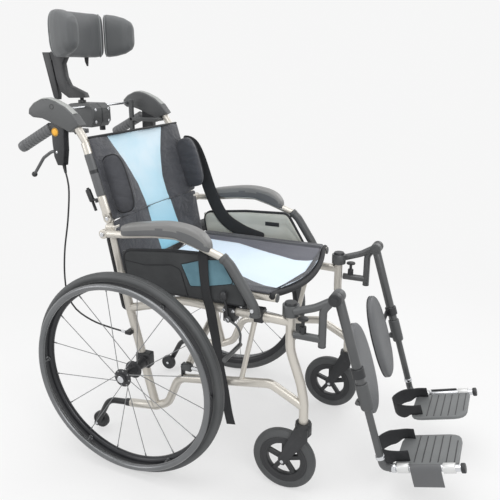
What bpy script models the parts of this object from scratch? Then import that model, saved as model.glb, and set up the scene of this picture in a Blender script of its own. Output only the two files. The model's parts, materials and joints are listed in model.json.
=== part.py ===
"""A folding wheelchair with elevating leg rests, a half-folding back and a headrest.

Metres, +Z up. The chair faces -Y and its own left side is +X. Every mirrored
piece is modelled on the left side, with x counted outwards from the middle,
and is then mirrored for the right side.
"""

import math

import bmesh
import bpy
from mathutils import Matrix, Vector

# Fits
SEAT_GAP = 0.0003
BORE_GAP = 0.0004

# Sides of the larger round pieces and of the bars that others turn or slide on, and the bend up to
# which two faces count as flat
FINE_SIDES = 12
RUNNER_SIDES = 10
FLAT_ANGLE = math.radians(0.6)

# Rear wheels
WHEEL_RADIUS = 0.300
TRACK = 0.660
TYRE_WIDTH = 0.035
TYRE_DEPTH = 0.024
RIM_DEPTH = 0.020
RIM_WIDTH = 0.022
HUB_RADIUS = 0.017
HUB_INBOARD = 0.042
HUB_OUTBOARD = 0.026
AXLE_RADIUS = 0.006
AXLE_AHEAD_OF_POST = 0.0130
SPOKE_RADIUS = 0.0015
SPOKE_COUNT = 16
SPOKE_LEAN = math.radians(25)
HANDRIM_INSET = 0.030
HANDRIM_TUBE_RADIUS = 0.009
HANDRIM_OUTSET = 0.033
HANDRIM_TABS = 6
WHEEL_STEPS = 28

# Side frame
FRAME_X = 0.226
TUBE_RADIUS = 0.0125
STRUT_RADIUS = 0.007
BAR_RADIUS = 0.005
BEND_RADIUS = 0.045
REAR_POST = [(-0.019, 0.148), (-0.004, 0.205), (0.058, 0.465), (0.083, 0.600)]
LOWER_RAIL = [(-0.019, 0.150), (-0.062, 0.172), (-0.100, 0.262), (-0.385, 0.309), (-0.462, 0.270)]
FRONT_POST = [(-0.437, 0.420), (-0.468, 0.330)]
UPPER_RAIL = [(0.050, 0.455), (-0.125, 0.506), (-0.437, 0.498)]
REAR_STUB_END = (0.072, 0.138)
BRACE = [(-0.341, 0.500), (-0.297, 0.296)]
STUB_BORE_DEPTH = 0.045
POST_TOP_Z = 0.549
POST_Y = -0.437
FRONT_FOOT_Y = -0.479

# Casters
CASTER_RADIUS = 0.090
CASTER_WIDTH = 0.025
CASTER_RIM = 0.026
CASTER_TRAIL = 0.052
CASTER_HUB_RADIUS = 0.014
CASTER_AXLE_RADIUS = 0.004
CASTER_SPOKES = 5
FORK_BLADE = 0.004
CROWN_HEIGHT = 0.0325
CROWN_RADIUS = 0.0215
CROWN_CLEARANCE = 0.0025
STEM_RADIUS = 0.0075
STEM_LENGTH = 0.045

# Cross arms and seat rails
RAIL_X = 0.222
RAIL_Z = 0.555
RAIL_RADIUS = 0.011
RAIL_FRONT_Y = -0.400
RAIL_REAR_Y = 0.052
CROSS_RADIUS = 0.011
CROSS_MID_Y = -0.150
CROSS_SPACING = 0.040
CROSS_PIVOT_Z = 0.302
CROSS_PIN_RADIUS = 0.005
CROSS_EYE_RADIUS = 0.0115
CROSS_EYE_LENGTH = 0.024
CROSS_LUG = 0.005
SADDLE_YS = (-0.020, -0.300)
SADDLE_LENGTH = 0.030

# Back canes
HINGE_Y = 0.106
HINGE_Z = 0.716
CANE_LEAN = math.radians(16.4)
CANE_LENGTH = 0.216
CANE_TOP_RISE = (0.023, 0.034)
SLEEVE_RADIUS = 0.0145
CANE_RADIUS = 0.0110
CASING_RADIUS = 0.0155
CASING_END = 0.064
TONGUE_HALF = 0.005
CHEEK_RADIUS = 0.0125
HINGE_PIN_RADIUS = 0.004
HINGE_CLEARANCE = 0.0010

# Handles, from the top of the cane
COVER_HALF = 0.0165
HOUSING_HALF = 0.0120
GRIP_ROOT = (0.092, 0.001)
GRIP_TIP = (0.210, -0.061)
GRIP_RADIUS = 0.016
HANDLE_TUBE_RADIUS = 0.011
BUTTON_AT = (0.072, -0.009)
BUTTON_RADIUS = 0.0095
BUTTON_DEPTH = 0.006
BUTTON_TRAVEL = 0.003
LEVER_PIVOT = (0.072, -0.065)
LEVER_BEND = (0.118, -0.074)
LEVER_TIP = (0.172, -0.136)
LEVER_RADIUS = 0.0035
LEVER_PIN_RADIUS = 0.0028
LEVER_SLOT_HALF = 0.0045
BALL_RADIUS = 0.0075
RELEASE_ALONG = 0.050
RELEASE_LENGTH = 0.056

# Stabiliser and headrest
CLIP_X = 0.183
CLIP_HALF = 0.007
ROD_Y = 0.306
ROD_Z = 1.003
ROD_RADIUS = 0.004
BLOCK_HALF = 0.045
BLOCK_FRONT_Y = 0.278
BLOCK_REAR_Y = 0.384
BLOCK_BOTTOM_Z = 0.941
BLOCK_TOP_Z = 1.012
STEM_POST_Y = 0.352
STEM_POST_RADIUS = 0.006
STEM_HALF = 0.011
TILT_PIN = (0.418, 1.158)
TILT_PIN_RADIUS = 0.004
PAD_BOTTOM_Z = 1.148
PAD_TOP_Z = 1.280
PAD_THICKNESS = 0.056

# Seat and back upholstery
SEAT_FRONT_Y = -0.388
SEAT_BULGE = 0.014
SEAT_THICKNESS = 0.021
SEAT_SAG = 0.018
SEAT_SKIN = 0.0055
SEAT_EDGE_X = 0.2345
SEAM_DEPTH = 0.003
BACK_THICKNESS = 0.018
BACK_SAG = 0.016
BACK_TOP = 0.226
BACK_BOTTOM = 0.020
LOWER_BACK_BOTTOM_Z = 0.590
LOWER_BACK_TOP_Z = 0.700
BOLSTER_HALF = (0.016, 0.050, 0.074)
BOLSTER_X = 0.187
BOLSTER_AT = (0.086, -0.052)

# Armrests
ARM_X = 0.262
ARM_RADIUS = 0.010
ARM_SLEEVE_RADIUS = 0.013
ARM_EYE_RADIUS = 0.013
ARM_PIN_RADIUS = 0.005
ARM_PIVOT_Z = 0.681
ARM_TUBE = [(0.040, 0.684), (-0.060, 0.697), (-0.130, 0.700), (-0.185, 0.685), (-0.270, 0.655)]
ARM_SLEEVE = [(-0.262, 0.661), (-0.285, 0.640), (-0.330, 0.572), (-0.352, 0.535), (-0.354, 0.512)]
ARM_PAD_TOP = [(0.040, 0.716), (-0.090, 0.736), (-0.160, 0.734), (-0.205, 0.720), (-0.232, 0.697)]
ARM_PAD_HALF = 0.020
PANEL_INSIDE = 0.2412
PANEL_THICKNESS = 0.004
PANEL = [(0.040, 0.527), (0.058, 0.634), (-0.104, 0.652), (-0.254, 0.658), (-0.315, 0.560), (-0.318, 0.527)]
PANEL_BOSS_Z = 0.5345

# Leg rests
HANGER_X = 0.238
HANGER_RADIUS = 0.010
SLEEVE_WALL = 0.003
EYE_WALL = 0.004
SLEEVE_FOOT_Z = 0.514
LEG_PIVOT = (-0.555, 0.583)
LEG_PIN_RADIUS = 0.005
KNUCKLE_RADIUS = 0.0165
KNUCKLE_HALF = 0.011
HANGER_LEG_Y = -0.525
HANGER_FOOT_Z = 0.452
HANGER_LATCH_Z = 0.471
LEG_X = 0.2145
LEG_SLOPE = math.radians(17)
LEG_RADIUS = 0.0125
LEG_EYE_HALF = 0.0128
LEG_LENGTH = 0.305
CLAMP_LENGTH = 0.070
CLAMP_RADIUS = 0.0165
FOOT_RADIUS = 0.0095
FOOT_INSIDE = 0.055
FOOT_TRAVEL = 0.050
FOOT_LENGTH = 0.437
SLIDE_GAP = 0.0006
FOOT_GAP = 0.0005
HINGE_ROD_X = 0.195
HINGE_ROD_RADIUS = 0.0085
HINGE_ROD_LENGTH = 0.183
HINGE_ROD_ALONG = 0.487
HINGE_ROD_REAR = -0.013
PLATE_REAR = -0.024
PLATE_LENGTH = 0.160
PLATE_WIDTH = 0.140
PLATE_THICKNESS = 0.009
PLATE_CORNER = 0.034
MAT_THICKNESS = 0.0015
MAT_MARGIN = 0.008
MAT_REAR_MARGIN = 0.046
KNUCKLE_LENGTH = 0.030
STRAP_HEIGHT = 0.030
STRAP_THICKNESS = 0.0025
STRAP_ROUTE = [
    (0.170, -0.062), (0.172, -0.030), (0.160, 0.012), (0.118, 0.034), (0.078, 0.012), (0.064, -0.030),
    (0.066, -0.060),
]
CALF_ABOVE_END = 0.100
CALF_COLLAR = 0.026
COLLAR_GAP = 0.0002
CALF_CENTRE_X = 0.1065
CALF_CENTRE_ABOVE_END = 0.061
CALF_HALF = (0.065, 0.015, 0.128)
CALF_BEHIND_LEG = 0.021

# Parking brakes
BRAKE_PIVOT = (-0.270, 0.485)
BRAKE_PIN_RADIUS = 0.004
BRAKE_EYE_RADIUS = 0.009
BRAKE_PLATE_INSIDE = 0.2462
BRAKE_PLATE = 0.006
BRAKE_KNOB = (-0.262, 0.553)
BRAKE_ARM = [(-0.270, 0.485), (-0.298, 0.470), (-0.307, 0.448), (-0.305, 0.418)]
SHOE_RADIUS = 0.006

# Anti-tippers
TIP_TUBE_RADIUS = 0.009
TIP_COLLAR_RADIUS = 0.0115
TIP_ROUTE = [(0.155, 0.12705), (0.181, 0.079), (0.204, 0.036)]
TIP_WHEEL_RADIUS = 0.027
TIP_WHEEL_HALF = 0.008
TIP_PIN_RADIUS = 0.004

# Belts and cables
BELT_THICKNESS = 0.0018
HANGING_BELT_HALF = 0.014
HANGING_BELT = [
    (-0.215, 0.585), (-0.219, 0.545), (-0.226, 0.500), (-0.236, 0.400), (-0.258, 0.260), (-0.277, 0.170),
]
PADDED_BELT_X = 0.2347
PADDED_BELT_THICKNESS = 0.0035
PADDED_BELT_HALF = 0.019
PADDED_BELT = [
    (0.128, 0.872), (0.094, 0.868), (0.066, 0.820), (0.022, 0.700), (-0.024, 0.622), (-0.098, 0.580), (-0.172, 0.560),
]
CABLE_RADIUS = 0.0025
CABLE_CLIP_RADIUS = 0.006
CABLE_STEP = 0.025
CABLE_ROUTE = [
    (0.226, 0.250, 0.8545), (0.2262, 0.2485, 0.842), (0.234, 0.234, 0.790), (0.240, 0.242, 0.700),
    (0.246, 0.258, 0.610), (0.250, 0.264, 0.530), (0.252, 0.257, 0.470), (0.253, 0.228, 0.428),
    (0.253, 0.170, 0.402), (0.251, 0.110, 0.391), (0.249, 0.064, 0.386), (0.249, 0.0585, 0.3855),
]

X_AXIS = Vector((1, 0, 0))
Y_AXIS = Vector((0, 1, 0))
Z_AXIS = Vector((0, 0, 1))

TYRE_X = TRACK / 2
CROSS_YS = {"right": CROSS_MID_Y + CROSS_SPACING / 2, "left": CROSS_MID_Y - CROSS_SPACING / 2}


# Small geometry helpers


def sides_for(radius):
    """The number of sides of a round bar."""
    return 10 if radius > 0.0140 else 8 if radius > 0.0045 else 6


def bore_radius(pin_radius, sides=None, gap=BORE_GAP):
    """The corner radius of a bore whose flats clear a pin by the gap."""
    sides = sides or sides_for(pin_radius)
    return (pin_radius + gap) / math.cos(math.pi / sides)


def at_x(x, points):
    """Side-view points (y, z) as points in space at this x."""
    return [Vector((x, y, z)) for y, z in points]


def on_route(route, value, known):
    """The other coordinate of a side-view route where the known one, 0 for y or 1 for z, has this value."""
    for start, end in zip(route, route[1:]):
        low, high = sorted((start[known], end[known]))
        if low <= value <= high and high > low:
            part = (value - start[known]) / (end[known] - start[known])
            return start[1 - known] + part * (end[1 - known] - start[1 - known])
    nearest = min(route, key=lambda point: abs(point[known] - value))
    return nearest[1 - known]


def rounded(corners, bend):
    """A route through the corners, with a round bend at each."""
    points = [corners[0]]
    for before, corner, after in zip(corners, corners[1:], corners[2:]):
        arrive = (corner - before).normalized()
        leave = (after - corner).normalized()
        turn = arrive.angle(leave)
        if turn < math.radians(3):
            points.append(corner)
            continue
        room = 0.45 * min((corner - before).length, (after - corner).length)
        tangent = min(bend * math.tan(turn / 2), room)
        radius = tangent / math.tan(turn / 2)
        inward = (leave - arrive * math.cos(turn)).normalized()
        start = corner - arrive * tangent
        steps = max(1, math.ceil(math.degrees(turn) / 30))
        for step in range(steps + 1):
            angle = turn * step / steps
            points.append(start + inward * radius * (1 - math.cos(angle)) + arrive * radius * math.sin(angle))
    points.append(corners[-1])
    return points


def smooth(points, step):
    """Points every step along a smooth curve through the given ones."""
    padded = [2 * points[0] - points[1]] + points + [2 * points[-1] - points[-2]]
    fine = []
    for a, b, c, d in zip(padded, padded[1:], padded[2:], padded[3:]):
        for part in range(20):
            t = part / 20
            fine.append(
                0.5 * (2 * b + (c - a) * t + (2 * a - 5 * b + 4 * c - d) * t**2 + (3 * b - a - 3 * c + d) * t**3)
            )
    fine.append(points[-1])
    length = sum((q - p).length for p, q in zip(fine, fine[1:]))
    count = max(2, round(length / step))
    spacing = length / count
    spread = [fine[0]]
    walked = 0.0
    for p, q in zip(fine, fine[1:]):
        leg = (q - p).length
        while walked + leg >= spacing * len(spread) and len(spread) < count:
            spread.append(p.lerp(q, (spacing * len(spread) - walked) / leg))
        walked += leg
    spread.append(points[-1])
    return spread


def mesh_from(builder, name="piece"):
    """A mesh datablock from a bmesh, closed and facing out."""
    bmesh.ops.remove_doubles(builder, verts=builder.verts, dist=1e-6)
    bmesh.ops.recalc_face_normals(builder, faces=builder.faces)
    mesh = bpy.data.meshes.new(name)
    builder.to_mesh(mesh)
    builder.free()
    return mesh


def tube(points, radius, bend=BEND_RADIUS, sides=None):
    """A bent round bar along the corner points."""
    sides = sides or sides_for(radius)
    curve = bpy.data.curves.new("route", "CURVE")
    curve.dimensions = "3D"
    curve.bevel_depth = radius
    curve.bevel_resolution = (sides - 4) // 2
    curve.use_fill_caps = True
    route = rounded([Vector(point) for point in points], bend)
    spline = curve.splines.new("POLY")
    spline.points.add(len(route) - 1)
    for knot, point in zip(spline.points, route):
        knot.co = (*point, 1)
    holder = bpy.data.objects.new("route", curve)
    bpy.context.scene.collection.objects.link(holder)
    graph = bpy.context.evaluated_depsgraph_get()
    mesh = bpy.data.meshes.new_from_object(holder.evaluated_get(graph))
    bpy.data.objects.remove(holder)
    builder = bmesh.new()
    builder.from_mesh(mesh)
    bpy.data.meshes.remove(mesh)
    return mesh_from(builder)


def rod(start, end, radius, sides=None):
    """A straight round bar from start to end."""
    sides = sides or sides_for(radius)
    start, end = Vector(start), Vector(end)
    span = end - start
    place = Matrix.Translation((start + end) / 2) @ span.to_track_quat("Z", "Y").to_matrix().to_4x4()
    builder = bmesh.new()
    bmesh.ops.create_cone(
        builder, cap_ends=True, segments=sides, radius1=radius, radius2=radius, depth=span.length, matrix=place
    )
    return mesh_from(builder)


def cross_rod(side_view, low_x, high_x, radius, sides=None):
    """A round bar along X through a side-view point."""
    y, z = side_view
    return rod((low_x, y, z), (high_x, y, z), radius, sides)


def box(low, high, turn=None, about=None):
    """A block between two corners, turned about a point if asked."""
    low, high = Vector(low), Vector(high)
    place = Matrix.Translation((low + high) / 2) @ Matrix.Diagonal((*(high - low), 1))
    if turn is not None:
        place = Matrix.Translation(about) @ turn @ Matrix.Translation(-Vector(about)) @ place
    builder = bmesh.new()
    bmesh.ops.create_cube(builder, size=1, matrix=place)
    return mesh_from(builder)


def slab(outline, low_x, high_x, place=None):
    """A side-view outline (y, z) extruded along X."""
    builder = bmesh.new()
    face = builder.faces.new([builder.verts.new((low_x, y, z)) for y, z in outline])
    grown = bmesh.ops.extrude_face_region(builder, geom=[face])
    moved = [item for item in grown["geom"] if isinstance(item, bmesh.types.BMVert)]
    bmesh.ops.translate(builder, verts=moved, vec=(high_x - low_x, 0, 0))
    if place is not None:
        bmesh.ops.transform(builder, matrix=place, verts=builder.verts)
    return mesh_from(builder)


def turned(outline, steps, centre, axis=X_AXIS, start=-Z_AXIS, ring=True):
    """A section of (radius, along) points spun about an axis, with a flat between two steps at the start side."""
    centre = Vector(centre)
    first = Matrix.Rotation(math.pi / steps, 3, axis) @ start
    builder = bmesh.new()
    knots = [builder.verts.new(centre + axis * along + first * radius) for radius, along in outline]
    pairs = list(zip(knots, knots[1:] + knots[:1])) if ring else list(zip(knots, knots[1:]))
    edges = [builder.edges.new(pair) for pair in pairs]
    bmesh.ops.spin(
        builder, geom=knots + edges, cent=centre, axis=axis, angle=2 * math.pi, steps=steps, use_duplicate=False
    )
    return mesh_from(builder)


def loft(rings):
    """A closed skin over a row of rings with equal numbers of points."""
    builder = bmesh.new()
    rows = [[builder.verts.new(point) for point in ring] for ring in rings]
    count = len(rows[0])
    for row, after in zip(rows, rows[1:]):
        for index in range(count):
            following = (index + 1) % count
            builder.faces.new((row[index], row[following], after[following], after[index]))
    builder.faces.new(rows[0])
    builder.faces.new(rows[-1])
    return mesh_from(builder)


def pad(half_sizes, centre, turn=None, flatness=0.6, columns=16, rows=10):
    """An oval pad with a crowned face and a drawn-in rim."""
    builder = bmesh.new()
    bmesh.ops.create_uvsphere(builder, u_segments=columns, v_segments=rows, radius=1)
    for knot in builder.verts:
        across, through, up = knot.co
        through = math.copysign(abs(through) ** flatness, through)
        knot.co = Vector((across * half_sizes[0], through * half_sizes[1], up * half_sizes[2]))
    place = Matrix.Translation(centre) @ (turn if turn is not None else Matrix.Identity(4))
    bmesh.ops.transform(builder, matrix=place, verts=builder.verts)
    return mesh_from(builder)


def flats_joined(mesh):
    """The mesh with the faces that lie flat with each other made one."""
    builder = bmesh.new()
    builder.from_mesh(mesh)
    bmesh.ops.dissolve_limit(builder, angle_limit=FLAT_ANGLE, verts=builder.verts, edges=builder.edges)
    loose = [edge for edge in builder.edges if not edge.link_faces]
    bmesh.ops.delete(builder, geom=loose, context="EDGES")
    builder.to_mesh(mesh)
    builder.free()
    return mesh


def fused(pieces, cuts=(), pins=()):
    """One solid: the pieces joined, less the cuts, with the pins joined last."""
    linked = bpy.context.scene.collection.objects
    base = bpy.data.objects.new("base", pieces[0])
    linked.link(base)
    tools = []
    steps = [("UNION", piece) for piece in pieces[1:]]
    steps += [("DIFFERENCE", cut) for cut in cuts]
    steps += [("UNION", pin) for pin in pins]
    for operation, mesh in steps:
        tool = bpy.data.objects.new("tool", mesh)
        tool.hide_render = True
        linked.link(tool)
        tools.append(tool)
        modifier = base.modifiers.new("join", "BOOLEAN")
        modifier.operation = operation
        modifier.solver = "EXACT"
        modifier.object = tool
    graph = bpy.context.evaluated_depsgraph_get()
    mesh = bpy.data.meshes.new_from_object(base.evaluated_get(graph))
    for helper in [base, *tools]:
        old = helper.data
        bpy.data.objects.remove(helper)
        if old.users == 0:
            bpy.data.meshes.remove(old)
    return flats_joined(mesh)


def mirrored(mesh):
    """A copy on the other side of the middle plane."""
    builder = bmesh.new()
    builder.from_mesh(mesh)
    bmesh.ops.scale(builder, vec=(-1, 1, 1), verts=builder.verts)
    bmesh.ops.reverse_faces(builder, faces=builder.faces)
    copy = bpy.data.meshes.new("mirrored")
    builder.to_mesh(copy)
    builder.free()
    return copy


def along_cane(along, across=0.0):
    """The side-view point this far up the cane from its hinge, and this far behind it."""
    sine, cosine = math.sin(CANE_LEAN), math.cos(CANE_LEAN)
    return (HINGE_Y + along * sine + across * cosine, HINGE_Z + along * cosine - across * sine)


def from_cane_top(offset):
    """A side-view point given from the top of the cane."""
    base = along_cane(CANE_LENGTH)
    return (base[0] + CANE_TOP_RISE[0] + offset[0], base[1] + CANE_TOP_RISE[1] + offset[1])


def along_leg(along, across=0.0):
    """The side-view point this far down the leg rest from its pivot, and this far behind it."""
    sine, cosine = math.sin(LEG_SLOPE), math.cos(LEG_SLOPE)
    return (LEG_PIVOT[0] - along * sine + across * cosine, LEG_PIVOT[1] - along * cosine - across * sine)


def post_route():
    """The rear post's centre line, up to the end below the back hinge."""
    return REAR_POST + [along_cane(-CHEEK_RADIUS - HINGE_CLEARANCE)]


def axle_point():
    """The rear axle in side view."""
    return (on_route(post_route(), WHEEL_RADIUS, 1) - AXLE_AHEAD_OF_POST, WHEEL_RADIUS)


def arm_pivot():
    """The armrest's hinge in side view, on the rear post."""
    return (on_route(post_route(), ARM_PIVOT_Z, 1), ARM_PIVOT_Z)


def front_foot_z():
    """The height of the front post's foot, above the caster and its crown."""
    return 2 * CASTER_RADIUS + CROWN_CLEARANCE + CROWN_HEIGHT + SEAT_GAP


# Placing the pieces


def material(name, colour, roughness, metallic=0.0):
    """A plain surface."""
    surface = bpy.data.materials.new(name)
    surface.use_nodes = True
    shader = surface.node_tree.nodes["Principled BSDF"]
    shader.inputs["Base Color"].default_value = (*colour, 1)
    shader.inputs["Roughness"].default_value = roughness
    shader.inputs["Metallic"].default_value = metallic
    surface.diffuse_color = (*colour, 1)
    return surface


class Chair:
    """The pieces and the moving bodies that carry them."""

    def __init__(self):
        self.joints = {}
        self.places = {}
        self.low = Vector((1e9, 1e9, 1e9))
        self.high = Vector((-1e9, -1e9, -1e9))

    def body(self, name, parent, pivot):
        """An empty on the body's joint axis, under the body that carries it."""
        empty = bpy.data.objects.new(name, None)
        empty.empty_display_size = 0.02
        bpy.context.scene.collection.objects.link(empty)
        base = self.places[parent] if parent else Vector()
        empty.parent = self.joints.get(parent)
        empty.location = Vector(pivot) - base
        self.joints[name] = empty
        self.places[name] = Vector(pivot)

    def add(self, name, mesh, surface, body, flat=False):
        """A node from a mesh in the chair's frame, carried by a body."""
        for knot in mesh.vertices:
            self.low = Vector(map(min, self.low, knot.co))
            self.high = Vector(map(max, self.high, knot.co))
        mesh.name = name
        mesh.transform(Matrix.Translation(-self.places[body]))
        mesh.materials.clear()
        mesh.materials.append(surface)
        if not flat:
            mesh.shade_smooth()
            mesh.set_sharp_from_angle(angle=math.radians(35))
        node = bpy.data.objects.new(name, mesh)
        node.parent = self.joints[body]
        bpy.context.scene.collection.objects.link(node)

    def add_cable(self, name, curve, surface, body):
        """A curve in the chair's frame, carried by a body."""
        place = self.places[body]
        for knot in curve.splines[0].points:
            knot.co = (*(knot.co.xyz - place), 1)
        curve.name = name
        curve.materials.append(surface)
        node = bpy.data.objects.new(name, curve)
        node.parent = self.joints[body]
        bpy.context.scene.collection.objects.link(node)

    def add_pair(self, name, mesh, surface, body):
        """The same piece on both sides, from the left one's mesh."""
        twin = mirrored(mesh)
        self.add(name + "_left", mesh, surface, "left_" + body)
        self.add(name + "_right", twin, surface, "right_" + body)

    def centre(self):
        """Moves the whole chair so that its box stands centred on the origin."""
        middle = (self.low + self.high) / 2
        self.joints["right_frame"].location -= Vector((middle.x, middle.y, self.low.z))


# Rear wheels

ROUND = 1 / math.cos(math.pi / WHEEL_STEPS)
RIM_OUTER = WHEEL_RADIUS - TYRE_DEPTH - SEAT_GAP
RIM_INNER = WHEEL_RADIUS - TYRE_DEPTH - RIM_DEPTH


def tyre():
    half = TYRE_WIDTH / 2
    inner = WHEEL_RADIUS - TYRE_DEPTH
    section = [(inner, -0.7 * half), (inner + 0.5 * TYRE_DEPTH, -half), (WHEEL_RADIUS, -0.4 * half)]
    section += [(radius, -along) for radius, along in reversed(section)]
    outline = [(radius * ROUND, TYRE_X + along) for radius, along in section]
    return turned(outline, WHEEL_STEPS, (0, *axle_point()))


def wheel():
    y, z = axle_point()
    half = RIM_WIDTH / 2
    section = [(RIM_OUTER, -half), (RIM_INNER + 0.006, -half), (RIM_INNER, -0.5 * half)]
    section += [(radius, -along) for radius, along in reversed(section)]
    rim = turned([(radius * ROUND, TYRE_X + along) for radius, along in section], WHEEL_STEPS, (0, y, z))
    bore = bore_radius(AXLE_RADIUS)
    flange, neck, lip = HUB_RADIUS + 0.009, HUB_RADIUS - 0.003, 0.004
    inboard, outboard = -HUB_INBOARD, HUB_OUTBOARD
    hub = [
        (bore, inboard), (neck, inboard), (flange, inboard + 0.006), (flange, inboard + 0.006 + lip),
        (neck, inboard + 0.014), (neck, outboard - 0.014), (flange, outboard - 0.006 - lip),
        (flange, outboard - 0.006), (neck, outboard), (bore, outboard),
    ]
    pieces = [rim, turned([(radius, TYRE_X + along) for radius, along in hub], 10, (0, y, z))]
    for index in range(SPOKE_COUNT):
        outer_angle = 2 * math.pi * (index + 0.5) / SPOKE_COUNT
        outboard_side = index % 2 == 0
        inner_angle = outer_angle + (SPOKE_LEAN if outboard_side else -SPOKE_LEAN)
        offset = outboard - 0.006 - lip / 2 if outboard_side else inboard + 0.006 + lip / 2
        root, reach = flange - 0.004, RIM_INNER + 0.006
        inner = Vector((TYRE_X + offset, y + math.sin(inner_angle) * root, z + math.cos(inner_angle) * root))
        outer = Vector((TYRE_X, y + math.sin(outer_angle) * reach, z + math.cos(outer_angle) * reach))
        pieces.append(rod(inner, outer, SPOKE_RADIUS, 3))
    return fused(pieces)


def handrim():
    y, z = axle_point()
    section = []
    for step in range(6):
        angle = math.pi * (step + 0.5) / 3
        along = TYRE_X + HANDRIM_OUTSET + HANDRIM_TUBE_RADIUS * math.sin(angle)
        section.append((WHEEL_RADIUS - HANDRIM_INSET + HANDRIM_TUBE_RADIUS * math.cos(angle), along))
    pieces = [turned(section, WHEEL_STEPS, (0, y, z))]
    tab_radius = (RIM_INNER + RIM_OUTER) / 2 + 0.002
    for index in range(HANDRIM_TABS):
        angle = 2 * math.pi * (index + 0.5) / HANDRIM_TABS
        point = (y + math.sin(angle) * tab_radius, z + math.cos(angle) * tab_radius)
        low = TYRE_X + RIM_WIDTH / 2 + SEAT_GAP
        pieces.append(cross_rod(point, low, TYRE_X + HANDRIM_OUTSET, 0.004))
    return fused(pieces)


# Side frame


def side_frame():
    axle = axle_point()
    foot = Vector((FRAME_X, FRONT_FOOT_Y, front_foot_z()))
    junction = REAR_POST[0]
    front = [(POST_Y, POST_TOP_Z)] + FRONT_POST + [(FRONT_FOOT_Y, foot.z + 0.060), (FRONT_FOOT_Y, foot.z)]
    stub_start, stub_end = at_x(FRAME_X, [LOWER_RAIL[0], REAR_STUB_END])
    stub_way = (stub_end - stub_start).normalized()
    pieces = [
        tube(at_x(FRAME_X, post_route()), TUBE_RADIUS, 0.15),
        tube(at_x(FRAME_X, LOWER_RAIL + [(FRONT_FOOT_Y + 0.004, 0.262)]), TUBE_RADIUS),
        tube(at_x(FRAME_X, front), TUBE_RADIUS, 0.12),
        tube(at_x(FRAME_X, UPPER_RAIL), TUBE_RADIUS, 0.12),
        rod(stub_start, stub_end, TUBE_RADIUS),
        rod(*at_x(FRAME_X, BRACE), STRUT_RADIUS),
        behind_bar(),
        cross_rod(axle, FRAME_X, TYRE_X - HUB_INBOARD - SEAT_GAP, 0.014),
        *saddles(), *cross_bracket(), *brake_mount(), *arm_mounts(), *cable_clip(), hinge_tongue(),
    ]
    hinge = (HINGE_Y, HINGE_Z)
    tip_bore = bore_radius(TIP_TUBE_RADIUS, gap=SLIDE_GAP)
    cuts = [
        rod(foot - Z_AXIS * 0.01, foot + Z_AXIS * (STEM_LENGTH + 0.003), bore_radius(STEM_RADIUS)),
        rod(stub_end + stub_way * 0.01, stub_end - stub_way * STUB_BORE_DEPTH, tip_bore),
        cross_rod(hinge, FRAME_X - 0.02, FRAME_X + 0.02, bore_radius(HINGE_PIN_RADIUS)),
    ]
    hub_end = TYRE_X + HUB_OUTBOARD
    pins = [
        cross_rod(axle, FRAME_X + 0.010, hub_end + 0.003, AXLE_RADIUS),
        cross_rod(axle, hub_end + SEAT_GAP, hub_end + 0.005, AXLE_RADIUS + 0.004),
    ]
    return fused(pieces, cuts, pins)


def behind_bar():
    """The thin bar that runs just behind the rear post."""
    top_z, bottom_z, back = 0.660, 0.452, 0.022
    route = post_route()
    top, bottom = on_route(route, top_z, 1), on_route(route, bottom_z, 1)
    corners = [(top, top_z + 0.006), (top + back, top_z), (bottom + back, bottom_z), (bottom, bottom_z - 0.006)]
    return tube(at_x(FRAME_X, corners), BAR_RADIUS, 0.008)


def saddles():
    """The rests of the seat rail, each with a boss for the side panel."""
    for y in SADDLE_YS:
        foot = on_route(UPPER_RAIL, y, 0)
        top = RAIL_Z - RAIL_RADIUS - SEAT_GAP
        half = SADDLE_LENGTH / 2
        yield box((RAIL_X - 0.009, y - half, foot), (RAIL_X + 0.009, y + half, top))
        yield cross_rod((y, PANEL_BOSS_Z), RAIL_X, PANEL_INSIDE - SEAT_GAP, 0.005)


def cross_bracket():
    """Two lugs and a pin on the lower rail, for the cross arm's eye."""
    reach = (CROSS_SPACING + CROSS_EYE_LENGTH + CROSS_LUG) / 2 + SEAT_GAP
    for y in (CROSS_MID_Y - reach, CROSS_MID_Y + reach):
        foot = on_route(LOWER_RAIL, y, 0)
        low = (FRAME_X - 0.009, y - CROSS_LUG / 2, foot)
        yield box(low, (FRAME_X + 0.009, y + CROSS_LUG / 2, CROSS_PIVOT_Z + CROSS_PIN_RADIUS + 0.005))
    end = reach + CROSS_LUG / 2 + 0.001
    centre = Vector((FRAME_X, CROSS_MID_Y, CROSS_PIVOT_Z))
    yield rod(centre - Y_AXIS * end, centre + Y_AXIS * end, CROSS_PIN_RADIUS)


def brake_mount():
    """The clamp of the parking brake on the upper rail, and its pin."""
    y, z = BRAKE_PIVOT
    top = on_route(UPPER_RAIL, y, 0) + 0.010
    yield box((FRAME_X - 0.010, y - 0.013, z - 0.008), (BRAKE_PLATE_INSIDE - SEAT_GAP, y + 0.013, top))
    yield cross_rod(BRAKE_PIVOT, FRAME_X, BRAKE_PLATE_INSIDE + BRAKE_PLATE + 0.002, BRAKE_PIN_RADIUS)


def arm_mounts():
    """The armrest's hinge boss and pin on the rear post, and the rest of its foot on the upper rail."""
    pivot = arm_pivot()
    eye_half = ARM_RADIUS + 0.0005
    yield cross_rod(pivot, FRAME_X, ARM_X - eye_half - SEAT_GAP, 0.011)
    yield cross_rod(pivot, FRAME_X, ARM_X + eye_half + 0.003, ARM_PIN_RADIUS)
    y, z = ARM_SLEEVE[-1]
    yield cross_rod((y + 0.002, z + 0.004), FRAME_X, ARM_X - ARM_SLEEVE_RADIUS - SEAT_GAP, 0.010)


def cable_clip():
    """The stop where the brake cable ends on the rear post."""
    x, y, z = CABLE_ROUTE[-1]
    post_y = on_route(post_route(), z, 1)
    yield box((FRAME_X, post_y, z - 0.005), (x + CABLE_CLIP_RADIUS, y - SEAT_GAP, z + 0.005))


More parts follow.
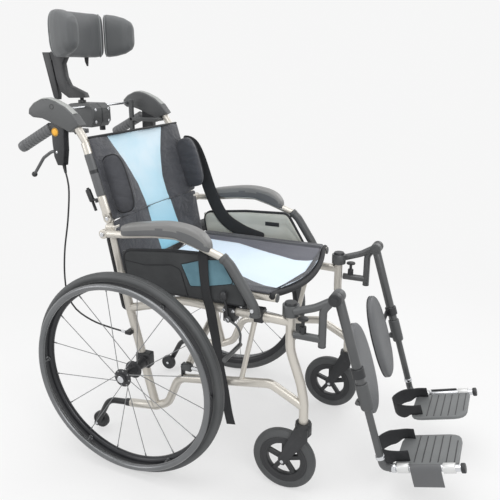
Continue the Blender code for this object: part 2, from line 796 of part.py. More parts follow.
def leaning_box(half_x, across, along, x=FRAME_X):
    """A block given across and along the cane."""
    hinge = (x, HINGE_Y, HINGE_Z)
    low = (x - half_x, HINGE_Y + across[0], HINGE_Z + along[0])
    high = (x + half_x, HINGE_Y + across[1], HINGE_Z + along[1])
    return box(low, high, Matrix.Rotation(-CANE_LEAN, 4, "X"), hinge)


def hinge_tongue():
    """The tongue of the back hinge, on top of the rear post."""
    radius = CHEEK_RADIUS - 0.0015
    eye = cross_rod((HINGE_Y, HINGE_Z), FRAME_X - TONGUE_HALF, FRAME_X + TONGUE_HALF, radius, FINE_SIDES)
    return fused([eye, leaning_box(TONGUE_HALF, (0.002 - radius, radius - 0.002), (-0.030, 0.0))])


# Casters


def caster_hub():
    """The caster's wheel axle in side view."""
    return (FRONT_FOOT_Y + CASTER_TRAIL, CASTER_RADIUS)


def caster_fork():
    top = front_foot_z() - SEAT_GAP
    axis = Vector((FRAME_X, FRONT_FOOT_Y, 0))
    crown = rod(axis + Z_AXIS * (top - CROWN_HEIGHT), axis + Z_AXIS * top, CROWN_RADIUS, FINE_SIDES)
    stem = rod(axis + Z_AXIS * (top - 0.005), axis + Z_AXIS * (top + STEM_LENGTH), STEM_RADIUS)
    hub_y, hub_z = caster_hub()
    inner = CASTER_WIDTH / 2 + 0.003
    shoulder = top - 0.010
    outline = [
        (FRONT_FOOT_Y - 0.018, shoulder), (FRONT_FOOT_Y + 0.018, shoulder), (hub_y + 0.012, hub_z + 0.006),
        (hub_y + 0.006, hub_z - 0.011), (hub_y - 0.006, hub_z - 0.011), (hub_y - 0.013, hub_z + 0.002),
        (FRONT_FOOT_Y - 0.018, shoulder - 0.035),
    ]
    blades = [
        slab(outline, FRAME_X + sign * inner, FRAME_X + sign * (inner + FORK_BLADE)) for sign in (-1, 1)
    ]
    reach = inner + FORK_BLADE + 0.002
    pin = cross_rod((hub_y, hub_z), FRAME_X - reach, FRAME_X + reach, CASTER_AXLE_RADIUS)
    return fused([crown, stem, *blades], pins=[pin])


def caster_wheel():
    steps = 20
    y, z = caster_hub()
    half = CASTER_WIDTH / 2
    tread = CASTER_RADIUS
    outline = [(tread - CASTER_RIM, -0.75 * half), (tread - 0.008, -half), (tread, -0.5 * half)]
    outline += [(radius, -along) for radius, along in reversed(outline)]
    scale = 1 / math.cos(math.pi / steps)
    rim = turned([(radius * scale, FRAME_X + along) for radius, along in outline], steps, (0, y, z))
    end = half + 0.003 - SEAT_GAP
    bore = bore_radius(CASTER_AXLE_RADIUS)
    section = [(bore, -end), (CASTER_HUB_RADIUS, -end), (CASTER_HUB_RADIUS, end), (bore, end)]
    hub = turned([(radius, FRAME_X + along) for radius, along in section], 8, (0, y, z))
    spokes = []
    for index in range(CASTER_SPOKES):
        turn = Matrix.Rotation(2 * math.pi * index / CASTER_SPOKES, 4, "X")
        low = (FRAME_X - 0.007, y - 0.006, z + CASTER_HUB_RADIUS - 0.003)
        high = (FRAME_X + 0.007, y + 0.006, z + tread - CASTER_RIM + 0.004)
        spokes.append(box(low, high, turn, (FRAME_X, y, z)))
    return fused([rim, hub, *spokes])


# Cross arms


def cross_arm(side):
    """An arm pivoted on its own side's lower rail, with the other side's seat rail on top."""
    y = CROSS_YS[side]
    pivot = Vector((FRAME_X, y, CROSS_PIVOT_Z))
    far = Vector((-RAIL_X, y, RAIL_Z))
    middle = pivot.lerp(far, FRAME_X / (FRAME_X + RAIL_X))
    half = CROSS_EYE_LENGTH / 2
    facing = CROSS_MID_Y + math.copysign(SEAT_GAP / 2, y - CROSS_MID_Y)
    pieces = [
        rod(pivot - Y_AXIS * half, pivot + Y_AXIS * half, CROSS_EYE_RADIUS),
        rod(pivot + (far - pivot).normalized() * 0.007, far, CROSS_RADIUS),
        rod((-RAIL_X, RAIL_FRONT_Y, RAIL_Z), (-RAIL_X, RAIL_REAR_Y, RAIL_Z), RAIL_RADIUS),
        rod(middle, (middle.x, facing, middle.z), CROSS_RADIUS * 0.9),
    ]
    bore = rod(pivot - Y_AXIS * 0.05, pivot + Y_AXIS * 0.05, bore_radius(CROSS_PIN_RADIUS))
    mesh = fused(pieces, [bore])
    return mesh if side == "left" else mirrored(mesh)


# Back canes and handles


COVER = [
    (-0.017, 0.013), (0.004, 0.040), (0.030, 0.060), (0.062, 0.074), (0.086, 0.080), (0.110, 0.078),
    (0.138, 0.066), (0.156, 0.050), (0.158, 0.038), (0.144, 0.029), (0.112, 0.027), (0.090, 0.020),
    (0.060, 0.008), (0.038, 0.000), (0.020, -0.008),
]
HOUSING_REAR = [(0.086, -0.040), (0.084, -0.078), (0.074, -0.102)]
HOUSING_FRONT = [(0.054, -0.102), (0.046, -0.060), (0.044, -0.020), (0.040, 0.012), (0.085, 0.022)]


def grip_line():
    """The grip's root, tip and direction in space."""
    root, tip = at_x(FRAME_X, [from_cane_top(GRIP_ROOT), from_cane_top(GRIP_TIP)])
    return root, tip, (tip - root).normalized()


def handle_pieces():
    """The moulded cover, the brake housing under it and the bar inside the grip."""
    root, tip, way = grip_line()
    up = Vector((0, -way.z, way.y))
    seat = root - way * SEAT_GAP
    edge = [seat + up * (GRIP_RADIUS + 0.0005), seat - up * (GRIP_RADIUS + 0.002)]
    cover = [from_cane_top(offset) for offset in COVER]
    housing = [(point.y, point.z) for point in edge]
    housing += [from_cane_top(offset) for offset in HOUSING_REAR + HOUSING_FRONT]
    return [
        slab(cover, FRAME_X - COVER_HALF, FRAME_X + COVER_HALF),
        slab(housing, FRAME_X - HOUSING_HALF, FRAME_X + HOUSING_HALF),
        rod(root - way * 0.02, tip - way * 0.014, HANDLE_TUBE_RADIUS),
    ]


def handle_cuts():
    """The pocket of the push button and the slot of the brake lever."""
    y, z = from_cane_top(BUTTON_AT)
    floor = FRAME_X + HOUSING_HALF - BUTTON_DEPTH
    lever_y, lever_z = from_cane_top(LEVER_PIVOT)
    return [
        cross_rod((y, z), floor, floor + 0.05, bore_radius(BUTTON_RADIUS, FINE_SIDES, SEAT_GAP), FINE_SIDES),
        box(
            (FRAME_X - LEVER_SLOT_HALF, lever_y - 0.0085, lever_z - 0.014),
            (FRAME_X + LEVER_SLOT_HALF, lever_y + 0.05, lever_z + 0.016),
        ),
    ]


def release_point(along, across):
    """A point of the release lever's side view, in space."""
    return at_x(FRAME_X, [along_cane(along, across)])[0]


def release_ears():
    """The two ears behind the casing that carry the release lever."""
    for sign in (-1, 1):
        x = FRAME_X + sign * (TONGUE_HALF + 0.0025)
        yield leaning_box(0.0015, (0.010, 0.0245), (RELEASE_ALONG, RELEASE_ALONG + 0.012), x)


def stabiliser_clip(side):
    """The clip on the cane that carries the stabiliser's rod."""
    y, z = from_cane_top((0.010, -0.008))
    post_rear = ROD_Y - ROD_RADIUS - SEAT_GAP
    low_x, high_x = CLIP_X - CLIP_HALF, CLIP_X + CLIP_HALF
    pieces = [
        rod((FRAME_X, y, z), (CLIP_X, y, z), 0.006, 8),
        box((low_x, y - 0.006, z - 0.006), (high_x, post_rear - 0.002, z + 0.006)),
        box((low_x, post_rear - 0.013, ROD_Z - 0.095), (high_x, post_rear, ROD_Z + 0.011)),
    ]
    if side == "right":
        pieces.append(rod((CLIP_X, post_rear - 0.004, ROD_Z), (CLIP_X, ROD_Y + 0.007, ROD_Z), 0.003, 8))
    else:
        shelf = ROD_Z - ROD_RADIUS - SEAT_GAP
        pieces.append(box((low_x, post_rear - 0.004, shelf - 0.006), (high_x, ROD_Y + 0.006, shelf)))
    return pieces


def cane(side):
    hinge = (HINGE_Y, HINGE_Z)
    top = from_cane_top((0, 0))
    bare = [along_cane(CANE_LENGTH - 0.012), along_cane(CANE_LENGTH), top, from_cane_top((0.010, 0.015))]
    start = CHEEK_RADIUS + HINGE_CLEARANCE
    cheek_x = (FRAME_X - CHEEK_RADIUS, FRAME_X + CHEEK_RADIUS)
    pieces = [
        cross_rod(hinge, *cheek_x, CHEEK_RADIUS, FINE_SIDES),
        leaning_box(CHEEK_RADIUS, (-0.0115, 0.0115), (0.0, start + 0.004)),
        rod(release_point(start, 0), release_point(CASING_END, 0), CASING_RADIUS, FINE_SIDES),
        rod(release_point(CASING_END - 0.006, 0), release_point(CANE_LENGTH, 0), SLEEVE_RADIUS),
        tube(at_x(FRAME_X, bare), CANE_RADIUS),
        *handle_pieces(), *release_ears(), *stabiliser_clip(side),
    ]
    slot = leaning_box(TONGUE_HALF + BORE_GAP, (-0.03, 0.03), (-0.03, CHEEK_RADIUS - 0.0005))
    lever = from_cane_top(LEVER_PIVOT)
    pins = [
        cross_rod(hinge, *cheek_x, HINGE_PIN_RADIUS),
        cross_rod(lever, FRAME_X - HOUSING_HALF, FRAME_X + HOUSING_HALF, LEVER_PIN_RADIUS, 6),
        cross_rod(along_cane(RELEASE_ALONG + 0.006, 0.0205), FRAME_X - 0.009, FRAME_X + 0.009, 0.002, 6),
    ]
    mesh = fused(pieces, [slot, *handle_cuts()], pins)
    return mesh if side == "left" else mirrored(mesh)


def grip():
    root, tip, way = grip_line()
    bore = rod(root - way * 0.01, tip - way * (0.014 - SEAT_GAP), bore_radius(HANDLE_TUBE_RADIUS))
    return fused([rod(root, tip, GRIP_RADIUS, FINE_SIDES)], [bore])


def handle_button():
    floor = FRAME_X + HOUSING_HALF - BUTTON_DEPTH
    low = floor + BUTTON_TRAVEL + SEAT_GAP
    return cross_rod(from_cane_top(BUTTON_AT), low, low + BUTTON_DEPTH, BUTTON_RADIUS, FINE_SIDES)


def brake_lever():
    pivot, bend, tip = at_x(FRAME_X, [from_cane_top(point) for point in (LEVER_PIVOT, LEVER_BEND, LEVER_TIP)])
    half = LEVER_SLOT_HALF - SEAT_GAP
    eye = rod(pivot - X_AXIS * half, pivot + X_AXIS * half, 0.0075)
    ball = pad((BALL_RADIUS,) * 3, tip, flatness=1.0, columns=10, rows=6)
    bore = rod(pivot - X_AXIS * 0.02, pivot + X_AXIS * 0.02, bore_radius(LEVER_PIN_RADIUS, 6), 6)
    return fused([eye, tube([pivot, bend, tip], LEVER_RADIUS, 0.02, 6), ball], [bore])


def release_lever():
    pivot = release_point(RELEASE_ALONG + 0.006, 0.0205)
    half = X_AXIS * (TONGUE_HALF + 0.0007)
    low = release_point(RELEASE_ALONG - 0.022, 0.038)
    high = release_point(RELEASE_ALONG + RELEASE_LENGTH - 0.010, 0.043)
    middle = low.lerp(high, 0.5)
    bore = rod(pivot - X_AXIS * 0.02, pivot + X_AXIS * 0.02, bore_radius(0.002, 6), 6)
    return fused([rod(pivot - half, pivot + half, 0.0048), rod(pivot, middle, 0.004), rod(low, high, 0.0045)], [bore])


# Stabiliser and headrest


def stabiliser_bar():
    outline = [
        (BLOCK_FRONT_Y, BLOCK_BOTTOM_Z + 0.016), (BLOCK_FRONT_Y + 0.012, BLOCK_BOTTOM_Z),
        (BLOCK_REAR_Y - 0.030, BLOCK_BOTTOM_Z), (BLOCK_REAR_Y, BLOCK_BOTTOM_Z + 0.024),
        (BLOCK_REAR_Y - 0.006, BLOCK_TOP_Z - 0.006), (BLOCK_REAR_Y - 0.020, BLOCK_TOP_Z),
        (BLOCK_FRONT_Y + 0.018, BLOCK_TOP_Z), (BLOCK_FRONT_Y, BLOCK_TOP_Z - 0.014),
    ]
    eye_low = ROD_Y - ROD_RADIUS
    pieces = [
        slab(outline, -BLOCK_HALF, BLOCK_HALF),
        cross_rod((ROD_Y, ROD_Z), -CLIP_X, CLIP_X + CLIP_HALF, ROD_RADIUS),
        rod((-CLIP_X, eye_low, ROD_Z), (-CLIP_X, ROD_Y + 0.006, ROD_Z), 0.0075),
        rod((0.026, 0.300, BLOCK_BOTTOM_Z - 0.014), (0.026, 0.300, BLOCK_BOTTOM_Z + 0.01), 0.009),
    ]
    cuts = [
        rod((-CLIP_X, 0.28, ROD_Z), (-CLIP_X, 0.33, ROD_Z), bore_radius(0.003, 8), 8),
        rod((0, STEM_POST_Y, 0.90), (0, STEM_POST_Y, 1.10), bore_radius(STEM_POST_RADIUS)),
    ]
    return fused(pieces, cuts)


STEM_REAR = [(0.488, 1.164), (0.460, 1.164), (0.437, 1.034), (0.440, 1.020), (0.452, 1.020), (0.458, 1.030)]
STEM_FRONT = [
    (0.452, 1.166), (0.397, 1.166), (0.397, 1.150), (0.410, 1.130), (0.405, 1.090), (0.392, 1.064),
    (0.336, 1.042), (0.330, 1.028), (0.395, 1.026), (0.425, 1.045), (0.437, 1.080),
]


def headrest_stem():
    pin_y, pin_z = TILT_PIN
    pieces = [
        slab(STEM_FRONT, -STEM_HALF, STEM_HALF),
        slab(STEM_REAR, 0.003 - STEM_HALF, STEM_HALF - 0.003),
        box((-0.006, 0.440, 1.140), (0.006, 0.470, 1.162)),
        rod((0, STEM_POST_Y, BLOCK_BOTTOM_Z + 0.004), (0, STEM_POST_Y, 1.042), STEM_POST_RADIUS),
    ]
    return fused(pieces, pins=[cross_rod((pin_y, pin_z), -0.0195, 0.0195, TILT_PIN_RADIUS)])


# Half of the headrest from the middle outwards: x, y of its core, thickness and height shares
HEADREST_HALF = [
    (0.000, 0.362, 1.00, 1.00), (0.038, 0.361, 1.00, 1.00), (0.066, 0.358, 0.94, 0.97), (0.077, 0.355, 0.78, 0.90),
    (0.088, 0.350, 0.94, 0.97), (0.108, 0.330, 1.02, 1.02), (0.124, 0.300, 1.02, 1.04), (0.134, 0.272, 0.94, 1.00),
    (0.140, 0.252, 0.70, 0.84), (0.142, 0.243, 0.30, 0.50),
]


def headrest_pad():
    half = [(-x, y, thick, tall) for x, y, thick, tall in reversed(HEADREST_HALF[1:])]
    stations = half + HEADREST_HALF
    rings = []
    count = 12
    for index, (x, y, thick, tall) in enumerate(stations):
        before = stations[max(index - 1, 0)]
        after = stations[min(index + 1, len(stations) - 1)]
        way = Vector((after[0] - before[0], after[1] - before[1], 0)).normalized()
        normal = Vector((-way.y, way.x, 0))
        ring = []
        for step in range(count):
            angle = 2 * math.pi * step / count
            out = math.copysign(abs(math.cos(angle)) ** 0.75, math.cos(angle)) * thick * PAD_THICKNESS / 2
            up = math.copysign(abs(math.sin(angle)) ** 0.65, math.sin(angle)) * tall * (PAD_TOP_Z - PAD_BOTTOM_Z) / 2
            centre = Vector((x, y, (PAD_TOP_Z + PAD_BOTTOM_Z) / 2))
            ring.append(centre + normal * out + Z_AXIS * up)
        rings.append(ring)
    pin_y, pin_z = TILT_PIN
    ears = []
    for sign in (-1, 1):
        low, high = sign * (STEM_HALF + SEAT_GAP), sign * (STEM_HALF + 0.0055)
        outline = [
            (0.370, pin_z + 0.006), (0.370, pin_z + 0.034), (0.384, pin_z + 0.034), (pin_y + 0.008, pin_z + 0.006),
            (pin_y + 0.008, pin_z - 0.007), (pin_y - 0.007, pin_z - 0.008),
        ]
        ears.append(slab(outline, low, high))
    bore = cross_rod((pin_y, pin_z), -0.03, 0.03, bore_radius(TILT_PIN_RADIUS))
    return fused([loft(rings), *ears], [bore])


# Anti-tippers


def stub_way():
    """The end of the rear stub and the way it points."""
    start, end = at_x(FRAME_X, [LOWER_RAIL[0], REAR_STUB_END])
    return end, (end - start).normalized()


def tip_wheel_x():
    return FRAME_X - TIP_TUBE_RADIUS - 0.001 - TIP_WHEEL_HALF


def anti_tip_tube():
    end, way = stub_way()
    route = [end - way * (STUB_BORE_DEPTH - 0.003), *at_x(FRAME_X, TIP_ROUTE)]
    pieces = [
        tube(route, TIP_TUBE_RADIUS),
        rod(end + way * SEAT_GAP, end + way * 0.016, TIP_COLLAR_RADIUS),
        cross_rod(TIP_ROUTE[-1], FRAME_X - TIP_TUBE_RADIUS - 0.0007, FRAME_X + TIP_TUBE_RADIUS, 0.0085),
    ]
    return fused(pieces, pins=[cross_rod(TIP_ROUTE[-1], tip_wheel_x() - 0.011, FRAME_X, TIP_PIN_RADIUS)])


def anti_tip_wheel():
    half = TIP_WHEEL_HALF
    bore = bore_radius(TIP_PIN_RADIUS)
    outline = [(bore, -half), (0.024, -half), (TIP_WHEEL_RADIUS, -0.5 * half)]
    outline += [(radius, -along) for radius, along in reversed(outline)]
    return turned([(radius, tip_wheel_x() + along) for radius, along in outline], 14, (0, *TIP_ROUTE[-1]))


# Armrests


def arm_tube():
    pivot = arm_pivot()
    half = ARM_RADIUS + 0.0005
    pieces = [
        cross_rod(pivot, ARM_X - half, ARM_X + half, ARM_EYE_RADIUS),
        tube(at_x(ARM_X, [pivot, *ARM_TUBE]), ARM_RADIUS, 0.06),
        tube(at_x(ARM_X, ARM_SLEEVE), ARM_SLEEVE_RADIUS, 0.05),
    ]
    return fused(pieces, [cross_rod(pivot, ARM_X - 0.03, ARM_X + 0.03, bore_radius(ARM_PIN_RADIUS))])


def arm_pad():
    """The pad, with a groove under it that clears the tube."""
    route = smooth(at_x(ARM_X, ARM_PAD_TOP), 0.035)
    rings = []
    for index, point in enumerate(route):
        share = 1.0
        if index in (0, len(route) - 1):
            share = 0.72
        half = ARM_PAD_HALF * share
        floor = on_route(ARM_TUBE, point.y, 0) - 0.002
        top = point.z - 0.003 * (1 - share)
        side = [(1.0, floor), (1.0, top - 0.009), (0.82, top - 0.003), (0.4, top)]
        ring = [Vector((ARM_X - half * across, point.y, z)) for across, z in side]
        ring += [Vector((ARM_X + half * across, point.y, z)) for across, z in reversed(side)]
        rings.append(ring)
    groove = [arm_pivot(), *ARM_TUBE]
    clear = (ARM_RADIUS + SEAT_GAP) / math.cos(math.pi / 10)
    below = at_x(ARM_X, [(y, z - 0.010) for y, z in groove])
    return fused([loft(rings)], [tube(at_x(ARM_X, groove), clear, 0.06), tube(below, clear, 0.06)])


def side_panel():
    corners = [Vector((0, y, z)) for y, z in PANEL]
    outline = []
    for before, corner, after in zip(corners[-1:] + corners[:-1], corners, corners[1:] + corners[:1]):
        outline += rounded([before, corner, after], 0.018)[1:-1]
    return slab([(point.y, point.z) for point in outline], PANEL_INSIDE, PANEL_INSIDE + PANEL_THICKNESS)


# Leg rests


def leg_point(x, along, across=0.0):
    return Vector((x, *along_leg(along, across)))


def sleeve_radius():
    return TUBE_RADIUS + BORE_GAP + SLEEVE_WALL


def hanger_sleeve():
    low, high = (Vector((FRAME_X, POST_Y, z)) for z in (SLEEVE_FOOT_Z, POST_TOP_Z + SEAT_GAP))
    outer = rod(low, high + Z_AXIS * 0.004, sleeve_radius(), FINE_SIDES)
    return fused([outer], [rod(low - Z_AXIS * 0.01, high, bore_radius(TUBE_RADIUS))])


def hanger():
    low, high = (Vector((FRAME_X, POST_Y, z)) for z in (SLEEVE_FOOT_Z + 0.003, POST_TOP_Z - 0.002))
    bore = bore_radius(sleeve_radius(), FINE_SIDES)
    inner_x = LEG_X + LEG_EYE_HALF + SEAT_GAP
    latch_y = HANGER_LEG_Y + 0.051
    latch = Vector((HANGER_X, latch_y, HANGER_LATCH_Z))
    rest_y = POST_Y - TUBE_RADIUS - 0.0008
    upper = [(POST_Y - 0.014, 0.534), (HANGER_LEG_Y + 0.020, 0.553), (LEG_PIVOT[0] + 0.004, LEG_PIVOT[1] - 0.002)]
    front = [(LEG_PIVOT[0] + 0.010, LEG_PIVOT[1] - 0.008), (HANGER_LEG_Y, 0.550), (HANGER_LEG_Y, HANGER_FOOT_Z)]
    pieces = [
        rod(low, high, bore + EYE_WALL, FINE_SIDES),
        tube(at_x(HANGER_X, upper), HANGER_RADIUS, 0.08),
        tube(at_x(HANGER_X, front), HANGER_RADIUS, 0.03),
        rod(*at_x(HANGER_X, [(HANGER_LEG_Y, HANGER_LATCH_Z), (rest_y, HANGER_LATCH_Z)]), HANGER_RADIUS),
        cross_rod(LEG_PIVOT, inner_x, HANGER_X + KNUCKLE_HALF, KNUCKLE_RADIUS, FINE_SIDES),
        rod(latch, latch + Z_AXIS * 0.049, 0.0042),
        rod(latch + Z_AXIS * 0.012, latch + Z_AXIS * 0.026, 0.0085),
        rod(latch + Vector((-0.013, 0, 0.046)), latch + Vector((0.013, 0, 0.046)), 0.0045),
    ]
    cut = rod(low - Z_AXIS * 0.003, high + Z_AXIS * 0.003, bore, FINE_SIDES)
    pin = cross_rod(LEG_PIVOT, LEG_X - LEG_EYE_HALF - 0.002, HANGER_X, LEG_PIN_RADIUS)
    return fused(pieces, [cut], [pin])


def leg_tube():
    bore_start = LEG_LENGTH - FOOT_INSIDE - FOOT_TRAVEL - 0.006
    clamp = LEG_LENGTH - CLAMP_LENGTH
    screw_y = along_leg(clamp + 0.050, CLAMP_RADIUS + 0.004)
    pieces = [
        cross_rod(LEG_PIVOT, LEG_X - LEG_EYE_HALF, LEG_X + LEG_EYE_HALF, KNUCKLE_RADIUS, FINE_SIDES),
        rod(leg_point(LEG_X, 0), leg_point(LEG_X, LEG_LENGTH), LEG_RADIUS, RUNNER_SIDES),
        rod(leg_point(LEG_X, clamp), leg_point(LEG_X, LEG_LENGTH), CLAMP_RADIUS, FINE_SIDES),
        cross_rod(screw_y, LEG_X - 0.009, LEG_X + 0.009, 0.006, 8),
    ]
    foot_bore = bore_radius(FOOT_RADIUS, RUNNER_SIDES, FOOT_GAP)
    cuts = [
        cross_rod(LEG_PIVOT, LEG_X - 0.03, LEG_X + 0.03, bore_radius(LEG_PIN_RADIUS)),
        rod(leg_point(LEG_X, bore_start), leg_point(LEG_X, LEG_LENGTH + 0.01), foot_bore, RUNNER_SIDES),
    ]
    return fused(pieces, cuts)


def foot_tube():
    low = HINGE_ROD_ALONG
    front = HINGE_ROD_REAR - HINGE_ROD_LENGTH
    corners = [leg_point(LEG_X, LEG_LENGTH - FOOT_INSIDE), leg_point(LEG_X, FOOT_LENGTH)]
    corners += [leg_point(LEG_X - 0.004, low - 0.014, 0.0), leg_point(HINGE_ROD_X, low, HINGE_ROD_REAR - 0.003)]
    hinge_ends = leg_point(HINGE_ROD_X, low, HINGE_ROD_REAR), leg_point(HINGE_ROD_X, low, front)
    pieces = [
        tube(corners, FOOT_RADIUS, 0.03, RUNNER_SIDES),
        rod(*hinge_ends, HINGE_ROD_RADIUS, RUNNER_SIDES),
        rod(leg_point(HINGE_ROD_X, low, front + 0.005), leg_point(HINGE_ROD_X, low, front - 0.006), 0.0105),
    ]
    return fused(pieces)


def plate_levels():
    """How far down the leg the footplate's top and bottom are."""
    return HINGE_ROD_ALONG - PLATE_THICKNESS / 2, HINGE_ROD_ALONG + PLATE_THICKNESS / 2


def plate_edges():
    """The footplate's outer and inner x, and how far behind the leg its rear and front are."""
    outer = HINGE_ROD_X - HINGE_ROD_RADIUS - 0.001
    return outer, outer - PLATE_WIDTH, PLATE_REAR, PLATE_REAR - PLATE_LENGTH


def plate_mat():
    """The raised rubber mat on the footplate, clear of the heel strap."""
    top = plate_levels()[0]
    outer, inner, rear, front = plate_edges()
    outer, inner, front = outer - MAT_MARGIN, inner + MAT_MARGIN, front + MAT_MARGIN
    rear -= MAT_REAR_MARGIN
    cut = PLATE_CORNER - MAT_MARGIN / 2
    plan = [(outer, rear), (inner, rear), (inner, front + cut), (inner + 0.3 * cut, front + 0.3 * cut)]
    plan += [(inner + cut, front), (outer, front)]
    levels = (top - MAT_THICKNESS, top + 0.001)
    return loft([[leg_point(x, level, across) for x, across in plan] for level in levels])


def footplate():
    top, bottom = plate_levels()
    outer, inner, rear, front = plate_edges()
    cut = PLATE_CORNER
    plan = [
        (outer, rear), (inner + cut, rear), (inner + 0.3 * cut, rear - 0.3 * cut), (inner, rear - cut),
        (inner, front + cut), (inner + 0.3 * cut, front + 0.3 * cut), (inner + cut, front), (outer - 0.01, front),
        (outer, front + 0.01),
    ]
    pieces = [loft([[leg_point(x, level, across) for x, across in plan] for level in (top, bottom)]), plate_mat()]
    bore = bore_radius(HINGE_ROD_RADIUS, RUNNER_SIDES)
    for start in (rear - 0.008, front + 0.006 + KNUCKLE_LENGTH):
        ends = [leg_point(HINGE_ROD_X, HINGE_ROD_ALONG, across) for across in (start, start - KNUCKLE_LENGTH)]
        pieces.append(rod(*ends, bore + 0.003, RUNNER_SIDES))
    ends = [leg_point(HINGE_ROD_X, HINGE_ROD_ALONG, across) for across in (0.02, front - 0.05)]
    return fused(pieces, [rod(*ends, bore, RUNNER_SIDES)])


def heel_strap():
    """The webbing loop behind the heel, on the plate's rear corners."""
    floor = plate_levels()[0] - SEAT_GAP
    route = smooth([Vector((x, across, 0)) for x, across in STRAP_ROUTE], 0.014)
    rings = []
    for index, point in enumerate(route):
        way = (route[min(index + 1, len(route) - 1)] - route[max(index - 1, 0)]).normalized()
        normal = Vector((way.y, -way.x, 0)) * STRAP_THICKNESS / 2
        inside, outside = point - normal, point + normal
        levels = (floor, floor - STRAP_HEIGHT)
        ring = [leg_point(inside.x, levels[0], inside.y), leg_point(outside.x, levels[0], outside.y)]
        ring += [leg_point(outside.x, levels[1], outside.y), leg_point(inside.x, levels[1], inside.y)]
        rings.append(ring)
    return loft(rings)


def calf_along():
    """How far down the leg the calf pad's collar sits, just above the clamp."""
    return LEG_LENGTH - CALF_ABOVE_END


def calf_pad():
    turn = Matrix.Rotation(-LEG_SLOPE, 4, "X")
    centre = leg_point(CALF_CENTRE_X, LEG_LENGTH - CALF_CENTRE_ABOVE_END, CALF_BEHIND_LEG)
    low, high = calf_along() - CALF_COLLAR / 2, calf_along() + CALF_COLLAR / 2
    arm_start = leg_point(LEG_X - 0.006, calf_along(), 0.0125)
    arm_end = leg_point(CALF_CENTRE_X + 0.030, calf_along() + 0.020, 0.020)
    pieces = [
        pad(CALF_HALF, centre, turn, 0.55, 14, 8),
        rod(leg_point(LEG_X, low), leg_point(LEG_X, high), LEG_RADIUS + 0.0045, FINE_SIDES),
        rod(arm_start, arm_end, 0.006),
    ]
    ends = (leg_point(LEG_X, low - 0.01), leg_point(LEG_X, high + 0.01))
    bore = bore_radius(LEG_RADIUS, RUNNER_SIDES, COLLAR_GAP)
    return fused(pieces, [rod(*ends, bore, RUNNER_SIDES)])


# Parking brakes


def parking_brake():
    low, high = BRAKE_PLATE_INSIDE, BRAKE_PLATE_INSIDE + BRAKE_PLATE
    middle = (low + high) / 2
    shoe_end = TYRE_X + 0.016
    knob = Vector((middle + 0.008, *BRAKE_KNOB))
    neck = Vector((middle, BRAKE_PIVOT[0] + 0.002, BRAKE_PIVOT[1] + 0.008))
    pieces = [
        cross_rod(BRAKE_PIVOT, low, high, BRAKE_EYE_RADIUS, FINE_SIDES),
        tube(at_x(middle, BRAKE_ARM), 0.0029, 0.03, 6),
        cross_rod(BRAKE_ARM[-1], low, shoe_end, SHOE_RADIUS),
        tube([neck, neck.lerp(knob, 0.4) - X_AXIS * 0.003, knob], 0.0029, 0.03, 6),
        pad((0.0085, 0.0105, 0.013), knob, flatness=1.0, columns=10, rows=6),
    ]
    return fused(pieces, [cross_rod(BRAKE_PIVOT, low - 0.02, high + 0.02, bore_radius(BRAKE_PIN_RADIUS))])


# Upholstery


def across_ring(width, skin_x, level, thickness, sag, skin, point):
    """One section of a sling between two bars, with a thin edge over each bar.

    The level is the height of the edges' outer face, and point(x, height) gives a place in space.
    """
    inside = width - 0.0015
    shares = [0.0, 0.35, 0.765, 0.785, 0.805, 0.93]
    xs = [skin_x, (skin_x + width) / 2, width] + [share * inside for share in reversed(shares)]
    xs += [-x for x in reversed(xs[:-1])]
    top, bottom = [], []
    for x in xs:
        inner = max(0.0, 1 - (x / inside) ** 2)
        seam = SEAM_DEPTH if abs(abs(x) - 0.785 * inside) < 1e-6 else 0.0
        top.append((x, level - sag * inner - seam))
        if abs(x) >= width - 1e-6:
            bottom.append((x, level - skin))
        elif abs(abs(x) - 0.785 * inside) > 1e-6:
            taper = 0.78 if abs(x) > 0.9 * inside else 1.0
            bottom.append((x, level - sag * inner - taper * thickness))
    under = []
    for x, height in bottom:
        if abs(abs(x) - 0.93 * inside) < 1e-6:
            edge = (math.copysign(inside, x), level - 0.5 * thickness)
            under += [edge, (x, height)] if x > 0 else [(x, height), edge]
        else:
            under.append((x, height))
    return [point(x, height) for x, height in top + under[::-1]]


def sling(stations, place, width=0.2105, skin_x=SEAT_EDGE_X, thickness=SEAT_THICKNESS, sag=SEAT_SAG):
    """A sling over a row of stations (where, drop of the top, rise of the bottom), each placed by place(where)."""
    rings = []
    for where, drop, rise in stations:
        point = place(where)
        skin = SEAT_SKIN - 0.6 * (drop + rise)
        rings.append(across_ring(width, skin_x, -drop, thickness - drop - rise, sag, max(skin, 0.002), point))
    return loft(rings)


def seat_cushion():
    top = RAIL_Z + RAIL_RADIUS + 2 * SEAT_GAP + SEAT_SKIN
    rear = RAIL_REAR_Y - 0.007

    def place(where):
        def point(x, height):
            bow = SEAT_BULGE * max(0.0, 1 - (x / 0.2105) ** 2) * max(0.0, (where - 0.5) / 0.5)
            return Vector((x, rear + (SEAT_FRONT_Y - rear) * where - bow, top + height))

        return point

    stations = [(0.0, 0.002, 0.002), (0.02, 0.0, 0.0)]
    stations += [(share, 0.0, 0.0) for share in (0.35, 0.65, 0.85, 0.98)]
    stations += [(1.0, 0.002, 0.006)]
    return sling(stations, place)


